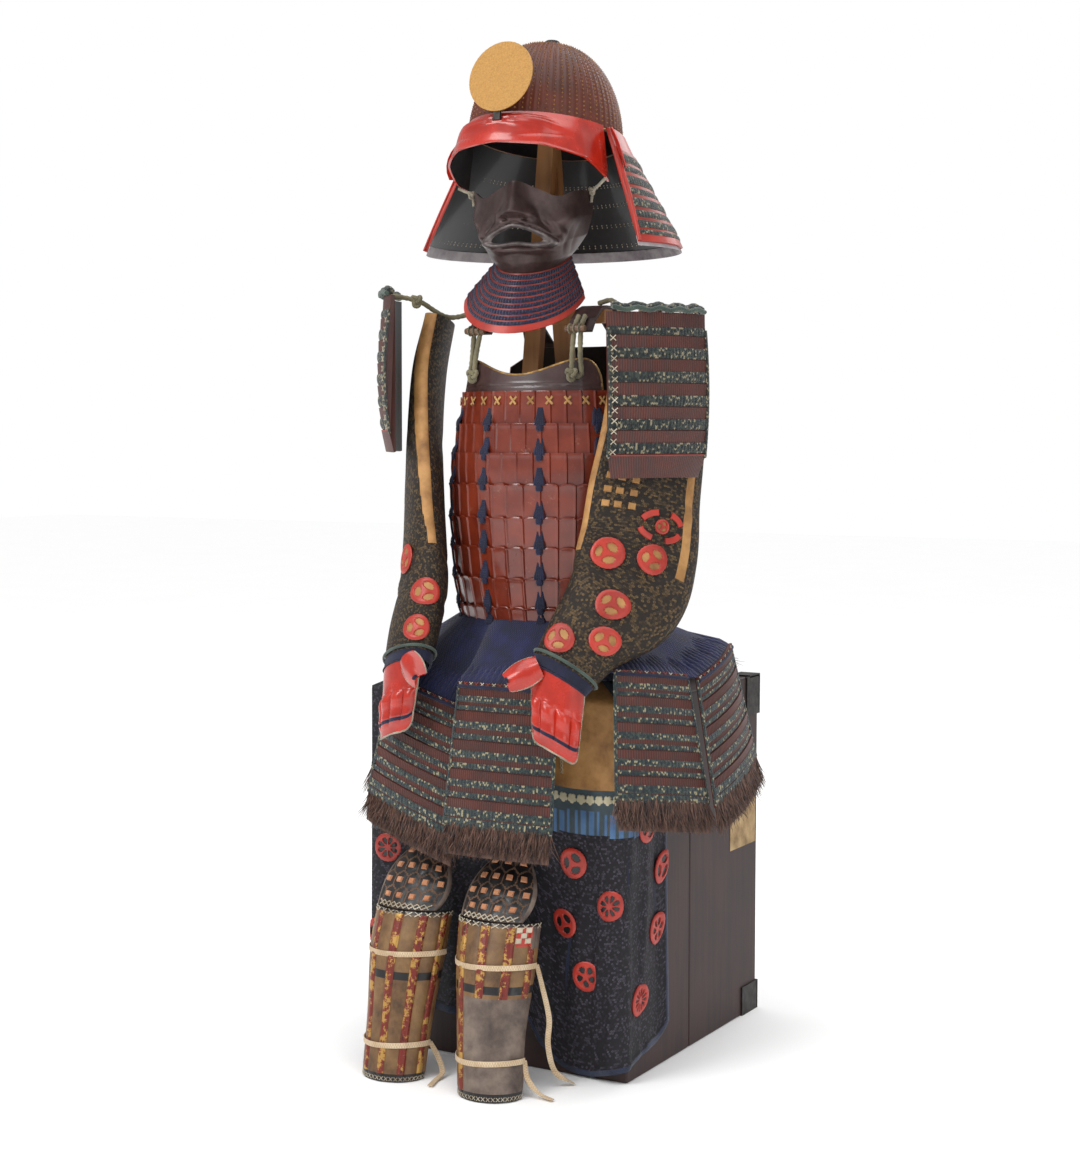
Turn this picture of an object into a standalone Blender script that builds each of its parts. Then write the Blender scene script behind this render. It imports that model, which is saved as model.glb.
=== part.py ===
"""A suit of samurai armour, hung on its wooden stand on an armour chest.

Metres, +Z up. The origin is the middle of the chest's footprint on the floor. The armour faces -Y, and +X is
the wearer's left. Angles round the body are in degrees from the front (-Y) towards the wearer's left (+X).
Every worn piece is a wall with its own thickness, between a grid of outer points and a grid of inner points.
Grids have their rows from top to bottom and their columns towards the wearer's left.
"""

import math
from collections import namedtuple

import bmesh
import bpy
import numpy as np
from mathutils.bvhtree import BVHTree

# Clearance between pieces that touch, and between curved ones whose flat facets don't line up
GAP = 0.0003
FACET_GAP = 0.0009

# Armour chest, of two boxes side by side
CHEST_WIDTH = 0.410
CHEST_DEPTH = 0.442
CHEST_HEIGHT = 0.530
CHEST_SEAM_DEPTH = 0.199
CHEST_EDGE = 0.003
CHEST_FRONT = -CHEST_DEPTH / 2
CHEST_SIDE = CHEST_WIDTH / 2

# Inner stand
STAND_BASE = (0.220, 0.150, 0.018)
STAND_CENTRE_Y = -0.080
UPRIGHT_SECTION = (0.026, 0.016)
UPRIGHT_FOOT_X = 0.062
UPRIGHT_HEAD_X = 0.012
YOKE_SECTION = (0.196, 0.024, 0.020)
HEAD_BLOCK_RADIUS = 0.034
HEAD_BLOCK_HEIGHT = 0.030

# Cuirass
TORSO_CENTRE = np.array((0.005, -0.080))
LAME_THICKNESS = 0.0025
LAME_LAP = 0.006
LAME_STEP = 0.0040
WRAP_STEP = 0.0033
LAME_EDGES = (0.967, 0.921, 0.879, 0.836, 0.789, 0.746, 0.702, 0.660, 0.634)
UPPER_LAMES = 3
FRONT_SPREADS = (62.0, 65.0, 70.0)
BACK_SPREADS = (58.0, 62.0, 66.0)
WRAP_START = -87.0
WRAP_END = 267.0
PLATE_THICKNESS = 0.003
CHEST_PLATE_SPREAD = 58.0
CHEST_PLATE_MIDDLE = 0.990
CHEST_PLATE_SHOULDER = 1.012
BACK_PLATE_SPREAD = 56.0
BACK_PLATE_TOP = 1.036

# Shoulder straps
STRAP_THICKNESS = 0.004
STRAP_HALF_WIDTH = 0.020
STRAP_PLATE_ANGLE = 146.0

# Helmet
BOWL_CENTRE = np.array((0.0, -0.090, 1.333))
BOWL_TILT = 8.0
BOWL_HALF_WIDTH = 0.1075
BOWL_HALF_DEPTH = 0.1220
BOWL_HEIGHT = 0.136
BOWL_WALL = 0.0025
BOWL_PLATES = 62
BOWL_RIB = 0.0022
BOWL_BULGE = 2.1
BOWL_ROUND = 0.43
BOWL_TAPER = 0.05
CREST_RADIUS = 0.0510
CREST_THICKNESS = 0.0016

# Neck guard
NECK_GUARD_LAMES = 5
NECK_GUARD_WALL = 0.003
NECK_GUARD_STEP = 0.003
NECK_GUARD_HALF_WIDTH = 0.192
NECK_GUARD_HALF_DEPTH = 0.168
NECK_GUARD_CENTRE_Y = -0.070
NECK_GUARD_BOTTOM = 1.174
TURNBACK_WALL = 0.0012

# Mask and throat guard
FACE_CENTRE = np.array((-0.014, -0.095))
FACE_TURN = 13.0
MASK_WALL = 0.0025
MASK_TOP = 1.254
MASK_CHIN = 1.133
THROAT_CENTRE = np.array((-0.024, -0.100))
THROAT_LAMES = 5
THROAT_WALL = 0.002
THROAT_STEP = 0.002

# Shoulder guards
SHOULDER_GUARD_WIDTH = 0.158
SHOULDER_GUARD_HEIGHT = 0.226
SHOULDER_GUARD_SAG = 0.016
SHOULDER_GUARD_FACING = 60.0
SHOULDER_GUARD_WALL = 0.003
SHOULDER_GUARD_STEP = 0.0028
SHOULDER_GUARD_LAMES = 7

# Sleeves and hands
SLEEVE_WALL = 0.003
SLEEVE_COLUMNS = 16
HAND_WALL = 0.002

# Skirt of laces and the seven tassets under it
SKIRT_WALL = 0.0025
SKIRT_RIB = 0.0012
SKIRT_HOLD = 0.012
SKIRT_GATHER_OVER = 0.060
SKIRT_GATHER = 0.30
TASSET_WALL = 0.003
TASSET_STEP = 0.0028
TASSET_LAMES = 5
TASSET_SAG = 0.010
FRINGE_LENGTH = 0.040

# Thigh apron
APRON_WALL = 0.0025
APRON_TOP = 0.598
APRON_BEND = CHEST_HEIGHT + 0.004
APRON_RIGHT_X = -0.217
APRON_WRAP_Y = -0.118
APRON_CORNER = 0.006
APRON_OFF = 0.0045

# Shin guards
SHIN_WALL = 0.0035
SHIN_SPLINT = 0.0015
SHIN_SPREAD = 96.0
SHIN_TOP = 0.226
KNEE_WALL = 0.005
KNEE_TOP = 0.304
KNEE_RADIUS = 0.053
KNEE_ROWS = (20.0, 40.0, 60.0, 80.0, 100.0, 118.0)
KNEE_BOW = 0.005
KNEE_CROWN = 0.006

# Cords and ties
CORD_RADIUS = 0.0040
TIE_RADIUS = 0.0025
TIE_FLOOR = TIE_RADIUS + 0.0005
TOGGLE_SPACING = 0.0105
CHEST_CORD_ANGLE = 40.0

Girth = namedtuple("Girth", "z half_width half_depth")
TORSO = (
    Girth(0.600, 0.136, 0.104),
    Girth(0.634, 0.139, 0.107),
    Girth(0.702, 0.149, 0.116),
    Girth(0.789, 0.154, 0.120),
    Girth(0.860, 0.151, 0.118),
    Girth(0.921, 0.141, 0.111),
    Girth(0.967, 0.132, 0.104),
    Girth(1.040, 0.118, 0.094),
)

FaceLevel = namedtuple("FaceLevel", "down half_width forward")
FACE = (
    FaceLevel(0.00, 0.088, 0.094),
    FaceLevel(0.35, 0.087, 0.099),
    FaceLevel(0.65, 0.079, 0.097),
    FaceLevel(0.88, 0.064, 0.086),
    FaceLevel(1.00, 0.053, 0.073),
)

PeakEdge = namedtuple("PeakEdge", "angle out z")
PEAK_EDGE = (
    PeakEdge(0.0, 0.027, 1.311),
    PeakEdge(30.0, 0.029, 1.305),
    PeakEdge(55.0, 0.028, 1.289),
    PeakEdge(70.0, 0.020, 1.268),
    PeakEdge(78.0, 0.010, 1.262),
)

SleeveSection = namedtuple("SleeveSection", "x y z half_width half_depth turn")
SLEEVE_LEFT = (
    SleeveSection(0.178, -0.092, 1.052, 0.066, 0.018, 66.0),
    SleeveSection(0.190, -0.104, 0.990, 0.076, 0.022, 63.0),
    SleeveSection(0.194, -0.124, 0.900, 0.080, 0.024, 58.0),
    SleeveSection(0.191, -0.146, 0.815, 0.084, 0.026, 54.0),
    SleeveSection(0.190, -0.163, 0.740, 0.086, 0.028, 50.0),
    SleeveSection(0.186, -0.200, 0.678, 0.080, 0.030, 46.0),
    SleeveSection(0.158, -0.261, 0.622, 0.054, 0.026, 34.0),
    SleeveSection(0.138, -0.300, 0.572, 0.041, 0.024, 28.0),
)
SLEEVE_RIGHT = (
    SleeveSection(0.182, -0.092, 1.076, 0.066, 0.018, 66.0),
    SleeveSection(0.192, -0.106, 1.000, 0.074, 0.022, 63.0),
    SleeveSection(0.184, -0.132, 0.905, 0.076, 0.024, 58.0),
    SleeveSection(0.166, -0.162, 0.815, 0.076, 0.026, 54.0),
    SleeveSection(0.152, -0.184, 0.740, 0.072, 0.028, 50.0),
    SleeveSection(0.136, -0.214, 0.678, 0.066, 0.030, 46.0),
    SleeveSection(0.130, -0.246, 0.622, 0.056, 0.028, 38.0),
    SleeveSection(0.122, -0.276, 0.572, 0.042, 0.024, 28.0),
)

Tasset = namedtuple("Tasset", "name x y z facing top_width bottom_width length lean slope")
TASSETS = (
    Tasset("front", 0.041, -0.266, 0.556, 0.0, 0.158, 0.172, 0.205, 9.0, 0.0),
    Tasset("front_left", 0.228, -0.202, 0.578, 60.0, 0.116, 0.150, 0.182, 10.0, 7.0),
    Tasset("left_side", 0.262, -0.074, 0.584, 92.0, 0.140, 0.176, 0.176, 12.0, -15.0),
    Tasset("back_left", 0.082, 0.060, 0.606, 172.0, 0.134, 0.150, 0.120, 66.0, 0.0),
    Tasset("back_right", -0.076, 0.060, 0.606, 188.0, 0.134, 0.150, 0.120, 66.0, 0.0),
    Tasset("right_side", -0.240, -0.066, 0.588, 266.0, 0.138, 0.160, 0.176, 8.0, 14.0),
    Tasset("front_right", -0.112, -0.243, 0.540, 350.0, 0.132, 0.180, 0.186, 10.0, 15.0),
)

ShinLevel = namedtuple("ShinLevel", "z x y half_width half_depth")
SHIN_RIGHT = (
    ShinLevel(0.226, -0.113, -0.270, 0.055, 0.038),
    ShinLevel(0.165, -0.113, -0.290, 0.054, 0.041),
    ShinLevel(0.080, -0.109, -0.316, 0.046, 0.038),
    ShinLevel(0.000, -0.103, -0.343, 0.043, 0.036),
)
SHIN_LEFT = (
    ShinLevel(0.226, 0.030, -0.270, 0.058, 0.038),
    ShinLevel(0.165, 0.036, -0.292, 0.055, 0.041),
    ShinLevel(0.080, 0.046, -0.322, 0.046, 0.038),
    ShinLevel(0.000, 0.062, -0.352, 0.043, 0.036),
)

Finish = namedtuple("Finish", "colour roughness metallic")
FINISHES = {
    "russet_lacquer": Finish((0.205, 0.034, 0.017), 0.32, 0.0),
    "brown_lacquer": Finish((0.068, 0.030, 0.027), 0.35, 0.0),
    "bowl_lacquer": Finish((0.144, 0.042, 0.027), 0.40, 0.0),
    "red_lacquer": Finish((0.610, 0.045, 0.026), 0.28, 0.0),
    "dark_iron": Finish((0.060, 0.042, 0.038), 0.45, 0.3),
    "gold_leaf": Finish((0.578, 0.314, 0.102), 0.50, 0.6),
    "navy_silk": Finish((0.017, 0.022, 0.100), 0.80, 0.0),
    "green_cord": Finish((0.120, 0.120, 0.080), 0.80, 0.0),
    "mail_cloth": Finish((0.026, 0.022, 0.020), 0.70, 0.2),
    "laced_brown": Finish((0.147, 0.023, 0.023), 0.50, 0.0),
    "cream_tape": Finish((0.716, 0.539, 0.352), 0.80, 0.0),
    "dark_wood": Finish((0.069, 0.033, 0.036), 0.55, 0.0),
    "pale_wood": Finish((0.560, 0.270, 0.120), 0.60, 0.0),
}


# Meshes

def start_scene():
    """Empties the scene and gives it the collections of the armour and of its cutters."""
    for item in list(bpy.data.objects):
        bpy.data.objects.remove(item)
    collections = []
    for name in ("samurai_armour", "cutters"):
        collection = bpy.data.collections.new(name)
        bpy.context.scene.collection.children.link(collection)
        collections.append(collection)
    return collections


def material_for(name, finish):
    """One Principled material for one piece, in the finish's colour."""
    look = FINISHES[finish]
    material = bpy.data.materials.new(name)
    material.use_nodes = True
    shader = material.node_tree.nodes["Principled BSDF"]
    shader.inputs["Base Color"].default_value = (*look.colour, 1.0)
    shader.inputs["Roughness"].default_value = look.roughness
    shader.inputs["Metallic"].default_value = look.metallic
    return material


def add_piece(name, data, finish, collection="samurai_armour"):
    """A named object in its collection, with its own material."""
    piece = bpy.data.objects.new(name, data)
    bpy.data.collections[collection].objects.link(piece)
    data.materials.append(material_for(name, finish))
    return piece


def add_mesh(name, shape, finish, smooth_below=None, collection="samurai_armour"):
    """A piece from a bmesh, with its faces turned out."""
    shape.normal_update()
    bmesh.ops.recalc_face_normals(shape, faces=shape.faces)
    if shape.calc_volume(signed=True) < 0:
        bmesh.ops.reverse_faces(shape, faces=shape.faces)
    data = bpy.data.meshes.new(name)
    shape.to_mesh(data)
    shape.free()
    if smooth_below:
        data.shade_smooth()
        data.set_sharp_from_angle(angle=math.radians(smooth_below))
    return add_piece(name, data, finish, collection)


def wall(name, outer, inner, finish, closed=False):
    """One closed body between two grids, whose inner one may have a whole fraction of the outer one's steps."""
    shape = bmesh.new()
    grids = []
    for grid in (outer, inner):
        grids.append([[shape.verts.new(point) for point in row] for row in grid])
    for grid in grids:
        columns = len(grid[0])
        for row in range(len(grid) - 1):
            for column in range(columns if closed else columns - 1):
                nxt = (column + 1) % columns
                corners = (grid[row][column], grid[row][nxt], grid[row + 1][nxt], grid[row + 1][column])
                shape.faces.new(corners)
    for row in (0, -1):
        edges = [list(grid[row]) for grid in grids]
        if closed:
            edges = [edge + edge[:1] for edge in edges]
        close_edge(shape, *edges)
    if not closed:
        for column in (0, -1):
            close_edge(shape, *[[row[column] for row in grid] for grid in grids])
    return add_mesh(name, shape, finish, smooth_below=35)


def close_edge(shape, outer, inner):
    """Faces between two runs of corners, where the inner run has a whole fraction of the outer run's steps."""
    ratio = (len(outer) - 1) // (len(inner) - 1)
    for step in range(len(inner) - 1):
        if ratio == 1:
            shape.faces.new((outer[step], outer[step + 1], inner[step + 1], inner[step]))
            continue
        for part in range(ratio):
            start = step * ratio + part
            shape.faces.new((outer[start], outer[start + 1], inner[step]))
        shape.faces.new((outer[(step + 1) * ratio], inner[step + 1], inner[step]))


def box(name, low, high, finish, edge=0.0):
    """A box between two corners, with its edges rounded by a Bevel."""
    shape = bmesh.new()
    bmesh.ops.create_cube(shape, size=1.0)
    size = np.subtract(high, low)
    bmesh.ops.scale(shape, vec=size, verts=shape.verts)
    bmesh.ops.translate(shape, vec=np.add(low, high) / 2, verts=shape.verts)
    piece = add_mesh(name, shape, finish)
    if edge:
        bevel = piece.modifiers.new("rounded_edges", "BEVEL")
        bevel.width = edge
        bevel.segments = 2
    return piece


def join_to(piece, other, operation="UNION"):
    """Joins or cuts a piece with another one, which becomes a cutter."""
    for collection in list(other.users_collection):
        collection.objects.unlink(other)
    bpy.data.collections["cutters"].objects.link(other)
    other.hide_render = True
    other.display_type = "WIRE"
    boolean = piece.modifiers.new(other.name, "BOOLEAN")
    boolean.operation = operation
    boolean.object = other


def cord(name, route, radius, finish, spacing):
    """A round cord through the points of its route."""
    points = smooth_route(route, spacing)
    data = bpy.data.curves.new(name, "CURVE")
    data.dimensions = "3D"
    data.bevel_depth = radius
    data.bevel_resolution = 2
    data.use_fill_caps = True
    spline = data.splines.new("POLY")
    spline.points.add(len(points) - 1)
    for corner, point in zip(spline.points, points):
        corner.co = (*point, 1.0)
    return add_piece(name, data, finish)


# Curves and grids

def smooth_route(route, spacing):
    """Evenly spaced points on a smooth curve through the route's own points."""
    route = np.asarray(route, float)
    padded = np.vstack([2 * route[0] - route[1], route, 2 * route[-1] - route[-2]])
    fine = []
    for before, start, end, after in zip(padded, padded[1:], padded[2:], padded[3:]):
        for t in np.linspace(0, 1, 12, endpoint=False):
            fine.append(
                0.5 * (2 * start + (end - before) * t
                       + (2 * before - 5 * start + 4 * end - after) * t ** 2
                       + (3 * start - before - 3 * end + after) * t ** 3)
            )
    fine = np.array(fine + [route[-1]])
    along = np.concatenate([[0], np.cumsum(np.linalg.norm(np.diff(fine, axis=0), axis=1))])
    steps = max(2, round(along[-1] / spacing))
    wanted = np.linspace(0, along[-1], steps + 1)
    return np.stack([np.interp(wanted, along, fine[:, axis]) for axis in range(3)], 1)


def oval(half_width, half_depth, degrees, power=2.0):
    """Plan points of an oval about the origin, at angles from the front."""
    turn = np.radians(degrees)
    side = np.sin(turn)
    front = -np.cos(turn)
    reach = (np.abs(side) ** power + np.abs(front) ** power) ** (-1 / power)
    return np.stack([half_width * side * reach, half_depth * front * reach], -1)


def facing(degrees):
    """The level unit vectors of a piece that faces that way: towards the wearer's left along it, and out of it."""
    turn = math.radians(degrees)
    along = np.array((math.cos(turn), math.sin(turn), 0.0))
    out = np.array((math.sin(turn), -math.cos(turn), 0.0))
    return along, out


def outward(grid, closed=False):
    """The unit normals of a grid, away from the body."""
    if closed:
        across = np.roll(grid, -1, axis=1) - np.roll(grid, 1, axis=1)
    else:
        across = np.gradient(grid, axis=1)
    down = np.gradient(grid, axis=0)
    normal = np.cross(down, across)
    return normal / np.linalg.norm(normal, axis=2, keepdims=True)


def moved_out(grid, distance, closed=False):
    """The grid's points moved along its normals, by one distance or by one for each point."""
    reach = np.broadcast_to(np.asarray(distance, float), grid.shape[:2])
    return grid + outward(grid, closed) * reach[..., None]


def mirrored(grid):
    """The grid on the wearer's other side, with its columns still towards the wearer's left."""
    return grid[:, ::-1] * np.array((-1.0, 1.0, 1.0))


def bump(value, centre, width):
    """A smooth bump of height 1 about a centre."""
    return np.exp(-(((value - centre) / width) ** 2))


def lame_rows(count, step, lap=0.12):
    """Down the fronts of overlapping lames: how far down each row is, from 0 to 1, and how far out it stands."""
    down = []
    out = []
    for lame in range(count):
        down += [lame / count, (lame + 1) / count - 0.0001]
        out += [step, step * lap]
    down[-1] = 1.0
    return np.array(down), np.array(out)


# Chest and stand

def add_chest():
    """The two boxes of the armour chest, side by side under the armour."""
    seam = CHEST_FRONT + CHEST_SEAM_DEPTH
    box("chest_front_half", (-CHEST_SIDE, CHEST_FRONT, 0.0), (CHEST_SIDE, seam, CHEST_HEIGHT), "dark_wood", CHEST_EDGE)
    box("chest_rear_half", (-CHEST_SIDE, seam + GAP, 0.0), (CHEST_SIDE, -CHEST_FRONT, CHEST_HEIGHT), "dark_wood",
        CHEST_EDGE)


def slat(name, foot, head, section):
    """A straight slat of wood between two points, with its wide side to the front."""
    foot = np.asarray(foot, float)
    head = np.asarray(head, float)
    up = (head - foot) / np.linalg.norm(head - foot)
    side = np.cross((0.0, 1.0, 0.0), up)
    side /= np.linalg.norm(side)
    front = np.cross(up, side)
    shape = bmesh.new()
    bmesh.ops.create_cube(shape, size=1.0)
    length = np.linalg.norm(head - foot)
    for corner in shape.verts:
        place = np.array(corner.co) * (section[0], section[1], length)
        corner.co = (foot + head) / 2 + side * place[0] + front * place[1] + up * place[2]
    return add_mesh(name, shape, "pale_wood")


def add_stand(yoke_top, bowl_inside):
    """The stand: a base board, two uprights that meet under the bowl, a yoke under the straps, a head block."""
    width, depth, height = STAND_BASE
    base_low = CHEST_HEIGHT + GAP
    stand = box("inner_stand", (-width / 2, STAND_CENTRE_Y - depth / 2, base_low),
                (width / 2, STAND_CENTRE_Y + depth / 2, base_low + height), "pale_wood", 0.002)
    block_top = seat_under(bowl_inside, (0.0, STAND_CENTRE_Y), HEAD_BLOCK_RADIUS)
    shape = bmesh.new()
    bmesh.ops.create_cone(shape, cap_ends=True, segments=16, radius1=HEAD_BLOCK_RADIUS, radius2=HEAD_BLOCK_RADIUS,
                          depth=HEAD_BLOCK_HEIGHT)
    bmesh.ops.translate(shape, vec=(0.0, STAND_CENTRE_Y, block_top - HEAD_BLOCK_HEIGHT / 2), verts=shape.verts)
    parts = [add_mesh("head_block", shape, "pale_wood")]
    thickness = UPRIGHT_SECTION[1]
    for side, layer in ((-1, -0.45), (1, 0.45)):
        y = STAND_CENTRE_Y + layer * thickness
        parts.append(slat(f"upright_{side}", (side * UPRIGHT_FOOT_X, y, base_low + height / 2),
                          (-side * UPRIGHT_HEAD_X, y, block_top - HEAD_BLOCK_HEIGHT / 2), UPRIGHT_SECTION))
    span, deep, high = YOKE_SECTION
    parts.append(box("yoke", (-span / 2, STAND_CENTRE_Y - deep / 2, yoke_top - high),
                     (span / 2, STAND_CENTRE_Y + deep / 2, yoke_top), "pale_wood"))
    for part in parts:
        join_to(stand, part)


def clearances(grid, points, direction, closed=False):
    """How far each point can move in a direction before it meets the grid; None where it never does."""
    rows, columns = grid.shape[:2]
    faces = []
    for row in range(rows - 1):
        for column in range(columns if closed else columns - 1):
            nxt = (column + 1) % columns
            faces.append((row * columns + column, row * columns + nxt, (row + 1) * columns + nxt,
                          (row + 1) * columns + column))
    tree = BVHTree.FromPolygons([tuple(point) for point in grid.reshape(-1, 3)], faces)
    return [tree.ray_cast(tuple(point), direction)[3] for point in points]


def seat_under(grid, centre, radius):
    """The height at which a level disc of that radius, rising at the centre, is one gap under the grid."""
    turn = np.linspace(0, 2 * math.pi, 16, endpoint=False)
    low = grid[..., 2].min()
    rim = np.stack([centre[0] + radius * np.cos(turn), centre[1] + radius * np.sin(turn), np.full(16, low)], -1)
    rises = clearances(grid, rim, (0.0, 0.0, 1.0), closed=True)
    return low + min(rise for rise in rises if rise is not None) - GAP


# Cuirass

def torso(z, out, degrees):
    """Points round the wearer's trunk at a height, that far outside the cuirass's inner face."""
    levels = [level.z for level in TORSO]
    half_width = np.interp(z, levels, [level.half_width for level in TORSO])
    half_depth = np.interp(z, levels, [level.half_depth for level in TORSO])
    plan = oval(half_width + out, half_depth + out, degrees) + TORSO_CENTRE
    return np.column_stack([plan, np.full(len(plan), z)])


def add_lame(name, top, bottom, start, end, columns, step=LAME_STEP):
    """One lame, whose top edge stands that step outside the lame above it."""
    degrees = np.linspace(start, end, columns + 1)
    inner = np.array([torso(top, step, degrees), torso(bottom, 0.0, degrees)])
    outer = np.array([torso(top, step + LAME_THICKNESS, degrees), torso(bottom, LAME_THICKNESS, degrees)])
    wall(name, outer, inner, "russet_lacquer")


def add_cuirass():
    """Three short lames at the front and the back above the armholes, and five that wrap right round."""
    for number, (top, nxt) in enumerate(zip(LAME_EDGES, LAME_EDGES[1:]), start=1):
        bottom = nxt - LAME_LAP if nxt != LAME_EDGES[-1] else nxt
        if number <= UPPER_LAMES:
            front = FRONT_SPREADS[number - 1]
            back = BACK_SPREADS[number - 1]
            add_lame(f"front_lame_{number}", top, bottom, -front, front, 14)
            add_lame(f"back_lame_{number}", top, bottom, 180 - back, 180 + back, 12)
        else:
            step = LAME_STEP if number == UPPER_LAMES + 1 else WRAP_STEP
            add_lame(f"body_lame_{number}", top, bottom, WRAP_START, WRAP_END, 32, step)


def plate_grid(degrees, top, out, rows=4):
    """A plate that rises from behind the first lame to a top edge with its own height at each angle."""
    bottom = LAME_EDGES[0] - LAME_LAP
    grid = []
    for down in np.linspace(0, 1, rows):
        heights = top + (bottom - top) * down
        grid.append([torso(z, out, [angle])[0] for z, angle in zip(heights, degrees)])
    return np.array(grid)


def add_chest_and_back_plates():
    """The scooped plate on the chest, and the taller plate between the shoulders."""
    degrees = np.linspace(-CHEST_PLATE_SPREAD, CHEST_PLATE_SPREAD, 21)
    away = np.abs(degrees)
    shoulder = 46.0
    rise = (1 - np.cos(math.pi * np.minimum(away, shoulder) / shoulder)) / 2
    corner = np.maximum(away - shoulder, 0) / (CHEST_PLATE_SPREAD - shoulder)
    top = CHEST_PLATE_MIDDLE + (CHEST_PLATE_SHOULDER - CHEST_PLATE_MIDDLE) * rise - 0.022 * corner ** 2.5
    wall("chest_plate", plate_grid(degrees, top, PLATE_THICKNESS), plate_grid(degrees, top, 0.0), "brown_lacquer")
    degrees = np.linspace(180 - BACK_PLATE_SPREAD, 180 + BACK_PLATE_SPREAD, 15)
    edge = np.abs(degrees - 180) / BACK_PLATE_SPREAD
    top = BACK_PLATE_TOP - 0.030 * np.maximum(edge - 0.6, 0) / 0.4
    wall("back_plate", plate_grid(degrees, top, PLATE_THICKNESS), plate_grid(degrees, top, 0.0), "russet_lacquer")


def strap_grid(side):
    """The outer face of a shoulder strap, in rows from its front end over the shoulder to the back plate."""
    route = np.array((
        (0.088, -0.150, 1.052),
        (0.087, -0.136, 1.070),
        (0.085, -0.114, 1.085),
        (0.083, -0.095, 1.090),
        (0.081, -0.065, 1.090),
        (0.078, -0.038, 1.083),
        (0.076, -0.006, 1.062),
    ))
    across = np.linspace(-1, 1, 4)
    rows = [point + np.outer(across, (STRAP_HALF_WIDTH, 0.0, 0.0)) for point in route]
    spread = math.degrees(STRAP_HALF_WIDTH / 0.105)
    degrees = STRAP_PLATE_ANGLE - across * spread
    for height in (1.044, 1.020, 0.998):
        rows.append(torso(height, PLATE_THICKNESS + FACET_GAP + STRAP_THICKNESS, degrees))
    grid = np.array(rows)
    return grid if side > 0 else mirrored_x(grid)


def mirrored_x(grid):
    """The grid on the other side of the trunk's middle plane."""
    flipped = grid[:, ::-1].copy()
    flipped[..., 0] = 2 * TORSO_CENTRE[0] - flipped[..., 0]
    return flipped


def add_straps():
    """Both shoulder straps; returns their outer grids by side."""
    grids = {}
    for side, word in ((1, "left"), (-1, "right")):
        grid = strap_grid(side)
        normal = outward(grid)
        if normal[3, 1, 2] < 0:
            normal = -normal
        wall(f"strap_{word}", grid, grid - normal * STRAP_THICKNESS, "brown_lacquer")
        grids[side] = (grid, normal)
    return grids


# Helmet

def bowl_place(local):
    """Helmet points from its own level frame into the room: tilted back, with the front edge up."""
    tilt = math.radians(-BOWL_TILT)
    x, y, z = np.moveaxis(np.asarray(local, float), -1, 0)
    turned = np.stack([x, y * math.cos(tilt) - z * math.sin(tilt), y * math.sin(tilt) + z * math.cos(tilt)], -1)
    return turned + BOWL_CENTRE


def bowl_ring(height, out, degrees):
    """Points round the bowl at a part of its height, that far outside its plain outer face."""
    reach = max(0.0, 1 - height ** BOWL_BULGE) ** BOWL_ROUND * (1 - BOWL_TAPER * height)
    plan = oval(BOWL_HALF_WIDTH * reach, BOWL_HALF_DEPTH * reach, degrees)
    length = np.linalg.norm(plan, axis=1, keepdims=True)
    plan = plan * (1 + np.broadcast_to(out, len(plan))[:, None] / length)
    return bowl_place(np.column_stack([plan, np.full(len(plan), height * BOWL_HEIGHT)]))


def add_bowl():
    """The ribbed bowl, open at its top under the finial; returns its inner grid."""
    degrees = np.arange(2 * BOWL_PLATES) * 180.0 / BOWL_PLATES
    ribs = np.arange(2 * BOWL_PLATES) % 2
    outer = []
    for height, rib in ((0.985, 0.3), (0.84, 1.0), (0.45, 1.0), (0.0, 0.0)):
        outer.append(bowl_ring(height, ribs * BOWL_RIB * rib, degrees))
    inner = []
    for height in (0.985, 0.80, 0.0):
        ring = bowl_ring(height, -BOWL_WALL, degrees[::2])
        ring[:, 2] -= BOWL_WALL * height ** 3
        inner.append(ring)
    inner = np.array(inner)
    wall("helmet_bowl", np.array(outer), inner, "bowl_lacquer", closed=True)
    return inner


def add_finial():
    """The low flower-shaped fitting round the hole in the bowl's crown."""
    Ring = namedtuple("Ring", "radius height")
    profile = (Ring(0.0065, 0.0005), Ring(0.0240, 0.0005), Ring(0.0200, 0.0035), Ring(0.0130, 0.0045),
               Ring(0.0100, 0.0100), Ring(0.0065, 0.0100))
    segments = 16
    crown = BOWL_HEIGHT * 0.985 - BOWL_RIB * 0.12
    turn = np.linspace(0, 2 * math.pi, segments, endpoint=False)
    petals = 1 + 0.10 * np.cos(8 * turn)
    shape = bmesh.new()
    rings = []
    for ring in profile:
        wide = ring.radius * (petals if ring.radius > 0.015 else np.ones(segments))
        local = np.stack([wide * np.cos(turn), wide * np.sin(turn), np.full(segments, crown + ring.height)], -1)
        rings.append([shape.verts.new(point) for point in bowl_place(local)])
    for low, high in zip(rings, rings[1:] + rings[:1]):
        for step in range(segments):
            nxt = (step + 1) % segments
            shape.faces.new((low[step], low[nxt], high[nxt], high[step]))
    add_mesh("helmet_finial", shape, "dark_iron", smooth_below=35)


def peak_grid():
    """The plain outer face of the peak, from the bowl's rim out to its free edge."""
    degrees = np.linspace(-78, 78, 23)
    away = np.abs(degrees)
    top = bowl_ring(0.035, 0.0007, degrees)
    angles = [edge.angle for edge in PEAK_EDGE]
    out = np.interp(away, angles, [edge.out for edge in PEAK_EDGE])
    low_z = np.interp(away, angles, [edge.z for edge in PEAK_EDGE])
    rim = bowl_ring(0.0, 0.0, degrees)
    direction = np.column_stack([np.sin(np.radians(degrees)), -np.cos(np.radians(degrees))])
    low = np.column_stack([rim[:, :2] + direction * out[:, None], low_z])
    rows = []
    for down in np.linspace(0, 1, 6):
        row = top + (low - top) * down
        swell = 0.006 * math.sin(math.pi * down) * np.cos(np.radians(degrees)) ** 2
        row[:, :2] += direction * swell[:, None]
        rows.append(row)
    return np.array(rows), degrees


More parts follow.
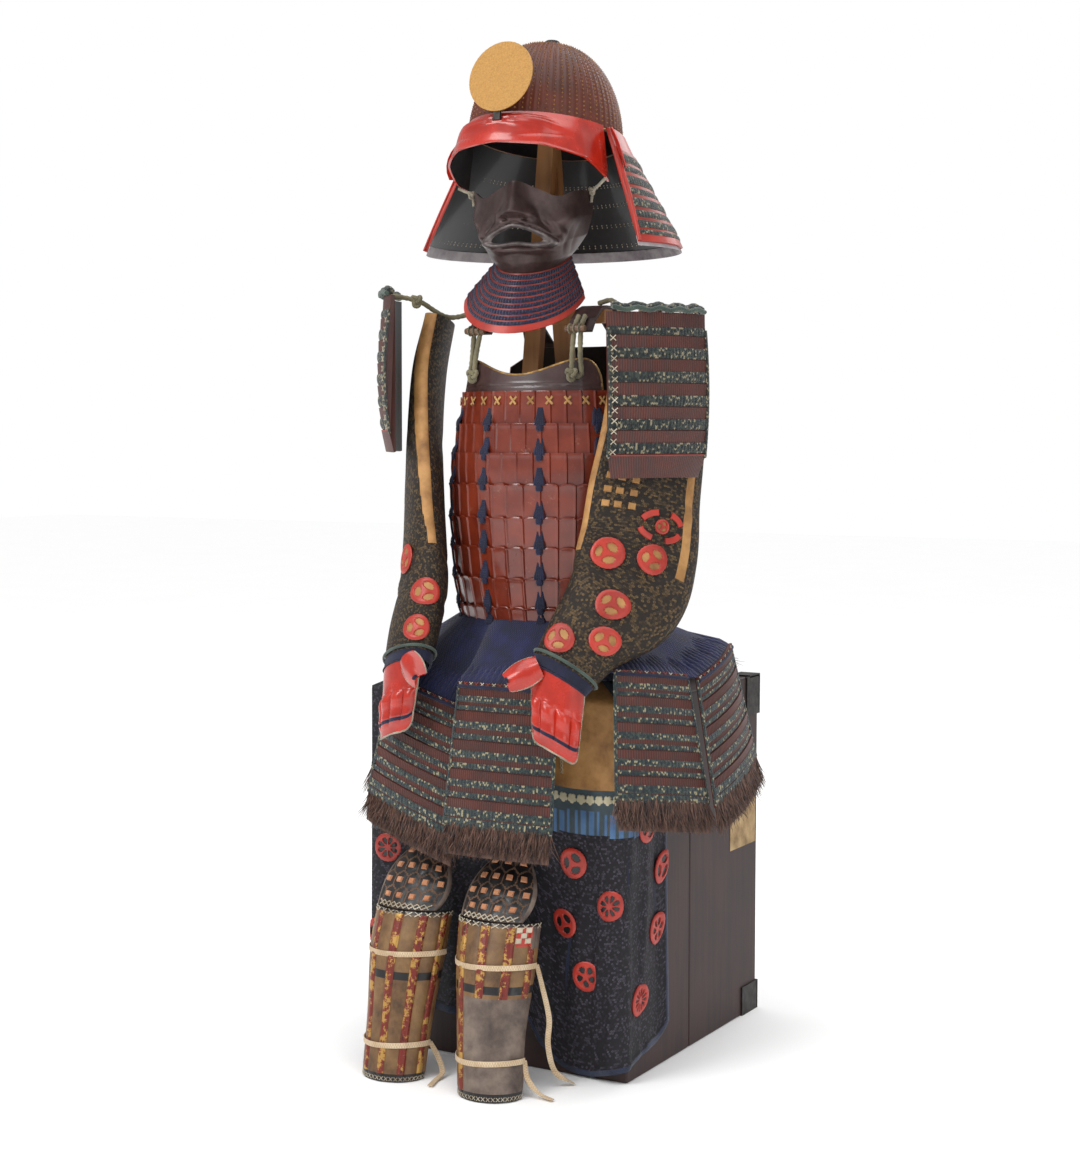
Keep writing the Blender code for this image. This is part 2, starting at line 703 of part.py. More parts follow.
def add_peak():
    """The red peak with its embossed brows, over a plain inside; returns its outer grid."""
    grid, degrees = peak_grid()
    down = np.linspace(0, 1, len(grid))[:, None]
    brow = 0.0045 * bump(down, 0.42 - 0.10 * np.cos(np.radians(degrees * 2)), 0.16)
    brow = brow * bump(np.abs(degrees), 24.0, 20.0)
    ridge = 0.0025 * bump(down, 0.12, 0.10) * np.cos(np.radians(degrees)) ** 2
    outer = moved_out(grid, 0.0022 + brow + ridge)
    outer[0] = grid[0] + (outer[0] - grid[0]) * 0.6
    wall("helmet_peak", outer, grid, "red_lacquer")
    return outer


def add_crest(peak):
    """The round crest in front of the bowl, held by a small prong on the peak."""
    middle = peak.shape[1] // 2
    foot = peak[1, middle] + np.array((0.0, -GAP, 0.0))
    lean = math.radians(14.0)
    up = np.array((0.0, math.sin(lean), math.cos(lean)))
    out = np.array((0.0, -math.cos(lean), math.sin(lean)))
    foot = foot + out * 0.0048
    centre = foot + up * (CREST_RADIUS + 0.004)
    shape = bmesh.new()
    bmesh.ops.create_cone(shape, cap_ends=True, segments=40, radius1=CREST_RADIUS, radius2=CREST_RADIUS,
                          depth=CREST_THICKNESS)
    for corner in shape.verts:
        place = np.array(corner.co)
        corner.co = centre + np.array((1.0, 0.0, 0.0)) * place[0] + up * place[1] + out * (place[2] + 0.0035)
    add_mesh("crest_disc", shape, "gold_leaf", smooth_below=35)
    shape = bmesh.new()
    bmesh.ops.create_cube(shape, size=1.0)
    for corner in shape.verts:
        place = np.array(corner.co) * (0.012, 0.044, 0.004)
        spread = 1.0 if place[1] < 0 else 0.6
        corner.co = foot + np.array((spread * place[0], 0.0, 0.0)) + up * (place[1] + 0.014) + out * (
            place[2] + 0.0035 - CREST_THICKNESS / 2 - GAP - 0.002)
    add_mesh("crest_prong", shape, "dark_iron")


def neck_guard_grid(down, out):
    """Rows of the flared neck guard: how far down each is, from 0 to 1, and how far outside the inner face."""
    rows = []
    for part, reach in zip(down, out):
        front = 82.0 - 16.0 * part
        degrees = np.linspace(front, 360 - front, 33)
        top = bowl_ring(0.020, 0.0010, degrees)
        plan = oval(NECK_GUARD_HALF_WIDTH, NECK_GUARD_HALF_DEPTH, degrees)
        low = np.column_stack([plan[:, 0], plan[:, 1] + NECK_GUARD_CENTRE_Y, np.full(len(plan), NECK_GUARD_BOTTOM)])
        row = top + (low - top) * part
        direction = np.column_stack([np.sin(np.radians(degrees)), -np.cos(np.radians(degrees))])
        row[:, :2] += direction * reach
        rows.append(row)
    return np.array(rows)


def add_neck_guard():
    """The neck guard: overlapping lames from the rim of the bowl out over the shoulders."""
    down, step = lame_rows(NECK_GUARD_LAMES, NECK_GUARD_STEP)
    outer = neck_guard_grid(down, step + NECK_GUARD_WALL)
    inner_down = np.linspace(0, 1, 4)
    inner = neck_guard_grid(inner_down, np.zeros(4))
    wall("neck_guard", outer, inner[:, ::2], "laced_brown")
    return outer


def add_turnbacks(neck_guard):
    """The small red turned-back ends of the top lame, one at each temple."""
    for side, word in ((1, "left"), (-1, "right")):
        rows = []
        for down in np.linspace(0, 1, 7):
            front = 82.0 - 16.0 * 0.30 * down
            width = 0.004 + 0.024 * math.sin(math.pi * (0.16 + 0.80 * down)) ** 0.7
            root = bowl_ring(0.020, 0.0, [front + 1.0])[0]
            low = oval(NECK_GUARD_HALF_WIDTH, NECK_GUARD_HALF_DEPTH, [front + 1.0])[0]
            low = np.array((low[0], low[1] + NECK_GUARD_CENTRE_Y, NECK_GUARD_BOTTOM))
            root = root + (low - root) * 0.36 * down
            direction = oval(1.0, 1.0, [front])[0]
            root[:2] += direction * (NECK_GUARD_WALL + NECK_GUARD_STEP + 0.0016)
            row = []
            for across in np.linspace(0, 1, 5):
                turn = math.radians(58.0 * across)
                along = np.array((direction[1] * -1.0, direction[0], 0.0))
                reach = np.array((direction[0], direction[1], 0.0))
                place = root + (reach * math.sin(turn) * 0.75 - along * (1.0 - 0.35 * math.cos(turn)) * 0.9) * (
                    width * across)
                row.append(place)
            rows.append(row)
        grid = np.array(rows)[:, ::-1]
        if side < 0:
            grid = mirrored(grid)
        normal = outward(grid)
        wall(f"turnback_{word}", grid + normal * TURNBACK_WALL, grid, "red_lacquer")


# Mask and throat guard

def face_place(centre, left, forward, z):
    """Face points, from the wearer's left and forward, into the room."""
    along, out = facing(FACE_TURN)
    plan = centre + left[..., None] * along[:2] + forward[..., None] * out[:2]
    return np.concatenate([plan, np.broadcast_to(z, left.shape)[..., None]], -1)


def mask_grid(rows=13, columns=21):
    """The outer face of the half mask: nose, lips, cheeks and chin on a rounded face."""
    degrees = np.linspace(-88, 88, columns)
    away = np.abs(degrees)
    down = np.linspace(0, 1, rows)[:, None]
    levels = [level.down for level in FACE]
    half_width = np.interp(down, levels, [level.half_width for level in FACE])
    forward = np.interp(down, levels, [level.forward for level in FACE])
    top = MASK_TOP + 0.008 * bump(degrees, 0.0, 12.0) - 0.012 * bump(away, 38.0, 16.0)
    bottom = MASK_CHIN + 0.030 * (away / 88.0) ** 2
    z = top + (bottom - top) * down
    nose = 0.010 + 0.020 * np.clip(down / 0.34, 0, 1)
    nose = nose * np.where(down < 0.34, 1.0, np.exp(-(((down - 0.34) / 0.07) ** 2)))
    relief = nose * bump(degrees, 0.0, 11.0 + 3.0 * down)
    relief = relief + 0.007 * bump(away, 16.0, 7.0) * bump(down, 0.34, 0.09)
    ring = np.sqrt((degrees / 36.0) ** 2 + ((down - 0.60) / 0.155) ** 2)
    relief = relief + 0.0085 * bump(ring, 1.0, 0.34)
    relief = relief + 0.007 * bump(away, 50.0, 15.0) * bump(down, 0.36, 0.16)
    relief = relief + 0.006 * bump(degrees, 0.0, 20.0) * bump(down, 0.90, 0.10)
    turn = np.radians(degrees)
    left = half_width * np.sin(turn) + relief * np.sin(turn)
    ahead = forward * np.cos(turn) + relief * np.cos(turn)
    return face_place(FACE_CENTRE, left, ahead, z)


def add_mask():
    """The half mask with its open mouth; returns its outer grid."""
    outer = mask_grid()
    inner = moved_out(outer, -MASK_WALL)
    inner[-1] = outer[-1] - outward(outer)[-1] * MASK_WALL * (1, 1, 0)
    mask = wall("face_mask", outer, inner, "dark_iron")
    shape = bmesh.new()
    bmesh.ops.create_uvsphere(shape, u_segments=20, v_segments=8, radius=1.0)
    along, out = facing(FACE_TURN)
    middle = outer[7, outer.shape[1] // 2]
    for corner in shape.verts:
        place = np.array(corner.co) * (0.038, 0.040, 0.0095)
        bow = 0.0035 * (place[0] / 0.038) ** 2
        corner.co = middle + along * place[0] + out * place[1] + np.array((0.0, 0.0, place[2] - bow))
    cutter = add_mesh("mouth_cutter", shape, "dark_iron", collection="cutters")
    join_to(mask, cutter, "DIFFERENCE")
    return outer


def add_throat_guard(mask):
    """The throat guard: curved lames that hang from the lower edge of the mask."""
    edge = mask[-1].copy()
    edge[:, 2] -= GAP
    along, out = facing(FACE_TURN)
    degrees = np.linspace(-88, 88, len(edge))
    turn = np.radians(degrees * 0.90)
    low_z = 1.048 + 0.052 * (np.abs(degrees) / 88) ** 2
    low = face_place(THROAT_CENTRE, 0.094 * np.sin(turn), 0.100 * np.cos(turn), low_z)
    down, step = lame_rows(THROAT_LAMES, THROAT_STEP)
    step = step * np.minimum(1, down * 6)
    direction = np.column_stack([np.sin(turn)[:, None] * along[None, :2] + np.cos(turn)[:, None] * out[None, :2]])
    rows = []
    for part, reach in zip(down, step):
        row = edge + (low - edge) * part
        row[:, :2] += direction * reach
        rows.append(row)
    outer = np.array(rows)
    inner = []
    for part in np.linspace(0, 1, 4):
        row = edge + (low - edge) * part
        row[:, :2] -= direction * THROAT_WALL
        inner.append(row)
    wall("throat_guard", outer, np.array(inner)[:, ::2], "red_lacquer")


# Shoulder guards, sleeves and hands

def shoulder_guard_grid(top_z, down, out):
    """Rows of the wearer's left shoulder guard, hung in front of the upper arm."""
    along, ahead = facing(SHOULDER_GUARD_FACING)
    centre = np.array((0.212, -0.160, top_z))
    across = np.linspace(-0.5, 0.5, 11)
    rows = []
    for part, reach in zip(down, out):
        width = SHOULDER_GUARD_WIDTH * (1 - 0.10 * max(0.0, part - 0.90) / 0.10)
        bow = SHOULDER_GUARD_SAG * (1 - (2 * across) ** 2)
        lean = 0.010 * math.sin(math.pi * part)
        row = centre + np.outer(across * width, along) + np.outer(bow + lean + reach, ahead)
        row[:, 2] -= SHOULDER_GUARD_HEIGHT * part
        rows.append(row)
    return np.array(rows)


def add_shoulder_guards():
    """Both shoulder guards; returns the inner grids of their top edges by side."""
    down, step = lame_rows(SHOULDER_GUARD_LAMES, SHOULDER_GUARD_STEP)
    tops = {}
    for side, word, top_z in ((1, "left", 1.072), (-1, "right", 1.106)):
        outer = shoulder_guard_grid(top_z, down, step + SHOULDER_GUARD_WALL)
        inner = shoulder_guard_grid(top_z, np.linspace(0, 1, 2), np.zeros(2))
        if side < 0:
            outer = mirrored(outer)
            inner = mirrored(inner)
        wall(f"shoulder_guard_{word}", outer, inner, "laced_brown")
        tops[side] = (outer[0] + inner[0]) / 2
    return tops


def sleeve_frames(sections):
    """Points along a sleeve with its long axis and its outward axis in each section."""
    table = np.array(sections)
    route = table[:, :3]
    forward = np.gradient(route, axis=0)
    forward /= np.linalg.norm(forward, axis=1, keepdims=True)
    turn = np.radians(table[:, 5])
    long_axis = np.column_stack([np.cos(turn), np.sin(turn), np.zeros(len(turn))])
    long_axis -= forward * (long_axis * forward).sum(1, keepdims=True)
    long_axis /= np.linalg.norm(long_axis, axis=1, keepdims=True)
    out_axis = np.cross(forward, long_axis)
    return route, long_axis, out_axis, table[:, 3], table[:, 4]


def between_sections(sections, extra=1):
    """The sections with others worked out half way between them."""
    table = np.array(sections, float)
    spots = np.linspace(0, len(table) - 1, (len(table) - 1) * (extra + 1) + 1)
    smooth = smooth_columns(table, spots)
    return [SleeveSection(*row) for row in smooth]


def smooth_columns(table, spots):
    """The table's values on a smooth curve through its rows, at whole and part rows."""
    padded = np.vstack([2 * table[0] - table[1], table, 2 * table[-1] - table[-2]])
    rows = []
    for spot in spots:
        start = min(int(spot), len(table) - 2)
        t = spot - start
        p0, p1, p2, p3 = padded[start:start + 4]
        rows.append(0.5 * (2 * p1 + (p2 - p0) * t + (2 * p0 - 5 * p1 + 4 * p2 - p3) * t ** 2
                           + (3 * p1 - p0 - 3 * p2 + p3) * t ** 3))
    return np.array(rows)


def sleeve_grid(sections, out):
    """Closed rings down a sleeve, that far outside its inner face."""
    route, long_axis, out_axis, half_width, half_depth = sleeve_frames(sections)
    turn = np.linspace(0, 2 * math.pi, SLEEVE_COLUMNS, endpoint=False)
    rings = []
    for place, along, ahead, wide, deep in zip(route, long_axis, out_axis, half_width, half_depth):
        ring = place + np.outer(np.cos(turn) * (wide + out), along) + np.outer(np.sin(turn) * (deep + out), ahead)
        rings.append(ring)
    return np.array(rings)


def add_sleeves():
    """Both sleeves with their hand and thumb guards; returns the top rings of the sleeves by side."""
    tops = {}
    for side, word, sections in ((1, "left", SLEEVE_LEFT), (-1, "right", SLEEVE_RIGHT)):
        fine = between_sections(sections)
        outer = sleeve_grid(fine, SLEEVE_WALL)
        inner = sleeve_grid(fine, 0.0)
        hand, hand_inner, thumb, thumb_inner = hand_grids(sections)
        if side < 0:
            outer, inner, hand, hand_inner, thumb, thumb_inner = [
                mirrored(grid) for grid in (outer, inner, hand, hand_inner, thumb, thumb_inner)]
        wall(f"sleeve_{word}", outer, inner, "mail_cloth", closed=True)
        wall(f"hand_guard_{word}", hand, hand_inner, "red_lacquer")
        wall(f"thumb_guard_{word}", thumb, thumb_inner, "red_lacquer")
        tops[side] = outer[0]
    return tops


def hand_grids(sections):
    """The hand and thumb guards, which go on from the front of the sleeve's lower end."""
    route, long_axis, out_axis, half_width, half_depth = sleeve_frames(between_sections(sections))
    end, along, ahead = route[-1], long_axis[-1], out_axis[-1]
    wide = half_width[-1] + SLEEVE_WALL
    deep = half_depth[-1] + SLEEVE_WALL
    onward = np.cross(along, ahead)
    down_hand = np.array((0.02, -0.20, -0.98))
    down_hand /= np.linalg.norm(down_hand)
    grids = []
    for reach in (0.0, -HAND_WALL):
        rows = []
        for part in np.linspace(0, 1, 6):
            row = []
            for across in np.linspace(-1, 1, 11):
                turn = math.radians(90.0 - 72.0 * across)
                knuckle = 0.005 * bump(part, 0.80, 0.12) * abs(math.cos(2 * math.pi * across)) * (1 - across ** 4)
                dome = deep * math.sin(turn) * (1 - 0.45 * part) + reach + knuckle
                spread = wide * math.cos(turn) * (1 - 0.18 * part)
                place = end + along * (spread + 0.004 * part) + ahead * dome
                place = place + onward * GAP + down_hand * 0.100 * part
                row.append(place)
            rows.append(row)
        grids.append(np.array(rows))
    thumb = []
    length = -along * 0.72 + down_hand * 0.70
    length /= np.linalg.norm(length)
    breadth = np.cross(length, ahead)
    root = end - along * (wide - 0.016) + ahead * (deep * 0.86 - 0.0012) + onward * (GAP + 0.002)
    for reach in (0.0, -HAND_WALL):
        rows = []
        for part in np.linspace(0, 1, 6):
            width = 0.019 * math.sin(math.pi * (0.24 + 0.58 * part)) ** 0.7
            bow = np.linspace(-1, 1, 5)
            row = root + np.outer(bow * width, -breadth) + np.outer(0.008 * (1 - bow ** 2) + reach, ahead)
            rows.append(row + length * 0.050 * part)
        thumb.append(np.array(rows))
    return grids[0], grids[1], thumb[0], thumb[1]


# Skirt of laces and tassets

def tasset_axes(tasset):
    """A tasset's unit vectors: along its top edge, down its front and out of it."""
    along, ahead = facing(tasset.facing)
    slope = math.radians(tasset.slope)
    lean = math.radians(tasset.lean)
    fall = ahead * math.sin(lean) + np.array((0.0, 0.0, -math.cos(lean)))
    out = np.cross(fall, along)
    return along * math.cos(slope) + fall * math.sin(slope), fall, out


def tasset_grid(tasset, down, out, columns=7):
    """Rows of one tasset, that far outside its inner face."""
    along, fall, ahead = tasset_axes(tasset)
    centre = np.array((tasset.x, tasset.y, tasset.z))
    across = np.linspace(-0.5, 0.5, columns)
    rows = []
    for part, reach in zip(down, out):
        width = tasset.top_width + (tasset.bottom_width - tasset.top_width) * min(part, 1.0)
        bow = TASSET_SAG * (1 - (2 * across) ** 2)
        row = centre + np.outer(across * width, along) + np.outer(bow + reach, ahead)
        rows.append(row + fall * tasset.length * part)
    return np.array(rows)


def add_tassets():
    """The seven tassets, each ending in a thin band that reaches as far as its fringe of hair."""
    for tasset in TASSETS:
        down, step = lame_rows(TASSET_LAMES, TASSET_STEP)
        end = 1 + FRINGE_LENGTH / tasset.length
        down = np.concatenate([down, [1.02, end]])
        step = np.concatenate([step, [-0.0006, -0.0012]])
        outer = tasset_grid(tasset, down, step + TASSET_WALL)
        inner = tasset_grid(tasset, (0.0, end), (0.0, 0.0))
        wall(f"tasset_{tasset.name}", outer, inner, "laced_brown")


def skirt_hem():
    """The line along the top edges of the tassets, all the way round, just above them."""
    line = []
    for tasset in TASSETS:
        along, fall, ahead = tasset_axes(tasset)
        across = np.linspace(-0.5, 0.5, 5)
        bow = TASSET_SAG * (1 - (2 * across) ** 2)
        centre = np.array((tasset.x, tasset.y, tasset.z)) - fall * 3 * GAP
        line += list(centre + np.outer(across * tasset.top_width, along) + np.outer(bow + TASSET_WALL, ahead))
    return np.array(line)


def add_skirt():
    """The laces between the cuirass and the tassets, as one ribbed wall."""
    hem = skirt_hem()
    onward = np.roll(hem, -1, axis=0)
    middle = (hem + onward) / 2
    spread = np.linalg.norm(onward - hem, axis=1)
    inward = TORSO_CENTRE - middle[:, :2]
    inward /= np.linalg.norm(inward, axis=1, keepdims=True)
    middle[:, :2] += inward * np.where(spread > SKIRT_GATHER_OVER, spread * SKIRT_GATHER, 0.0)[:, None]
    hem = np.stack([hem, middle], 1).reshape(-1, 3)
    degrees = np.degrees(np.arctan2(hem[:, 0] - TORSO_CENTRE[0], -(hem[:, 1] - TORSO_CENTRE[1])))
    top = torso(LAME_EDGES[-1] + SKIRT_HOLD, -FACET_GAP - SKIRT_RIB * 0.3, degrees)
    lip = torso(LAME_EDGES[-1] - 0.001, -FACET_GAP - SKIRT_RIB * 0.3, degrees)
    direction = oval(1.0, 1.0, degrees)
    ribs = (np.arange(len(hem)) % 2) * SKIRT_RIB
    rows = [top, lip]
    for down in (0.5, 1.0):
        row = lip + (hem - lip) * down
        row[:, :2] -= direction * 0.008 * math.sin(math.pi * down)
        rows.append(row)
    grid = np.array(rows)
    outer = grid.copy()
    outer[..., :2] += direction * ribs[:, None] * np.array((0.3, 0.3, 1.0, 0.3))[:, None, None]
    inner = grid[:, ::2].copy()
    inner[..., :2] -= direction[::2] * SKIRT_WALL
    wall("lace_skirt", outer, inner, "navy_silk", closed=True)


# Thigh apron

def apron_plan(out):
    """The apron's plan line along the chest's front and round its near corner, that far out from the chest."""
    straight = np.linspace(APRON_RIGHT_X, CHEST_SIDE - APRON_CORNER, 25)
    front_y = CHEST_FRONT - out
    line = [(x, front_y) for x in straight]
    radius = APRON_CORNER + out
    for turn in np.radians((22.5, 45.0, 67.5)):
        line.append((CHEST_SIDE - APRON_CORNER + radius * math.sin(turn),
                     CHEST_FRONT + APRON_CORNER - radius * math.cos(turn)))
    for y in np.linspace(CHEST_FRONT + APRON_CORNER, APRON_WRAP_Y, 5):
        line.append((CHEST_SIDE + out, y))
    return np.array(line)


def apron_grid(out):
    """Rows of the thigh apron, from the waist down over the chest's front edge to its hem."""
    plan = apron_plan(APRON_OFF + out)
    steps = np.linalg.norm(np.diff(plan, axis=0), axis=1)
    along = np.concatenate([[0], np.cumsum(steps)]) / steps.sum()
    hem = 0.004 + 0.060 * (1 - np.clip((along - 0.40) / 0.14, 0, 1)) + 0.075 * bump(along, 0.47, 0.085)
    hem = hem + 0.034 * np.clip((along - 0.70) / 0.22, 0, 1) + 0.030 * np.clip((along - 0.93) / 0.07, 0, 1) ** 2
    angle = -62 + 134 * along
    waist = oval(0.134 + out, 0.110 + out, angle) + TORSO_CENTRE
    rows = []
    for z in (APRON_TOP, 0.572, 0.550, APRON_BEND, 0.42, 0.30, 0.18, 0.09, 0.0):
        if z > APRON_BEND:
            part = ((z - APRON_BEND) / (APRON_TOP - APRON_BEND)) ** 0.9
            row = plan + (waist - plan) * part
            height = np.full(len(plan), z)
        else:
            row = plan.copy()
            drop = (APRON_BEND - z) / APRON_BEND
            height = APRON_BEND + (hem - APRON_BEND) * drop
            fold = 0.006 * np.sin(along * 26.0 + 1.1) * drop ** 1.5 + 0.0035 * np.sin(along * 51.0) * drop
            fold = np.maximum(fold, -0.0038)
            normal = np.gradient(plan, axis=0)
            normal = np.column_stack([normal[:, 1], -normal[:, 0]])
            normal /= np.linalg.norm(normal, axis=1, keepdims=True)
            row = row + normal * fold[:, None]
        rows.append(np.column_stack([row, height]))
    return np.array(rows)


def add_apron():
    """The thigh apron, hung over the chest's front and round its near corner; returns its outer grid."""
    outer = apron_grid(APRON_WALL)
    wall("thigh_apron", outer, apron_grid(0.0)[:, ::2], "mail_cloth")
    return outer


# Shin guards and knee plates

def shin_grid(levels, out, columns=17, spread=SHIN_SPREAD):
    """Rows of a shin guard, half round and open at the back, that far outside its inner face."""
    table = smooth_columns(np.array(levels), np.linspace(0, len(levels) - 1, 6))
    degrees = np.linspace(-spread, spread, columns)
    rows = []
    for z, x, y, wide, deep in table:
        plan = oval(1.0, 1.0, degrees) * (np.array((wide, deep)) + np.broadcast_to(out, (columns,))[:, None])
        rows.append(np.column_stack([plan + (x, y), np.full(columns, z)]))
    return np.array(rows)


def add_shin_guards(apron):
    """Both shin guards with their knee plates, leaning on the apron; returns the guards' outer grids by side."""
    grids = {}
    for side, word, levels in ((1, "left", SHIN_LEFT), (-1, "right", SHIN_RIGHT)):
        splints = SHIN_WALL + SHIN_SPLINT * (np.arange(17) % 2)
        outer = shin_grid(levels, splints)
        inner = shin_grid(levels, 0.0)[:, ::2]
        outer[-1, :, 2] = 0.0
        inner[-1, :, 2] = 0.0
        wall(f"shin_guard_{word}", outer, inner, "russet_lacquer")
        add_knee_plate(word, levels[0], apron)
        grids[side] = outer
    return grids


def knee_grid(top, rest_y):
    """The front of a knee plate, from its round top, which rests at that depth, to its seam on the shin guard."""
    low_z = SHIN_TOP + GAP
    wide = top.half_width + SHIN_WALL
    deep = top.half_depth + SHIN_WALL
    across = np.linspace(-1, 1, 9)
    rows = []
    for turn in np.radians(KNEE_ROWS):
        x = across * KNEE_RADIUS * math.sin(turn)
        z = KNEE_TOP - KNEE_RADIUS * (1 - math.cos(turn))
        part = min(1.0, (KNEE_TOP - z) / (KNEE_TOP - low_z))
        seam = top.y - deep * np.sqrt(1 - (x / wide) ** 2)
        rest = rest_y - KNEE_BOW * (1 - across ** 2)
        crown = KNEE_CROWN * (1 - across ** 2) * (1 - part)
        rows.append(np.column_stack([top.x + x, rest + (seam - rest) * part, z + crown]))
    grid = np.array(rows)
    grid[-1, :, 2] = low_z
    return grid


def add_knee_plate(word, top, apron):
    """A rounded padded plate, sewn along its shin guard's top edge and leaning back on the apron."""
    rest_y = CHEST_FRONT - APRON_OFF - APRON_WALL - 2 * KNEE_WALL
    for _ in range(3):
        upper = knee_grid(top, rest_y)[:3].reshape(-1, 3) + (0.0, KNEE_WALL, 0.0)
        slack = [gap for gap in clearances(apron, upper, (0.0, 1.0, 0.0)) if gap is not None]
        rest_y += min(slack) - GAP
    grid = knee_grid(top, rest_y)
    wall(f"knee_plate_{word}", grid, grid + (0.0, KNEE_WALL, 0.0), "brown_lacquer")


# Cords and ties

def add_chest_cords(straps):
    """The looped cords that tie each strap's front end to the chest plate."""
    for side, word in ((1, "left"), (-1, "right")):
        grid, normal = straps[side]
        away = CORD_RADIUS + GAP
        start = grid[1].mean(0) + normal[1].mean(0) * away
        front = grid[0].mean(0) + normal[0].mean(0) * away
        turn = math.degrees(TOGGLE_SPACING / 2 / 0.11)
        apart = np.array((TOGGLE_SPACING / 2, 0.0, 0.0))
        legs = []
        for leg in (-1, 1):
            out = PLATE_THICKNESS + CORD_RADIUS + FACET_GAP
            angle = [CHEST_CORD_ANGLE * side + leg * turn]
            high = torso(CHEST_PLATE_SHOULDER + 0.003, out + 0.0012, angle)[0]
            low = torso(CHEST_PLATE_MIDDLE, out, angle)[0]
            legs.append([start + apart * leg, front + apart * leg, high, low])
        cord(f"chest_cord_{word}", legs[0] + legs[1][::-1], CORD_RADIUS, "green_cord", 0.012)


def add_shoulder_cords(straps, guards, sleeves):
    """The cords from each strap over the top of the sleeve and along the shoulder guard's top edge."""
    lift = np.array((0.0, 0.0, CORD_RADIUS + 2.6 * GAP))
    for side, word in ((1, "left"), (-1, "right")):
        grid, normal = straps[side]
        away = CORD_RADIUS + GAP
        start = grid[3:5].mean((0, 1)) + normal[3:5].mean((0, 1)) * away
        edge = grid[3:5, -1 if side > 0 else 0].mean(0) + (side * 0.006, 0.0, away + 0.001)
        sleeve_top = sleeves[side]
        nearest = sleeve_top[np.argmin(np.linalg.norm(sleeve_top - edge, axis=1))]
        guard = guards[side] if side > 0 else guards[side][::-1]
        over = (nearest + guard[5]) / 2 + lift + (0.0, 0.0, 0.008)
        route = [start, edge, nearest + lift, over, guard[5] + lift, guard[8] + lift, guard[10] + lift]
        cord(f"shoulder_cord_{word}", route, CORD_RADIUS, "green_cord", 0.018)


def add_shin_ties(shins):
    """The free ends of the tapes that were tied round the shin guards."""
    off = np.array((TIE_RADIUS + 2 * GAP, 0.0, 0.0))
    left = shins[1][:, -1]
    right = shins[-1][:, -1]
    at_tape = (left[1] + left[2]) / 2
    routes = {
        "shin_tie_left_upper": [at_tape + off, at_tape + off + (0.006, 0.004, -0.030), (0.112, -0.278, 0.095),
                                (0.116, -0.288, 0.060), (0.124, -0.282, 0.022), (0.143, -0.262, TIE_FLOOR)],
        "shin_tie_left_lower": [left[4] + off, left[4] + off + (0.008, -0.006, -0.022), (0.128, -0.336, 0.008),
                                (0.152, -0.339, TIE_FLOOR)],
        "shin_tie_right": [right[4] + off, right[4] + off + (0.010, 0.004, -0.020), (-0.036, -0.322, 0.008),
                           (-0.033, -0.345, TIE_FLOOR), (-0.026, -0.370, TIE_FLOOR)],
    }
    for name, route in routes.items():
        cord(name, route, TIE_RADIUS, "cream_tape", 0.014)


def add_mask_cords(mask, peak):
    """The twisted cords that tie the mask to the helmet at each temple."""
    normal = outward(mask)
    away = TIE_RADIUS + GAP * 2
    for side, word in ((1, "left"), (-1, "right")):
        column = -2 if side > 0 else 1
        foot = mask[2, column] + normal[2, column] * away
        higher = mask[0, column] + normal[0, column] * (away + 0.002)
        tip = peak[-1, column] - np.array((0.0, 0.0, TIE_RADIUS + GAP * 3))
        cord(f"mask_cord_{word}", [foot, higher, (higher + tip) / 2, tip], TIE_RADIUS, "green_cord", 0.007)


def main():
    """Builds the whole set, from the floor up."""
    start_scene()
    add_chest()
    add_cuirass()
    add_chest_and_back_plates()
    straps = add_straps()
    bowl_inside = add_bowl()
    yoke_top = straps[1][0][3, 1, 2] - STRAP_THICKNESS - GAP
    add_stand(yoke_top, bowl_inside)
    add_finial()
    peak = add_peak()
    add_crest(peak)
    neck_guard = add_neck_guard()
    add_turnbacks(neck_guard)
    mask = add_mask()
    add_throat_guard(mask)
    guards = add_shoulder_guards()
    sleeves = add_sleeves()
    add_tassets()
    add_skirt()
    apron = add_apron()
    shins = add_shin_guards(apron)
    add_shin_ties(shins)
    add_chest_cords(straps)
    add_shoulder_cords(straps, guards, sleeves)
    add_mask_cords(mask, peak)


if __name__ == "__main__":
    main()
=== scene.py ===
"""The looks of a suit of samurai armour, hung on its wooden stand on an armour chest.

Metres, +Z up. The armour faces -Y, and +X is the wearer's left. Angles round the body are in degrees from
the front towards the wearer's left. A surface has its rows from top to bottom and its columns towards the
wearer's left. Its flat coordinates are lengths in metres across and down, so every pattern has its real size.
"""

from __future__ import annotations

import logging
import math
from dataclasses import dataclass
from enum import Enum
from typing import Sequence

import bmesh
import bpy
import numpy as np
from bpy.types import Material, NodeSocket
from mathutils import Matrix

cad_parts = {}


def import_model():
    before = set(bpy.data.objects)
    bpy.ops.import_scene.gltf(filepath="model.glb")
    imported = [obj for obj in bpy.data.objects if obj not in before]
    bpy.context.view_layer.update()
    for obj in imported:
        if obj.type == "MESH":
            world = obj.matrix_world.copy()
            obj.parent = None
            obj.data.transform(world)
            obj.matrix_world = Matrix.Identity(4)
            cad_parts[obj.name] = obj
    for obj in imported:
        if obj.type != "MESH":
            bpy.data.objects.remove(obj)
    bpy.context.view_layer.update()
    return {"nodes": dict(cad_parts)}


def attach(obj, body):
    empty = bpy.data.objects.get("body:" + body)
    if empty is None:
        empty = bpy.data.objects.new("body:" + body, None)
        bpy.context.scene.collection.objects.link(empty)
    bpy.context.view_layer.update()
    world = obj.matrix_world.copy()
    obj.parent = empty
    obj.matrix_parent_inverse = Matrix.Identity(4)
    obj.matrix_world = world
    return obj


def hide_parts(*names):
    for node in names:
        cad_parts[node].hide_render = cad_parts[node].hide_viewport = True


log = logging.getLogger("armour")
Array = np.ndarray

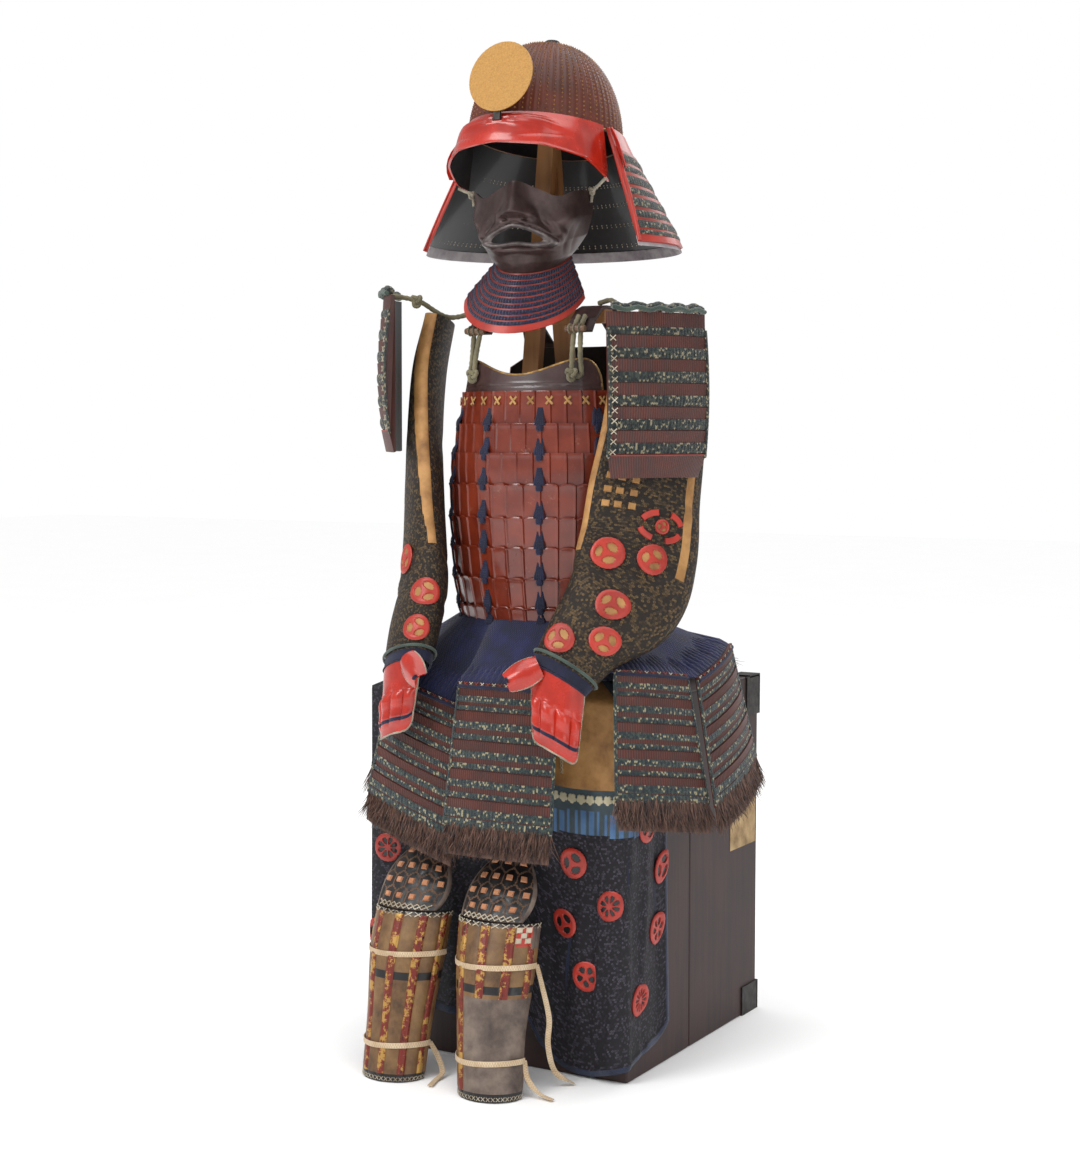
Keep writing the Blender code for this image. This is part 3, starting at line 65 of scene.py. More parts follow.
FLAT_MAP = "flat"
CHEST_FRONT = -0.221
CHEST_SIDE = 0.205
TORSO_CENTRE = np.array((0.005, -0.080))
FACE_TURN = 13.0


# Shapes

def unit(vectors: Array) -> Array:
    """The vectors at length 1."""
    return vectors / np.maximum(np.linalg.norm(vectors, axis=-1, keepdims=True), 1e-12)


def bump(value: Array, centre: float, width: float) -> Array:
    """A smooth bump of height 1 about a centre: exp(-((value - centre) / width)^2)."""
    return np.exp(-(((np.asarray(value, float) - centre) / width) ** 2))


def oval(half_width: Array, half_depth: Array, degrees: Array) -> Array:
    """Plan points of an ellipse at angles from the front: (half_width * sin, -half_depth * cos)."""
    turn = np.radians(degrees)
    return np.stack([half_width * np.sin(turn), -half_depth * np.cos(turn)], -1)


def facing(degrees: float) -> tuple[Array, Array]:
    """The level unit vectors along a piece that faces that way, and out of it."""
    turn = math.radians(degrees)
    return np.array((math.cos(turn), math.sin(turn), 0.0)), np.array((math.sin(turn), -math.cos(turn), 0.0))


def curve_rows(table: Array, spots: Array) -> Array:
    """Rows of a table on the Catmull-Rom curve through its rows.

    Args:
        table: one row of values for each station.
        spots: stations, whole or part, counted from 0.

    Returns:
        One row of values for each spot.
    """
    table = np.asarray(table, float)
    padded = np.vstack([2 * table[0] - table[1], table, 2 * table[-1] - table[-2]])
    start = np.clip(np.asarray(spots, float).astype(int), 0, len(table) - 2)
    t = (np.asarray(spots, float) - start)[:, None]
    p0, p1, p2, p3 = (padded[start + k] for k in range(4))
    return 0.5 * (2 * p1 + (p2 - p0) * t + (2 * p0 - 5 * p1 + 4 * p2 - p3) * t ** 2
                  + (3 * p1 - p0 - 3 * p2 + p3) * t ** 3)


def route(points: Sequence, spacing: float) -> Array:
    """Evenly spaced points on a smooth curve through a route's own points."""
    table = np.array([tuple(point) for point in points], float)
    fine = curve_rows(table, np.linspace(0, len(table) - 1, 24 * (len(table) - 1) + 1))
    along = np.concatenate([[0.0], np.cumsum(np.linalg.norm(np.diff(fine, axis=0), axis=1))])
    wanted = np.linspace(0, along[-1], max(3, round(along[-1] / spacing)) + 1)
    return np.stack([np.interp(wanted, along, fine[:, axis]) for axis in range(3)], 1)


def length_of(path: Array) -> float:
    """A path's length."""
    return float(np.linalg.norm(np.diff(path, axis=0), axis=1).sum())


def cells_of(grid: Array) -> Array:
    """The four corners of each cell of a grid, in order round it."""
    return np.stack([grid[:-1, :-1], grid[1:, :-1], grid[1:, 1:], grid[:-1, 1:]], 2)


def creases(across: Array, down: Array, table: Sequence[tuple[float, ...]]) -> Array:
    """Soft troughs and ridges. Each has a place across and down, its slant, width, length and height."""
    relief = np.zeros(np.broadcast(across, down).shape)
    for x, y, slant, wide, long, height in table:
        line = down - y - slant * (across - x)
        relief = relief + height * np.exp(-((line / wide) ** 2) - (((across - x) / long) ** 2))
    return relief


def side_word(side: int) -> str:
    """The wearer's side in the pieces' names."""
    return "left" if side > 0 else "right"


def on_side(grid: Array, side: int) -> Array:
    """A grid of the wearer's left, or its mirror image on the right with the columns turned round."""
    return grid if side > 0 else grid[:, ::-1] * np.array((-1.0, 1.0, 1.0))


def placed(name: str, data: bpy.types.ID) -> bpy.types.Object:
    """A new object of the scene with that mesh, camera or light."""
    thing = bpy.data.objects.new(name, data)
    bpy.context.scene.collection.objects.link(thing)
    return thing


class Ground:
    """A surface to work on, such as a panel of cloth: a grid of points with normals and flat sizes."""

    def __init__(self, points: Array, closed: bool = False) -> None:
        """Args:
            points: rows by columns by 3.
            closed: whether the last column meets the first.
        """
        self.closed = closed
        self.points = np.concatenate([points, points[:, :1]], axis=1) if closed else points
        across = np.gradient(self.points, axis=1)
        if closed:
            across[:, 0] = across[:, -1] = (points[:, 1] - points[:, -1]) / 2
        self.normals = unit(np.cross(np.gradient(self.points, axis=0), across))
        self.width = float(np.linalg.norm(np.diff(self.points, axis=1), axis=2).sum(1).mean())
        self.height = float(np.linalg.norm(np.diff(self.points, axis=0), axis=2).sum(0).mean())

    def sample(self, across: Array, down: Array) -> tuple[Array, Array]:
        """Points and normals at parts of the width and the height, from 0 to 1, between the grid's points."""
        rows, columns = self.points.shape[:2]
        across, down = np.broadcast_arrays(np.asarray(across, float), np.asarray(down, float))
        across = across % 1.0 if self.closed else np.clip(across, 0, 1)
        x = across * (columns - 1)
        y = np.clip(down, 0, 1) * (rows - 1)
        i = np.minimum(x.astype(int), columns - 2)
        j = np.minimum(y.astype(int), rows - 2)
        s = (x - i)[..., None]
        t = (y - j)[..., None]
        found = []
        for grid in (self.points, self.normals):
            upper = grid[j, i] * (1 - s) + grid[j, i + 1] * s
            lower = grid[j + 1, i] * (1 - s) + grid[j + 1, i + 1] * s
            found.append(upper * (1 - t) + lower * t)
        return found[0], unit(found[1])

    def at(self, across: Array, down: Array, lift: Array = 0.0) -> Array:
        """Points that stand that far out from the surface."""
        points, normals = self.sample(across, down)
        return points + normals * np.broadcast_to(np.asarray(lift, float), points.shape[:-1])[..., None]


class Skin:
    """Gathers surfaces into one mesh, with flat coordinates in metres and a finish for each face."""

    def __init__(self) -> None:
        """Starts empty."""
        self.points: list[Array] = []
        self.faces: list[tuple[Array, Array, Array]] = []
        self.count = 0

    def add_points(self, points: Array) -> Array:
        """Adds points, and gives back their indices in the same rows and columns."""
        index = np.arange(points[..., 0].size).reshape(points.shape[:-1]) + self.count
        self.points.append(points.reshape(-1, 3))
        self.count += index.size
        return index

    def add_faces(self, faces: Array, flat: Array, finish: Array) -> None:
        """Adds faces with a flat place for each of their corners, or 0 for none, and their finish."""
        corners = faces.shape[-1]
        flat = np.broadcast_to(flat, (*faces.shape, 2)).reshape(-1, corners, 2)
        finish = np.broadcast_to(np.asarray(finish, int), faces.shape[:-1]).reshape(-1)
        self.faces.append((faces.reshape(-1, corners), flat, finish))

    def grid(self, points: Array, flat: Array, finish: Array = 0, closed: bool = False) -> Array:
        """Adds a surface.

        Args:
            points: rows by columns by 3.
            flat: rows by columns by 2, and one column more where the surface is closed.
            finish: the material's index, or one for each cell.
            closed: whether the last column meets the first.

        Returns:
            The indices of its points, with the first column again at the end where it is closed.
        """
        index = self.add_points(points)
        if closed:
            index = np.concatenate([index, index[:, :1]], axis=1)
        self.add_faces(cells_of(index), cells_of(flat), finish)
        return index

    def seam(self, outer: Array, inner: Array, flat: Array, finish: int) -> None:
        """Closes the edge between two runs of points; the inner one has a whole fraction of the steps."""
        ratio = (len(outer) - 1) // (len(inner) - 1)
        step = np.arange(len(outer) - 1)
        fans = np.stack([outer[:-1], outer[1:], inner[step // ratio]], -1)
        self.add_faces(fans, np.stack([flat[:-1], flat[1:], flat[:-1]], -2), finish)
        ends = np.arange(1, len(inner)) * ratio
        caps = np.stack([outer[ends], inner[1:], inner[:-1]], -1)
        self.add_faces(caps, np.stack([flat[ends], flat[ends], flat[ends - ratio]], -2), finish)

    def cap(self, ring: Array, centre: Array, flat: Array, finish: int, turned: bool = False) -> None:
        """Closes a ring of points with a fan round a point."""
        middle = self.add_points(centre.reshape(1, 3))[0]
        fan = np.stack([ring[:-1], ring[1:], np.full(len(ring) - 1, middle)], -1)
        self.add_faces(fan[:, ::-1] if turned else fan, flat, finish)

    def shell(self, ground: Ground, rows: Array, columns: Array, relief: Array, wall: float,
              finish: Array = 0, lining: int = 0, coarse: tuple[int, int] = (1, 1)) -> None:
        """A closed wall on a ground: its outer face has the relief, and its inner face is plain and coarser.

        Args:
            ground: the surface of the inner face.
            rows: the parts of the height, from 0 to 1.
            columns: the parts of the width, from 0 to 1; a closed ground's run from 0 to 1 as well.
            relief: how far each point of the outer face stands outside the wall, rows by columns.
            wall: the wall's thickness.
            finish: the outer faces' material index or indices.
            lining: the inner faces' material index.
            coarse: the inner face keeps each such row and column.
        """
        flat = np.stack(np.meshgrid(columns * ground.width, rows * ground.height), -1)
        outer = ground.at(columns[None, :], rows[:, None], wall + relief)
        inner = ground.at(columns[None, :: coarse[1]], rows[:: coarse[0], None], 0.0)
        if ground.closed:
            outer = outer[:, :-1]
            inner = inner[:, :-1]
        out_index = self.grid(outer, flat, finish, ground.closed)
        in_index = self.grid(inner, flat[:: coarse[0], :: coarse[1]], lining, ground.closed)
        edge, low_edge = (int(np.asarray(finish).reshape(-1)[corner]) for corner in (0, -1))
        self.seam(out_index[0], in_index[0], flat[0], edge)
        self.seam(out_index[-1], in_index[-1], flat[-1], low_edge)
        if not ground.closed:
            self.seam(out_index[:, 0], in_index[:, 0], flat[:, 0], edge)
            self.seam(out_index[:, -1], in_index[:, -1], flat[:, -1], edge)

    def strip(self, path: Array, width: float, thickness: float, finish: int = 0,
              outward: Array | None = None, sides: int = 8, square: float = 1.0, lobes: float = 0.0,
              pitch: float = 0.012, taper: Array | None = None) -> None:
        """A closed strap, tape, rod or rope along a path.

        The section is a superellipse: side * |cos|^square and out * |sin|^square, scaled by the taper.
        A rope's section is drawn in between two lobes that turn once in a pitch.

        Args:
            path: the points along its middle.
            width: across, square to the outward direction.
            thickness: along the outward direction.
            finish: the material's index.
            outward: the direction of its broad face at each point, or one that its path never takes.
            sides: corners of the section.
            square: 1 for round, nearer 0 for flat with tight edges.
            lobes: how deep a rope's grooves are, as a part of its radius.
            pitch: the length of one turn of a rope's strands.
            taper: the section's scale at each point.
        """
        tangent = unit(np.gradient(path, axis=0))
        if outward is None:
            outward = np.eye(3)[int(np.argmin(np.abs(tangent).mean(0)))]
        side = unit(np.cross(tangent, np.broadcast_to(np.asarray(outward, float), path.shape)))
        out = np.cross(side, tangent)
        turn = np.linspace(0, 2 * math.pi, sides, endpoint=False)
        along = np.concatenate([[0.0], np.cumsum(np.linalg.norm(np.diff(path, axis=0), axis=1))])
        x, y = (np.sign(wave) * np.abs(wave) ** square * size / 2
                for wave, size in ((np.cos(turn), width), (np.sin(turn), thickness)))
        scale = np.ones((len(path), sides))
        if lobes:
            scale -= lobes * (1 - np.abs(np.cos(turn[None, :] + along[:, None] * 2 * math.pi / pitch)))
        if taper is not None:
            scale = scale * np.asarray(taper, float)[:, None]
        points = (path[:, None] + side[:, None] * (x * scale)[..., None]
                  + out[:, None] * (y * scale)[..., None])
        girth = (width + thickness) * 1.57
        flat = np.stack(np.meshgrid(np.linspace(0, girth, sides + 1), along), -1)
        index = self.grid(points, flat, finish, closed=True)
        for row in (0, -1):
            places = np.stack([flat[row, :-1], flat[row, 1:], flat[row, :-1]], -2)
            self.cap(index[row], path[row], places, finish, turned=row == 0)

    def along(self, ground: Ground, across: Array, down: Array, lift: float, width: float, thickness: float,
              finish: int, **section: object) -> None:
        """A strip along places on a ground, with its broad face outwards."""
        outward = ground.sample(across, down)[1]
        self.strip(ground.at(across, down, lift), width, thickness, finish, outward=outward, **section)

    def pierced(self, ground: Ground, wall: float, keep: Array, finish: Array, lining: int) -> None:
        """A closed wall with holes: its outer face is the ground, and each cell stays or is left out.

        Args:
            ground: the surface of the outer face.
            wall: the wall's thickness, inwards.
            keep: which cells stay.
            finish: the outer faces' material indices.
            lining: the inner faces' material index.
        """
        rows, columns = ground.points.shape[:2]
        flat = np.stack(np.meshgrid(np.linspace(0, ground.width, columns),
                                    np.linspace(0, ground.height, rows)), -1)
        outer, inner = self.add_points(np.stack([ground.points, ground.points - ground.normals * wall]))
        self.add_faces(cells_of(outer)[keep], cells_of(flat)[keep], finish[keep])
        self.add_faces(cells_of(inner)[keep], cells_of(flat)[keep], lining)
        framed = np.pad(keep, 1).astype(int)
        for axis in (1, 0):
            edge = np.diff(framed[1:-1] if axis else framed[:, 1:-1], axis=axis) != 0
            (a, b), (c, d), (e, f) = ([part[edge] for part in ((grid[:-1], grid[1:]) if axis
                                                              else (grid[:, :-1], grid[:, 1:]))]
                                      for grid in (outer, inner, flat))
            self.add_faces(np.stack([a, b, d, c], -1), np.stack([e, f, f, e], -2), lining)

    def rods(self, paths: Array, radii: Array, finish: int) -> None:
        """Many three-sided rods at once, such as locks of hair or stitches.

        Args:
            paths: rods by points by 3.
            radii: the radius at each point along a rod.
            finish: the material's index.
        """
        tangent = unit(np.gradient(paths, axis=1))
        side = unit(np.cross(tangent, np.array((0.31, 0.22, 0.92))))
        out = np.cross(side, tangent)
        turn = np.array((0.0, 2.094, 4.189))
        spread = side[:, :, None] * np.cos(turn)[:, None] + out[:, :, None] * np.sin(turn)[:, None]
        index = self.add_points(paths[:, :, None] + spread * radii[None, :, None, None])
        along = np.concatenate([[0.0], np.cumsum(np.linalg.norm(np.diff(paths, axis=1), axis=2).mean(0))])
        ends = np.stack([along[:-1], along[1:], along[1:], along[:-1]], -1)
        places = np.stack([np.broadcast_to((0.0, 0.0, 0.001, 0.001), ends.shape), ends], -1)
        for near, far in ((0, 1), (1, 2), (2, 0)):
            faces = np.stack([index[:, :-1, near], index[:, 1:, near], index[:, 1:, far],
                              index[:, :-1, far]], -1)
            self.add_faces(faces, places, finish)
        for row, order in ((0, (0, 2, 1)), (-1, (0, 1, 2))):
            self.add_faces(index[:, row][:, order], 0.0, finish)

    def local(self, ground: Ground, across: float, down: float, x: Array, y: Array, lift: Array) -> Array:
        """Points x and y metres across and down from a place on a ground, that far out from it."""
        step = 0.01
        sizes = []
        for u, v in ((step, 0.0), (0.0, step)):
            ends = ground.at(across + np.array((u, -u)), down + np.array((v, -v)))
            sizes.append(max(np.linalg.norm(ends[0] - ends[1]) / (2 * step), 1e-3))
        return ground.at(across + x / sizes[0], down + y / sizes[1], lift)

    def block(self, base: Array, top: Array, finish: int) -> None:
        """A closed block between two rings of corners."""
        low, high = self.add_points(np.stack([base, top]))
        self.add_faces(np.stack([low, np.roll(low, -1), np.roll(high, -1), high], -1), 0.0, finish)
        self.add_faces(np.stack([low[::-1], high]), 0.0, finish)

    def tiles(self, ground: Ground, across: Array, down: Array, half: tuple[float, float],
              low: float, high: float, finish: int) -> None:
        """Small square plates with sloping sides, from the low to the high distance out of the ground."""
        x = np.array((-1, 1, 1, -1)) * half[0]
        y = np.array((-1, -1, 1, 1)) * half[1]
        for a, d in zip(across, down):
            base = self.local(ground, a, d, x, y, low)
            self.block(base, self.local(ground, a, d, x * 0.74, y * 0.74, high), finish)

    def petals(self, ground: Ground, across: Array, down: float, radius: float, lift: float,
               finish: int) -> None:
        """A row of small five-petalled appliques."""
        angle = np.linspace(0, 2 * math.pi, 30, endpoint=False)
        reach = radius * (0.72 + 0.28 * np.abs(np.cos(2.5 * angle)) ** 0.6)
        x, y = reach * np.sin(angle), reach * np.cos(angle)
        for a in across:
            base = self.local(ground, a, down, x, y, lift - 0.0008)
            self.block(base, self.local(ground, a, down, x * 0.86, y * 0.86, lift + 0.0006), finish)

    def disc(self, ground: Ground, disc: Disc, lift: float, finish: int, dark: int) -> None:
        """A round plate on a ground, with a stitched rim, a domed face and an oval opening for each petal.

        The radius is R * (1 + 0.012 cos 24a). An opening is an oval round 0.47 R, 0.50 R long, in its sector.
        """
        angle = np.linspace(0, 2 * math.pi, 97)
        reach = np.array((0.06, 0.14, 0.20, 0.25, 0.31, 0.38, 0.47, 0.56, 0.63, 0.69, 0.74, 0.80, 0.88,
                          0.95, 1.0, 0.97))[:, None]
        wavy = 1 + 0.012 * np.cos(24 * angle)
        sector = 2 * math.pi / disc.petals
        part = ((angle - math.radians(disc.turn)) % sector) / sector - 0.5
        hollow = np.hypot(part / 0.37, (reach - 0.47) / 0.25) < 1.0
        height = (lift + 0.0014 + 0.0012 * (1 - reach ** 2) - 0.0016 * hollow
                  + 0.0005 * bump(reach, 0.80, 0.06))
        height[-2] = lift + 0.0006
        height[-1] = lift - 0.0012
        x = reach * wavy * disc.radius * np.sin(angle)
        y = -reach * wavy * disc.radius * np.cos(angle)
        points = self.local(ground, disc.across, disc.down, x, y, height)
        cells = np.where(hollow[:-1, :-1] & hollow[1:, 1:], dark, finish)
        index = self.grid(points[:, :-1], np.stack([x, y], -1), cells, closed=True)
        for row, middle in ((0, lift + 0.0026), (-1, lift - 0.0012)):
            centre = self.local(ground, disc.across, disc.down, np.zeros(1), np.zeros(1), middle)
            self.cap(index[row], centre, 0.0, finish)

    def build(self, name: str, finishes: Sequence[Material], slot: str, replaces: Sequence[str] = (),
              smooth: float = 42.0) -> bpy.types.Object:
        """Makes the mesh, turns its faces out, and puts it on the body.

        Args:
            name: the piece's name.
            finishes: its materials, in the order of the faces' indices.
            slot: a material slot's name; not used.
            replaces: the solids that it stands for.
            smooth: the angle in degrees under which two faces shade as one.

        Returns:
            The piece.
        """
        mesh = bpy.data.meshes.new(name)
        points = np.concatenate(self.points).astype(np.float32)
        sizes = np.concatenate([np.full(len(faces), faces.shape[1]) for faces, _, _ in self.faces])
        corners = np.concatenate([faces.reshape(-1) for faces, _, _ in self.faces])
        flat = np.concatenate([places.reshape(-1, 2) for _, places, _ in self.faces])
        kinds = np.concatenate([finish for _, _, finish in self.faces])
        mesh.vertices.add(len(points))
        mesh.vertices.foreach_set("co", points.reshape(-1))
        mesh.loops.add(len(corners))
        mesh.loops.foreach_set("vertex_index", corners.astype(np.int32))
        mesh.polygons.add(len(sizes))
        mesh.polygons.foreach_set("loop_start", np.concatenate([[0], np.cumsum(sizes)[:-1]]).astype(np.int32))
        mesh.polygons.foreach_set("material_index", kinds.astype(np.int32))
        mesh.uv_layers.new(name=FLAT_MAP).uv.foreach_set("vector", flat.astype(np.float32).reshape(-1))
        mesh.update(calc_edges=True)
        mesh.validate()
        shape = bmesh.new()
        shape.from_mesh(mesh)
        bmesh.ops.recalc_face_normals(shape, faces=shape.faces)
        shape.to_mesh(mesh)
        shape.free()
        mesh.shade_smooth()
        mesh.set_sharp_from_angle(angle=math.radians(smooth))
        for finish in finishes:
            mesh.materials.append(finish)
        piece = placed(name, mesh)
        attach(piece, "root")
        if replaces:
            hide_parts(*replaces)
        log.info("%s: %d faces", name, len(sizes))
        return piece


# Finishes

def linear(colour: str) -> tuple[float, float, float, float]:
    """An sRGB hex colour as linear red, green, blue and alpha."""
    parts = [int(colour[i:i + 2], 16) / 255 for i in (1, 3, 5)]
    return (*[p / 12.92 if p <= 0.04045 else ((p + 0.055) / 1.055) ** 2.4 for p in parts], 1.0)


class Graph:
    """A new material, whose nodes are added one at a time. Each method gives back the new node's output."""

    def __init__(self, name: str) -> None:
        """Starts with an output and nothing else."""
        self.material = bpy.data.materials.new(name)
        self.material.use_nodes = True
        self.tree = self.material.node_tree
        self.tree.nodes.clear()
        self.output = self.tree.nodes.new("ShaderNodeOutputMaterial")

    def add(self, kind: str, inputs: dict | None = None, out: int | str = 0,
            **settings: object) -> NodeSocket:
        """Adds one node.

        Args:
            kind: its type, without the words ShaderNode.
            inputs: a value, an sRGB hex colour or another node's output for each input.
            out: which output to give back.
            settings: its own settings.

        Returns:
            The output.
        """
        node = self.tree.nodes.new(f"ShaderNode{kind}")
        for key, value in settings.items():
            setattr(node, key, value)
        for key, value in (inputs or {}).items():
            if isinstance(value, NodeSocket):
                self.tree.links.new(value, node.inputs[key])
            else:
                node.inputs[key].default_value = linear(value) if isinstance(value, str) else value
        return node.outputs[out]

    def place(self) -> NodeSocket:
        """The point in the piece's own metres."""
        return self.add("TexCoord", out="Object")

    def flat(self) -> NodeSocket:
        """The point's flat place."""
        return self.add("UVMap", uv_map=FLAT_MAP)

    def axis(self, vector: NodeSocket, name: str) -> NodeSocket:
        """One axis of a vector."""
        return self.add("SeparateXYZ", {"Vector": vector}, name)

    def math(self, operation: str, *values: object) -> NodeSocket:
        """One step of arithmetic."""
        return self.add("Math", dict(enumerate(values)), operation=operation)

    def noise(self, place: NodeSocket, scale: float, detail: float = 2.0,
              roughness: float = 0.5) -> NodeSocket:
        """Noise of that many turns a metre."""
        inputs = {"Vector": place, "Scale": scale, "Detail": detail, "Roughness": roughness}
        return self.add("TexNoise", inputs, "Fac")

    def chance(self, across: NodeSocket, down: NodeSocket) -> NodeSocket:
        """A random value for each pair of whole numbers."""
        seed = self.add("CombineXYZ", {"X": across, "Y": down})
        return self.add("TexWhiteNoise", {"Vector": seed}, "Value", noise_dimensions="2D")

    def spread(self, value: NodeSocket, low: float, high: float, start: float = 0.0,
               end: float = 1.0) -> NodeSocket:
        """A value's own range, from start to end, spread from low to high and held there."""
        inputs = {"Value": value, "From Min": start, "From Max": end, "To Min": low, "To Max": high}
        return self.add("MapRange", inputs)

    def mix(self, share: NodeSocket | float, first: NodeSocket | str, second: NodeSocket | str,
            blend: str = "MIX") -> NodeSocket:
        """Two colours mixed."""
        return self.add("Mix", {0: share, 6: first, 7: second}, 2, data_type="RGBA", blend_type=blend)

    def relief(self, height: NodeSocket, strength: float, distance: float) -> NodeSocket:
        """The normal over a height."""
        return self.add("Bump", {"Height": height, "Strength": strength, "Distance": distance})

    def ramp(self, value: NodeSocket, stops: Sequence[tuple[float, str]], sharp: bool = False) -> NodeSocket:
        """Colours by value, with as many stops as are given."""
        colours = self.add("ValToRGB", {"Fac": value})
        band = colours.node.color_ramp
        band.interpolation = "CONSTANT" if sharp else "LINEAR"
        while len(band.elements) < len(stops):
            band.elements.new(0.5)
        for element, (place, colour) in zip(band.elements, stops):
            element.position = place
            element.color = linear(colour)
        return colours

    def close(self, **inputs: object) -> Material:
        """Ends with the Principled shader, whose sockets are named with _ for a space."""
        named = {key.replace("_", " "): value for key, value in inputs.items()}
        self.tree.links.new(self.add("BsdfPrincipled", named), self.output.inputs["Surface"])
        return self.material


@dataclass(frozen=True)
class Lacquer:
    """Urushi lacquer over iron or hide, brushed in coats and polished: a little uneven, worn to specks."""

    name: str
    colour: str
    shade: str
    wear: str
    roughness: float = 0.24
    coat: float = 0.5
    speckle: float = 0.5
    rib: float = 0.0

    def make(self) -> Material:
        """The material; where there are ribs they are scored down the piece at that pitch in metres, with
        painted shade darkening their troughs.
        """
        graph = Graph(self.name)
        place = graph.place()
        cloud = graph.noise(place, 22.0, 4.0, 0.6)
        tone = graph.ramp(cloud, ((0.34, self.shade), (0.62, self.colour)))
        worn = graph.math("MULTIPLY", graph.noise(place, 310.0, 3.0, 0.7), graph.noise(place, 38.0))
        tone = graph.mix(graph.spread(worn, 0.0, self.speckle, 0.39, 0.46), tone, self.wear)
        height = graph.math("MULTIPLY", graph.noise(place, 900.0), 0.12)
        if self.rib:
            turn = graph.math("MULTIPLY", graph.axis(graph.flat(), "X"), 2 * math.pi / self.rib)
            wave = graph.math("SINE", turn)
            height = graph.math("ADD", wave, height)
            # Painted shade: the ribs' troughs are mixed towards near-black #1C0E0C.
            tone = graph.mix(graph.spread(wave, 0.75, 0.0, -1.0, 0.2), tone, "#1C0E0C")
        return graph.close(Base_Color=tone, Normal=graph.relief(height, 0.55, 0.0006), Coat_Weight=self.coat,
                           Roughness=graph.spread(cloud, self.roughness - 0.06, self.roughness + 0.12),
                           Coat_Roughness=0.12)


@dataclass(frozen=True)
class Lacing:
    """Braided silk lace laid side by side: each is a row of V stitches in two or three colours of thread."""

    name: str
    dark: str
    middle: str
    light: str
    light_share: float
    width: float
    stitch: float = 0.0026

    def make(self) -> Material:
        """The material: the lace's number and its V stitch pick each stitch's colour at random."""
        graph = Graph(self.name)
        flat = graph.flat()
        lace = graph.math("MULTIPLY", graph.axis(flat, "X"), 1 / self.width)
        slant = graph.math("ABSOLUTE", graph.math("SUBTRACT", graph.math("FRACT", lace), 0.5))
        row = graph.math("MULTIPLY", graph.axis(flat, "Y"), 1 / self.stitch)
        row = graph.math("MULTIPLY_ADD", slant, 1.4, row)
        pick = graph.chance(graph.math("FLOOR", lace), graph.math("FLOOR", row))
        dark_end = 1 - self.light_share
        stops = ((0.0, self.dark), (dark_end * 0.62, self.middle), (dark_end, self.light))
        tone = graph.ramp(pick, stops, sharp=True)
        fade = graph.spread(graph.noise(flat, 260.0, 3.0), 0.55, 1.25)
        tone = graph.mix(1.0, tone, fade, "MULTIPLY")
        thread = graph.math("SINE", graph.math("MULTIPLY", graph.math("FRACT", row), math.pi))
        return graph.close(Base_Color=tone, Roughness=0.72, Normal=graph.relief(thread, 0.8, 0.0008),
                           Sheen_Weight=0.25, Sheen_Roughness=0.4)


@dataclass(frozen=True)
class Metal:
    """Iron, brass or gilding with a patina: metallic where bare, dull and coloured where stained."""

    name: str
    colour: str
    stain: str
    roughness: float = 0.4
    metallic: float = 0.7
    grain: float = 90.0

    def make(self) -> Material:
        """The material: a stain in clouds, and fine pitting."""
        graph = Graph(self.name)
        place = graph.place()
        cloud = graph.noise(place, self.grain, 5.0, 0.65)
        tone = graph.ramp(cloud, ((0.36, self.stain), (0.60, self.colour)))
        return graph.close(Base_Color=tone, Metallic=self.metallic,
                           Roughness=graph.spread(cloud, self.roughness + 0.15, self.roughness - 0.1),
                           Normal=graph.relief(graph.noise(place, 700.0), 0.25, 0.0005))


@dataclass(frozen=True)
class Cloth:
    """Plain-woven cloth or tape: threads over and under at a pitch, faded in patches, with a soft sheen."""

    name: str
    colour: str
    shade: str
    pitch: float = 0.0016
    sheen: float = 0.3
    rib: float = 1.0

    def make(self) -> Material:
        """The material: a weave on the flat coordinates; the rib widens the threads one way."""
        graph = Graph(self.name)
        flat = graph.flat()
        cloud = graph.noise(graph.place(), 34.0, 4.0, 0.6)
        tone = graph.ramp(cloud, ((0.35, self.shade), (0.65, self.colour)))
        warp = graph.math("MULTIPLY", graph.axis(flat, "X"), math.pi / self.pitch)
        weft = graph.math("MULTIPLY", graph.axis(flat, "Y"), math.pi / (self.pitch * self.rib))
        weave = graph.math("MULTIPLY", graph.math("SINE", warp), graph.math("SINE", weft))
        tone = graph.mix(1.0, tone, graph.spread(weave, 0.72, 1.12, -1.0), "MULTIPLY")
        return graph.close(Base_Color=tone, Roughness=0.85, Normal=graph.relief(weave, 0.5, 0.0005),
                           Sheen_Weight=self.sheen, Sheen_Roughness=0.5)


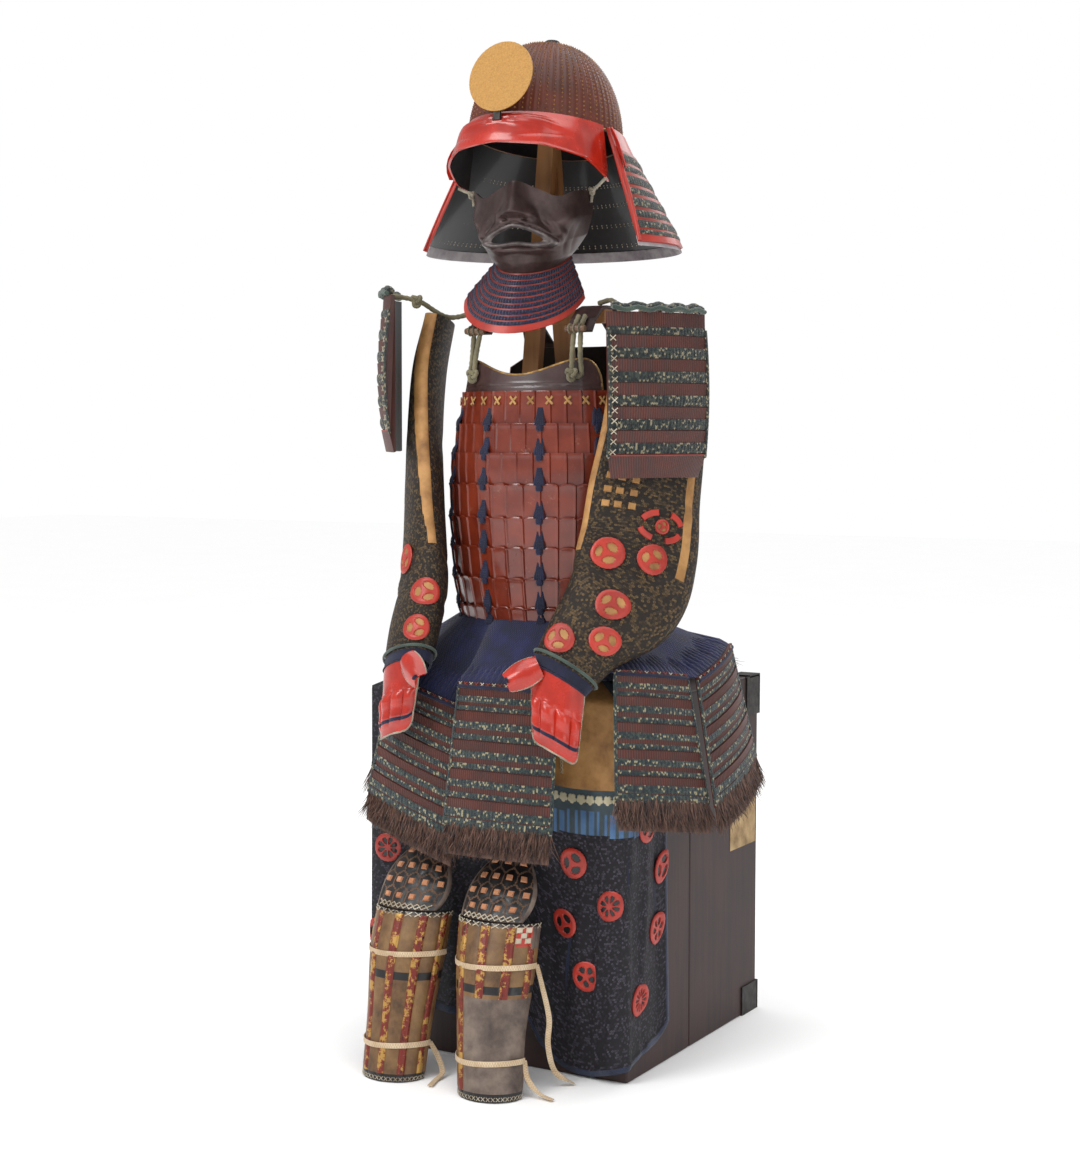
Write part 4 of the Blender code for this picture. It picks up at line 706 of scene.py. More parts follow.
@dataclass(frozen=True)
class Mail:
    """Iron mail sewn on dark cloth: rows of small rings, every other row set half a ring aside."""

    name: str
    ring: str
    painted_glint: str
    ground: str
    pitch: float = 0.0052
    painted_glint_share: float = 0.5

    def make(self) -> Material:
        """The material: a ring in each cell of a brick grid; a random share of the rings take the lighter
        glint colour, a painted highlight.
        """
        graph = Graph(self.name)
        flat = graph.flat()
        row = graph.math("MULTIPLY", graph.axis(flat, "Y"), 1 / self.pitch)
        number = graph.math("FLOOR", row)
        aside = graph.math("MULTIPLY", number, 0.5)
        ring = graph.math("MULTIPLY_ADD", graph.axis(flat, "X"), 1 / self.pitch, aside)
        x = graph.math("SUBTRACT", graph.math("FRACT", ring), 0.5)
        y = graph.math("SUBTRACT", graph.math("FRACT", row), 0.5)
        spot = graph.add("CombineXYZ", {"X": x, "Y": y})
        reach = graph.add("VectorMath", {0: spot}, "Value", operation="LENGTH")
        wire = graph.math("ABSOLUTE", graph.math("SUBTRACT", reach, 0.33))
        wire = graph.spread(wire, 1.0, 0.0, 0.05, 0.17)
        chance = graph.chance(graph.math("FLOOR", ring), number)
        # Painted highlight: rings picked at random take the lighter glint colour instead of the ring colour.
        rings_with_painted_glint = graph.mix(graph.spread(chance, 0.0, 1.0, 1 - self.painted_glint_share), self.ring, self.painted_glint)
        return graph.close(Base_Color=graph.mix(wire, self.ground, rings_with_painted_glint),
                           Metallic=graph.math("MULTIPLY", wire, 0.5), Roughness=0.58,
                           Normal=graph.relief(wire, 0.9, 0.0010))


@dataclass(frozen=True)
class Leather:
    """Tanned hide, smoke-coloured or painted: cloudy, creased, and darker where hands and damp have been."""

    name: str
    colour: str
    shade: str
    stain: str
    roughness: float = 0.6

    def make(self) -> Material:
        """The material: clouds of colour, and a fine pebbled grain."""
        graph = Graph(self.name)
        place = graph.place()
        cloud = graph.noise(place, 26.0, 6.0, 0.62)
        tone = graph.ramp(cloud, ((0.30, self.stain), (0.46, self.shade), (0.64, self.colour)))
        grain = graph.add("TexVoronoi", {"Vector": place, "Scale": 620.0}, "Distance")
        height = graph.math("MULTIPLY_ADD", grain, 0.4, graph.noise(place, 120.0, 4.0))
        return graph.close(Base_Color=tone, Roughness=self.roughness,
                           Normal=graph.relief(height, 0.45, 0.0008))


@dataclass(frozen=True)
class Wood:
    """Wood, planed and then lacquered or left bare: long upright grain with darker lines, and cracks."""

    name: str
    colour: str
    grain: str
    crack: str
    roughness: float = 0.5
    coat: float = 0.0

    def make(self) -> Material:
        """The material: noise that is stretched along the grain."""
        graph = Graph(self.name)
        place = graph.place()
        drawn_out = graph.add("Mapping", {"Vector": place, "Scale": (1.0, 1.0, 0.05)})
        grain = graph.noise(drawn_out, 85.0, 5.0, 0.6)
        mixed = graph.math("MULTIPLY", graph.math("ADD", grain, graph.noise(place, 9.0, 4.0)), 0.5)
        tone = graph.ramp(mixed, ((0.36, self.grain), (0.58, self.colour)))
        split = graph.noise(graph.add("Mapping", {"Vector": place, "Scale": (1.0, 1.0, 0.08)}), 26.0, 3.0)
        split = graph.spread(split, 0.0, 1.0, 0.68, 0.71)
        height = graph.math("MULTIPLY_ADD", split, -2.0, grain)
        return graph.close(Base_Color=graph.mix(split, tone, self.crack), Roughness=self.roughness,
                           Normal=graph.relief(height, 0.35, 0.0010), Coat_Weight=self.coat)


@dataclass(frozen=True)
class Hair:
    """Boar hair: dark brown at the root, and lighter where light has bleached it."""

    name: str
    root: str
    tip: str

    def make(self) -> Material:
        """The material: every lock has its own brown."""
        graph = Graph(self.name)
        thin = graph.add("Mapping", {"Vector": graph.place(), "Scale": (1.0, 1.0, 0.12)})
        tone = graph.ramp(graph.noise(thin, 240.0, 3.0), ((0.36, self.root), (0.66, self.tip)))
        return graph.close(Base_Color=tone, Roughness=0.6, Sheen_Weight=0.2)


@dataclass(frozen=True)
class Flaking:
    """Gold leaf on lacquered splints, rubbed through to the red lacquer and in places to the dark ground."""

    name: str
    leaf: str
    under: str
    ground: str
    leaf_share: float

    def make(self) -> Material:
        """The material: ragged islands of leaf, whose edges are uneven at about 1 mm."""
        graph = Graph(self.name)
        place = graph.place()
        edge = 0.5 + (0.5 - self.leaf_share) * 0.32
        leaf = graph.spread(graph.noise(place, 62.0, 7.0, 0.75), 0.0, 1.0, edge, edge + 0.015)
        hollow = graph.spread(graph.noise(place, 130.0, 5.0, 0.7), 0.0, 1.0, 0.58, 0.62)
        tone = graph.mix(leaf, graph.mix(hollow, self.under, self.ground), self.leaf)
        return graph.close(Base_Color=tone, Metallic=graph.math("MULTIPLY", leaf, 0.55), Roughness=0.42,
                           Normal=graph.relief(leaf, 0.4, 0.0004))


class Finishes:
    """Every finish of the suit, made once."""

    def __init__(self) -> None:
        """Makes them all."""
        for key, recipe in self.recipes().items():
            setattr(self, key, recipe.make())

    @staticmethod
    def recipes() -> dict[str, object]:
        """The recipes by the name that the pieces use."""
        return {
            "red": Lacquer("red_urushi", "#BF2C1A", "#A12316", "#701811", 0.24, 0.4, 0.25),
            "red_plate": Lacquer("red_urushi_rubbed", "#B93324", "#98281D", "#641A14", 0.42, 0.15, 0.6),
            "red_edge": Lacquer("red_urushi_edges", "#99301F", "#782218", "#3A140F", 0.46, 0.1, 0.5),
            "russet": Lacquer("russet_urushi", "#80301A", "#672313", "#A77C6C", 0.28, 0.5, 0.35),
            "brown": Lacquer("brown_urushi", "#4B3533", "#3B2826", "#7A6058", 0.34, 0.5, 0.4),
            "bowl": Lacquer("bowl_urushi", "#662D1D", "#4C2418", "#9A6A40", 0.50, 0.06, 0.5),
            # ribbed: the troughs of its ribs carry painted shade.
            "ribbed": Lacquer("ribbed_brown_urushi", "#5E281C", "#4A1E16", "#7E5040", 0.44, 0.1, 0.4, 0.0036),
            "black": Lacquer("black_urushi", "#1A1617", "#120F10", "#39302E", 0.4, 0.3, 0.3),
            "speckled": Lacing("green_white_lacing", "#202E33", "#3A4843", "#AFA582", 0.11, 0.0024),
            "dark_speckled": Lacing("dark_green_lacing", "#1E2727", "#3A423C", "#9C9176", 0.14, 0.0028),
            "navy_fine": Lacing("fine_navy_lacing", "#191C3A", "#24264A", "#4A3A58", 0.10, 0.0021, 0.0020),
            "curtain": Cloth("navy_lace_curtain", "#1D2250", "#121634", 0.0018, 0.15, 2.0),
            "navy_cord": Cloth("navy_cord", "#1A1E40", "#10132B", 0.0016, 0.12),
            "olive": Cloth("olive_cord", "#8D8465", "#6A634B", 0.0016, 0.3),
            "grey_cord": Cloth("grey_white_cord", "#B9AE98", "#857B69", 0.0016, 0.3),
            "green_cord": Cloth("green_cord", "#4B5C52", "#33413B", 0.0016, 0.3),
            "cross": Cloth("white_stitching", "#D8CDB8", "#A89A82", 0.0014, 0.1),
            "tan_cross": Cloth("tan_stitching", "#C79A5E", "#9C713E", 0.0014, 0.1),
            "red_cross": Cloth("red_stitching", "#A94A34", "#7C3324", 0.0014, 0.1),
            "tape": Cloth("cream_tape", "#DEC7A6", "#C4A884", 0.0018, 0.15),
            "lining": Cloth("blue_hemp_lining", "#1C2440", "#131A30", 0.0018, 0.15),
            "pale_lining": Leather("pale_lining", "#B9B2B4", "#9A9296", "#6E666A", 0.7),
            "binding": Cloth("indigo_binding", "#2C3550", "#1B2238", 0.0020, 0.2),
            # In each mail the second colour is a painted highlight, the glint on some rings.
            "sleeve_mail": Mail("sleeve_mail", "#3B3027", "#997A4E", "#0F0C0A", 0.0032, 0.55),
            "apron_mail": Mail("apron_mail", "#2C2830", "#6E6878", "#0E0D12", 0.0032, 0.40),
            "tan": Leather("smoked_deerskin", "#BC8C54", "#A07340", "#7A522E"),
            "worn": Leather("worn_grey_hide", "#7E6E62", "#5E5048", "#3E322E", 0.5),
            "strap": Leather("dark_strap_hide", "#4A3431", "#382624", "#241817", 0.5),
            "mask": Metal("russet_iron_mask", "#4E3D3A", "#3A2B29", 0.34, 0.35, 40.0),
            # lips: the lighter grey stands in for the sheen on the raised lips, a painted highlight.
            "lips": Metal("iron_lips_painted_sheen", "#77706F", "#544A49", 0.30, 0.5, 60.0),
            "iron": Metal("dark_iron", "#3A3634", "#262322", 0.5, 0.6),
            "brass": Metal("old_brass", "#B08A52", "#7A5C34", 0.35, 0.8),
            "stud": Metal("rubbed_studs", "#A97A48", "#74452F", 0.45, 0.25, 300.0),
            "gold": Metal("speckled_gold_leaf", "#BD8E4A", "#A87C40", 0.60, 0.25, 420.0),
            "peach": Cloth("peach_studs", "#D99A72", "#B87650", 0.0014, 0.1),
            "chest": Wood("dark_chest_wood", "#38211F", "#271716", "#150D0E", 0.60, 0.04),
            "pine": Wood("pine_stand", "#B07A48", "#8F5E34", "#5C3A20", 0.55),
            "box": Wood("boxwood_toggle", "#6E5038", "#4A3424", "#2A1C14", 0.4),
            "paper": Leather("old_paper", "#C2A77E", "#A88C64", "#7E6647", 0.85),
            "hair": Hair("boar_hair", "#2A1813", "#6E4C3C"),
            "thread": Cloth("brown_thread", "#7A5A42", "#5A4232", 0.0014, 0.1),
            "splint": Flaking("flaking_gilt_splint", "#BE9550", "#74261C", "#3A1A16", 0.46),
            "bare_splint": Leather("worn_tan_splint", "#86663F", "#6E5032", "#44311F", 0.45),
            "petal": Cloth("cream_petals", "#D9D0B2", "#B4AA8C", 0.0014, 0.1),
            "teal": Cloth("grey_teal_cloth", "#4C5A60", "#38464C", 0.0016, 0.15),
            "blue_white": Cloth("pale_blue_stripe", "#5F83AE", "#456690", 0.0016, 0.1),
            "silver": Cloth("silver_brocade", "#A9B0BE", "#6E7690", 0.0016, 0.5),
        }


# Studio

@dataclass(frozen=True)
class Studio:
    """A pale floor, soft light and the camera."""

    turn: float = 29.76
    pitch: float = 4.27
    place: tuple[float, float, float] = (1.4875, -2.7090, 0.911)
    lens: float = 63.14
    paper: str = "#FCFCFC"
    white: str = "#FFFFFF"
    aim: tuple[float, float, float] = (0.0, -0.1, 0.8)
    lamps: tuple[tuple, ...] = (("key", (-1.3, -3.0, 2.9), 1.7, 64.0), ("fill", (3.0, -1.8, 1.7), 2.0, 20.0),
                                ("rim", (0.4, 2.4, 2.7), 1.5, 24.0))
    ceiling: float = 1.9
    room: float = 0.42
    reach: float = 14.0

    def lamp(self, name: str, place: tuple[float, float, float], size: float, power: float) -> None:
        """A square soft light that faces the armour."""
        data = bpy.data.lights.new(name, "AREA")
        data.size = size
        data.energy = power
        lamp = placed(name, data)
        x, y, z = np.subtract(self.aim, place)
        lamp.location = place
        lamp.rotation_euler = (math.atan2(math.hypot(x, y), -z), 0.0, math.atan2(-x, y))

    def world(self) -> None:
        """A pale room that lights softly, and that the camera sees as white paper."""
        world = bpy.data.worlds.new("pale_room")
        world.use_nodes = True
        tree = world.node_tree
        lit = tree.nodes["Background"]
        seen = tree.nodes.new("ShaderNodeBackground")
        for background, strength in ((lit, self.room), (seen, 1.0)):
            background.inputs["Color"].default_value = linear(self.white)
            background.inputs["Strength"].default_value = strength
        ray = tree.nodes.new("ShaderNodeLightPath")
        mix = tree.nodes.new("ShaderNodeMixShader")
        tree.links.new(ray.outputs["Is Camera Ray"], mix.inputs[0])
        tree.links.new(lit.outputs[0], mix.inputs[1])
        tree.links.new(seen.outputs[0], mix.inputs[2])
        tree.links.new(mix.outputs[0], tree.nodes["World Output"].inputs["Surface"])
        bpy.context.scene.world = world

    def build(self) -> None:
        """Makes the camera, the light and the floor."""
        data = bpy.data.cameras.new("camera")
        data.sensor_fit = "VERTICAL"
        data.sensor_height = 36.0
        data.lens = self.lens
        camera = placed("camera", data)
        camera.location = self.place
        camera.rotation_euler = (math.radians(90 - self.pitch), 0.0, math.radians(self.turn))
        bpy.context.scene.camera = camera
        for lamp in self.lamps:
            self.lamp(*lamp)
        sky = bpy.data.lights.new("ceiling", "SUN")
        sky.energy = self.ceiling
        sky.angle = math.radians(70)
        placed("ceiling", sky)
        self.world()
        bpy.context.scene.view_settings.view_transform = "Standard"
        graph = Graph("pale_paper")
        cloud = graph.noise(graph.place(), 3.0)
        tone = graph.ramp(cloud, ((0.0, self.paper), (1.0, self.white)))
        paper = graph.close(Base_Color=tone, Roughness=0.9)
        mesh = bpy.data.meshes.new("floor")
        corners = [(x * self.reach, y * self.reach, 0) for x, y in ((-1, -1), (1, -1), (1, 1), (-1, 1))]
        mesh.from_pydata(corners, [], [(0, 1, 2, 3)])
        mesh.materials.append(paper)
        placed("floor", mesh)


# Laced panels

class Band(Enum):
    """What covers a stretch of a lame."""

    LACQUER = 0
    LACE = 1
    EDGE = 2
    PLAIN = 3


# A lame's bands from its top edge at 0 to its lower edge at 1, each with the part of the height where it ends
FULL_LAME = ((Band.LACQUER, 0.33), (Band.LACE, 0.58), (Band.LACQUER, 0.76), (Band.LACE, 0.95),
             (Band.LACQUER, 1.0))


@dataclass
class LacedPanel:
    """Lacquered lames joined by close rows of silk lace, on one ground."""

    lames: Sequence[Sequence[tuple[Band, float]]]
    lace_width: float = 0.0052
    lace_rise: float = 0.0015
    step: float = 0.0026
    wall: float = 0.0030
    samples: int = 4

    def rows(self) -> tuple[Array, Array, Array, Array]:
        """Rows down the panel.

        Returns:
            The parts of the height, how far the lame stands out, how far the lace rises (0 for none), and
            the band between each row and the next. Down a lace's band the rise is the root of a half sine.
        """
        down: list[float] = []
        out: list[float] = []
        rise: list[float] = []
        bands: list[int] = []
        count = len(self.lames)
        for number, lame in enumerate(self.lames):
            start = 0.0
            for band, end in lame:
                lace = band is Band.LACE
                for t in np.linspace(0.002, 0.998, 5 if lace else 2):
                    part = start + (end - start) * t
                    down.append((number + part) / count)
                    out.append(self.step * (1 - 0.88 * part))
                    rise.append(math.sqrt(math.sin(math.pi * (0.06 + 0.88 * t))) if lace else 0.0)
                    bands.append(band.value)
                start = end
        down[0], down[-1] = 0.0, 1.0
        return np.array(down), np.array(out), np.array(rise), np.array(bands[:-1])

    def add_to(self, skin: Skin, ground: Ground, lining: int = 0) -> None:
        """Builds the panel's wall on a ground."""
        down, out, rise, bands = self.rows()
        laces = max(4, round(ground.width / self.lace_width))
        laces += laces % 2
        columns = np.linspace(0.0, 1.0, laces * self.samples + 1)
        cord = np.abs(np.sin(np.arange(len(columns)) * math.pi / self.samples)) ** 0.7
        ripple = 0.12 * np.sin(columns * 91.0)[None, :] + 0.10 * np.sin(columns * 37.0 + down[:, None] * 50)
        relief = out[:, None] + self.lace_rise * rise[:, None] * (0.45 + 0.55 * cord[None, :] + ripple)
        finish = np.broadcast_to(bands[:, None], (len(down) - 1, len(columns) - 1))
        coarse = (len(down) - 1, self.samples * 2)
        skin.shell(ground, down, columns, relief, self.wall, finish, lining, coarse)


# The suit's own forms, with the same sizes as its solids

@dataclass(frozen=True)
class Bowl:
    """The helmet's bowl: an oval dome of radial plates with standing edges, tipped back on the head."""

    centre: tuple[float, float, float] = (0.0, -0.090, 1.333)
    tilt: float = 8.0
    half_width: float = 0.1075
    half_depth: float = 0.1220
    height: float = 0.136
    wall: float = 0.0025
    plates: int = 62
    rib: float = 0.0016
    studs: int = 25
    samples: int = 6
    girth: float = 0.68

    def place(self, local: Array) -> Array:
        """Points from the bowl's own level frame into the room: a turn about X, then a move."""
        tilt = math.radians(-self.tilt)
        x, y, z = np.moveaxis(local, -1, 0)
        turned = np.stack([x, y * math.cos(tilt) - z * math.sin(tilt),
                           y * math.sin(tilt) + z * math.cos(tilt)], -1)
        return turned + np.array(self.centre)

    def ring(self, height: Array, out: Array, degrees: Array) -> Array:
        """The dome: its oval is scaled by (1 - h^2.1)^0.43 * (1 - 0.05 h) at height h, then moved out."""
        height, degrees = np.broadcast_arrays(np.asarray(height, float), np.asarray(degrees, float))
        reach = np.maximum(0.0, 1 - height ** 2.1) ** 0.43 * (1 - 0.05 * height)
        plan = oval(self.half_width * reach, self.half_depth * reach, degrees)
        away = np.linalg.norm(plan, axis=-1, keepdims=True)
        plan = plan * (1 + np.broadcast_to(out, height.shape)[..., None] / away)
        return self.place(np.concatenate([plan, (height * self.height)[..., None]], -1))

    def build(self, paint: Finishes) -> None:
        """The ribbed bowl with its rows of studs and its gilt rim."""
        skin = Skin()
        count = self.plates * self.samples
        degrees = np.arange(count) * 360.0 / count
        phase = (np.arange(count) % self.samples) / self.samples
        ridge = np.exp(-((np.minimum(phase, 1 - phase) / 0.15) ** 2))
        height = np.sin(np.linspace(0, 1, 30) * math.pi / 2 * 0.985)[::-1] ** 0.9 * 0.985
        height[-1] = 0.0
        fade = np.clip(height / 0.04, 0, 1) * np.clip((0.99 - height) / 0.05, 0.25, 1)
        outer = self.ring(height[:, None], self.rib * 0.9 * ridge[None, :] * fade[:, None], degrees[None, :])
        inner = self.ring(height[:, None], -self.wall, degrees[None, :])
        flat = np.stack(np.meshgrid(np.linspace(0, self.girth, count + 1), 0.19 * (1 - height)), -1)
        out_index = skin.grid(outer, flat, 0, closed=True)
        in_index = skin.grid(inner, flat, 1, closed=True)
        skin.seam(out_index[0], in_index[0], flat[0], 0)
        skin.seam(out_index[-1], in_index[-1], flat[-1], 0)
        skin.build("bowl_of_plates", (paint.bowl, paint.black), "bowl_lacquer", ("helmet_bowl",), 60.0)
        self.add_studs(paint)

    def add_studs(self, paint: Finishes) -> None:
        """A column of small pointed studs down the middle of each plate: four-sided, on the dome's normal."""
        turn = (np.arange(self.plates) + 0.5) * 360.0 / self.plates
        height = 0.04 + 0.90 * (1 - (np.linspace(0, 1, self.studs)) ** 1.35)
        heights, turns = np.meshgrid(height, turn, indexing="ij")
        low = self.ring(heights - 0.004, 0.0, turns).reshape(-1, 3)
        base = self.ring(heights, 0.0, turns).reshape(-1, 3)
        up = unit(base - low)
        out = unit(self.ring(heights, 0.001, turns).reshape(-1, 3) - base)
        out = unit(out - up * (out * up).sum(1, keepdims=True))
        side = np.cross(up, out)
        size = 0.0021 * (0.60 + 0.40 * (1 - heights.reshape(-1)))
        foot = [base + side * (x * size)[:, None] + up * (y * size)[:, None] - out * 0.0003
                for x, y in ((1, 0), (0, 1), (-1, 0), (0, -1))]
        points = np.stack([*foot, base + out * 0.0024], 1)
        skin = Skin()
        index = skin.add_points(points)
        for corners in ((0, 1, 4), (1, 2, 4), (2, 3, 4), (3, 0, 4), (3, 2, 1, 0)):
            skin.add_faces(index[:, corners], 0.0, 0)
        rim = self.ring(np.full(121, 0.008), 0.0016, np.linspace(0, 360, 121))
        skin.strip(rim, 0.0030, 0.0022, 1, outward=(0.0, 0.0, 1.0), sides=6)
        skin.build("bowl_studs", (paint.stud, paint.brass), "bowl_lacquer", (), 25.0)


@dataclass(frozen=True)
class Peak:
    """The red peak: a curved plate under the bowl's front, with embossed brows and wrinkles."""

    bowl: Bowl
    angles: tuple[float, ...] = (0.0, 30.0, 55.0, 70.0, 78.0)
    reach: tuple[float, ...] = (0.027, 0.029, 0.028, 0.020, 0.010)
    edge_z: tuple[float, ...] = (1.311, 1.305, 1.289, 1.268, 1.262)
    wall: float = 0.0020

    def ground(self, columns: int = 157, rows: int = 41) -> Ground:
        """The peak's inner face: straight from the bowl's rim to the free edge, swollen by a half sine."""
        degrees = np.linspace(-78, 78, columns)
        away = np.abs(degrees)
        top = self.bowl.ring(np.full(columns, 0.035), 0.0007, degrees)
        rim = self.bowl.ring(np.zeros(columns), 0.0, degrees)
        direction = np.column_stack([np.sin(np.radians(degrees)), -np.cos(np.radians(degrees))])
        low = np.column_stack([rim[:, :2] + direction * np.interp(away, self.angles, self.reach)[:, None],
                               np.interp(away, self.angles, self.edge_z)])
        down = np.linspace(0, 1, rows)[:, None, None]
        grid = top + (low - top) * down
        swell = 0.006 * np.sin(math.pi * down[..., 0]) * np.cos(np.radians(degrees)) ** 2
        grid[..., :2] += direction * swell[..., None]
        return Ground(grid)

    def build(self, paint: Finishes) -> None:
        """The plate with its relief, and the rolled edge."""
        ground = self.ground()
        down = np.linspace(0, 1, 41)[:, None]
        degrees = np.linspace(-78, 78, 157)[None, :]
        away = np.abs(degrees)
        brow_line = 0.42 - 0.10 * np.cos(np.radians(degrees * 2))
        brow = bump(down, brow_line, 0.14) * bump(away, 24.0, 18.0) * 0.0060
        fold = np.zeros_like(brow)
        for start, lean, depth in ((0.12, 0.10, 0.0022), (0.24, 0.16, 0.0024), (0.36, 0.22, 0.0020)):
            crease = bump(down, start + lean * (away / 40.0) ** 1.5, 0.030)
            fold = fold + depth * crease * bump(degrees, 0.0, 26.0)
        crease = 0.0016 * bump(down, 0.72 - 0.006 * (away - 20), 0.05) * bump(away, 30.0, 12.0)
        roll = 0.0010 * np.clip((down - 0.94) / 0.06, 0, 1)
        relief = 0.0002 + brow + fold - crease + roll
        relief = relief * np.clip(down / 0.08, 0.5, 1)
        skin = Skin()
        skin.shell(ground, down[:, 0], np.linspace(0, 1, 157), relief, self.wall, 0, 1, (4, 4))
        skin.build("red_peak", (paint.red, paint.black), "red_lacquer", ("helmet_peak",), 50.0)


@dataclass(frozen=True)
class NeckGuard:
    """The flared neck guard: five lames round the back and sides of the helmet."""

    bowl: Bowl
    half_width: float = 0.192
    half_depth: float = 0.168
    centre_y: float = -0.070
    bottom: float = 1.174
    wall: float = 0.003

    def ground(self, columns: int = 181, rows: int = 31) -> Ground:
        """Its inner face, from the bowl's rim to a wide oval; the front ends run from 82 to 66 degrees."""
        down = np.linspace(0, 1, rows)[:, None]
        front = 82.0 - 16.0 * down
        degrees = front + (360 - 2 * front) * np.linspace(0, 1, columns)[None, :]
        top = self.bowl.ring(0.020, 0.0010, degrees)
        plan = oval(self.half_width, self.half_depth, degrees)
        low = np.stack([plan[..., 0], plan[..., 1] + self.centre_y, np.full(degrees.shape, self.bottom)], -1)
        return Ground(top + (low - top) * down[..., None])

    def build(self, paint: Finishes) -> None:
        """A plain red top lame, four laced lames, and a red lower edge; dark and dotted inside."""
        ground = self.ground()
        first = ((Band.PLAIN, 1.0),)
        lame = ((Band.EDGE, 0.16), (Band.LACE, 0.52), (Band.EDGE, 0.68), (Band.LACE, 1.0))
        last = ((Band.EDGE, 0.14), (Band.LACE, 0.44), (Band.EDGE, 0.54), (Band.LACE, 0.72), (Band.PLAIN, 1.0))
        panel = LacedPanel((first, lame, lame, lame, last), wall=self.wall, lace_width=0.006)
        skin = Skin()
        panel.add_to(skin, ground, lining=4)
        for side in (0.0, 1.0):
            skin.along(ground, side, np.linspace(0.18, 1.0, 40), self.wall + 0.0015, 0.0052, 0.0040, 3)
        hem = np.linspace(0, 1, 181)
        inward = -ground.sample(hem, 0.985)[1]
        skin.strip(ground.at(hem, 0.985, -0.0012), 0.016, 0.0012, 5, outward=inward, sides=6, square=0.4)
        for row in (0.27, 0.46, 0.66, 0.86):
            for offset in (0.0, 0.022):
                self.dots(skin, ground, row + offset)
        skin.build("laced_neck_guard",
                   (paint.red_edge, paint.dark_speckled, paint.red_edge, paint.red_plate, paint.black,
                    paint.pale_lining, paint.cross),
                   "laced_lames", ("neck_guard",), 50.0)

    def dots(self, skin: Skin, ground: Ground, down: float) -> None:
        """A row of short white stitches on the inside."""
        count = 74
        across = (np.arange(count) + 0.5) / count
        start, normal = ground.sample(across, down)
        end = ground.sample(across, down + 0.012)[0]
        for a, b, n in zip(start, end, normal):
            path = np.linspace(a, b, 3) - n * 0.0004
            skin.strip(path, 0.0016, 0.0010, 6, outward=n, sides=4)


# Face

def face_place(centre: Sequence[float], left: Array, ahead: Array, z: Array) -> Array:
    """Points of the face, to the left and ahead of a centre in plan; the face is turned 13 degrees."""
    along, out = facing(FACE_TURN)
    left, ahead, z = np.broadcast_arrays(left, ahead, z)
    plan = np.array(centre) + left[..., None] * along[:2] + ahead[..., None] * out[:2]
    return np.concatenate([plan, z[..., None]], -1)


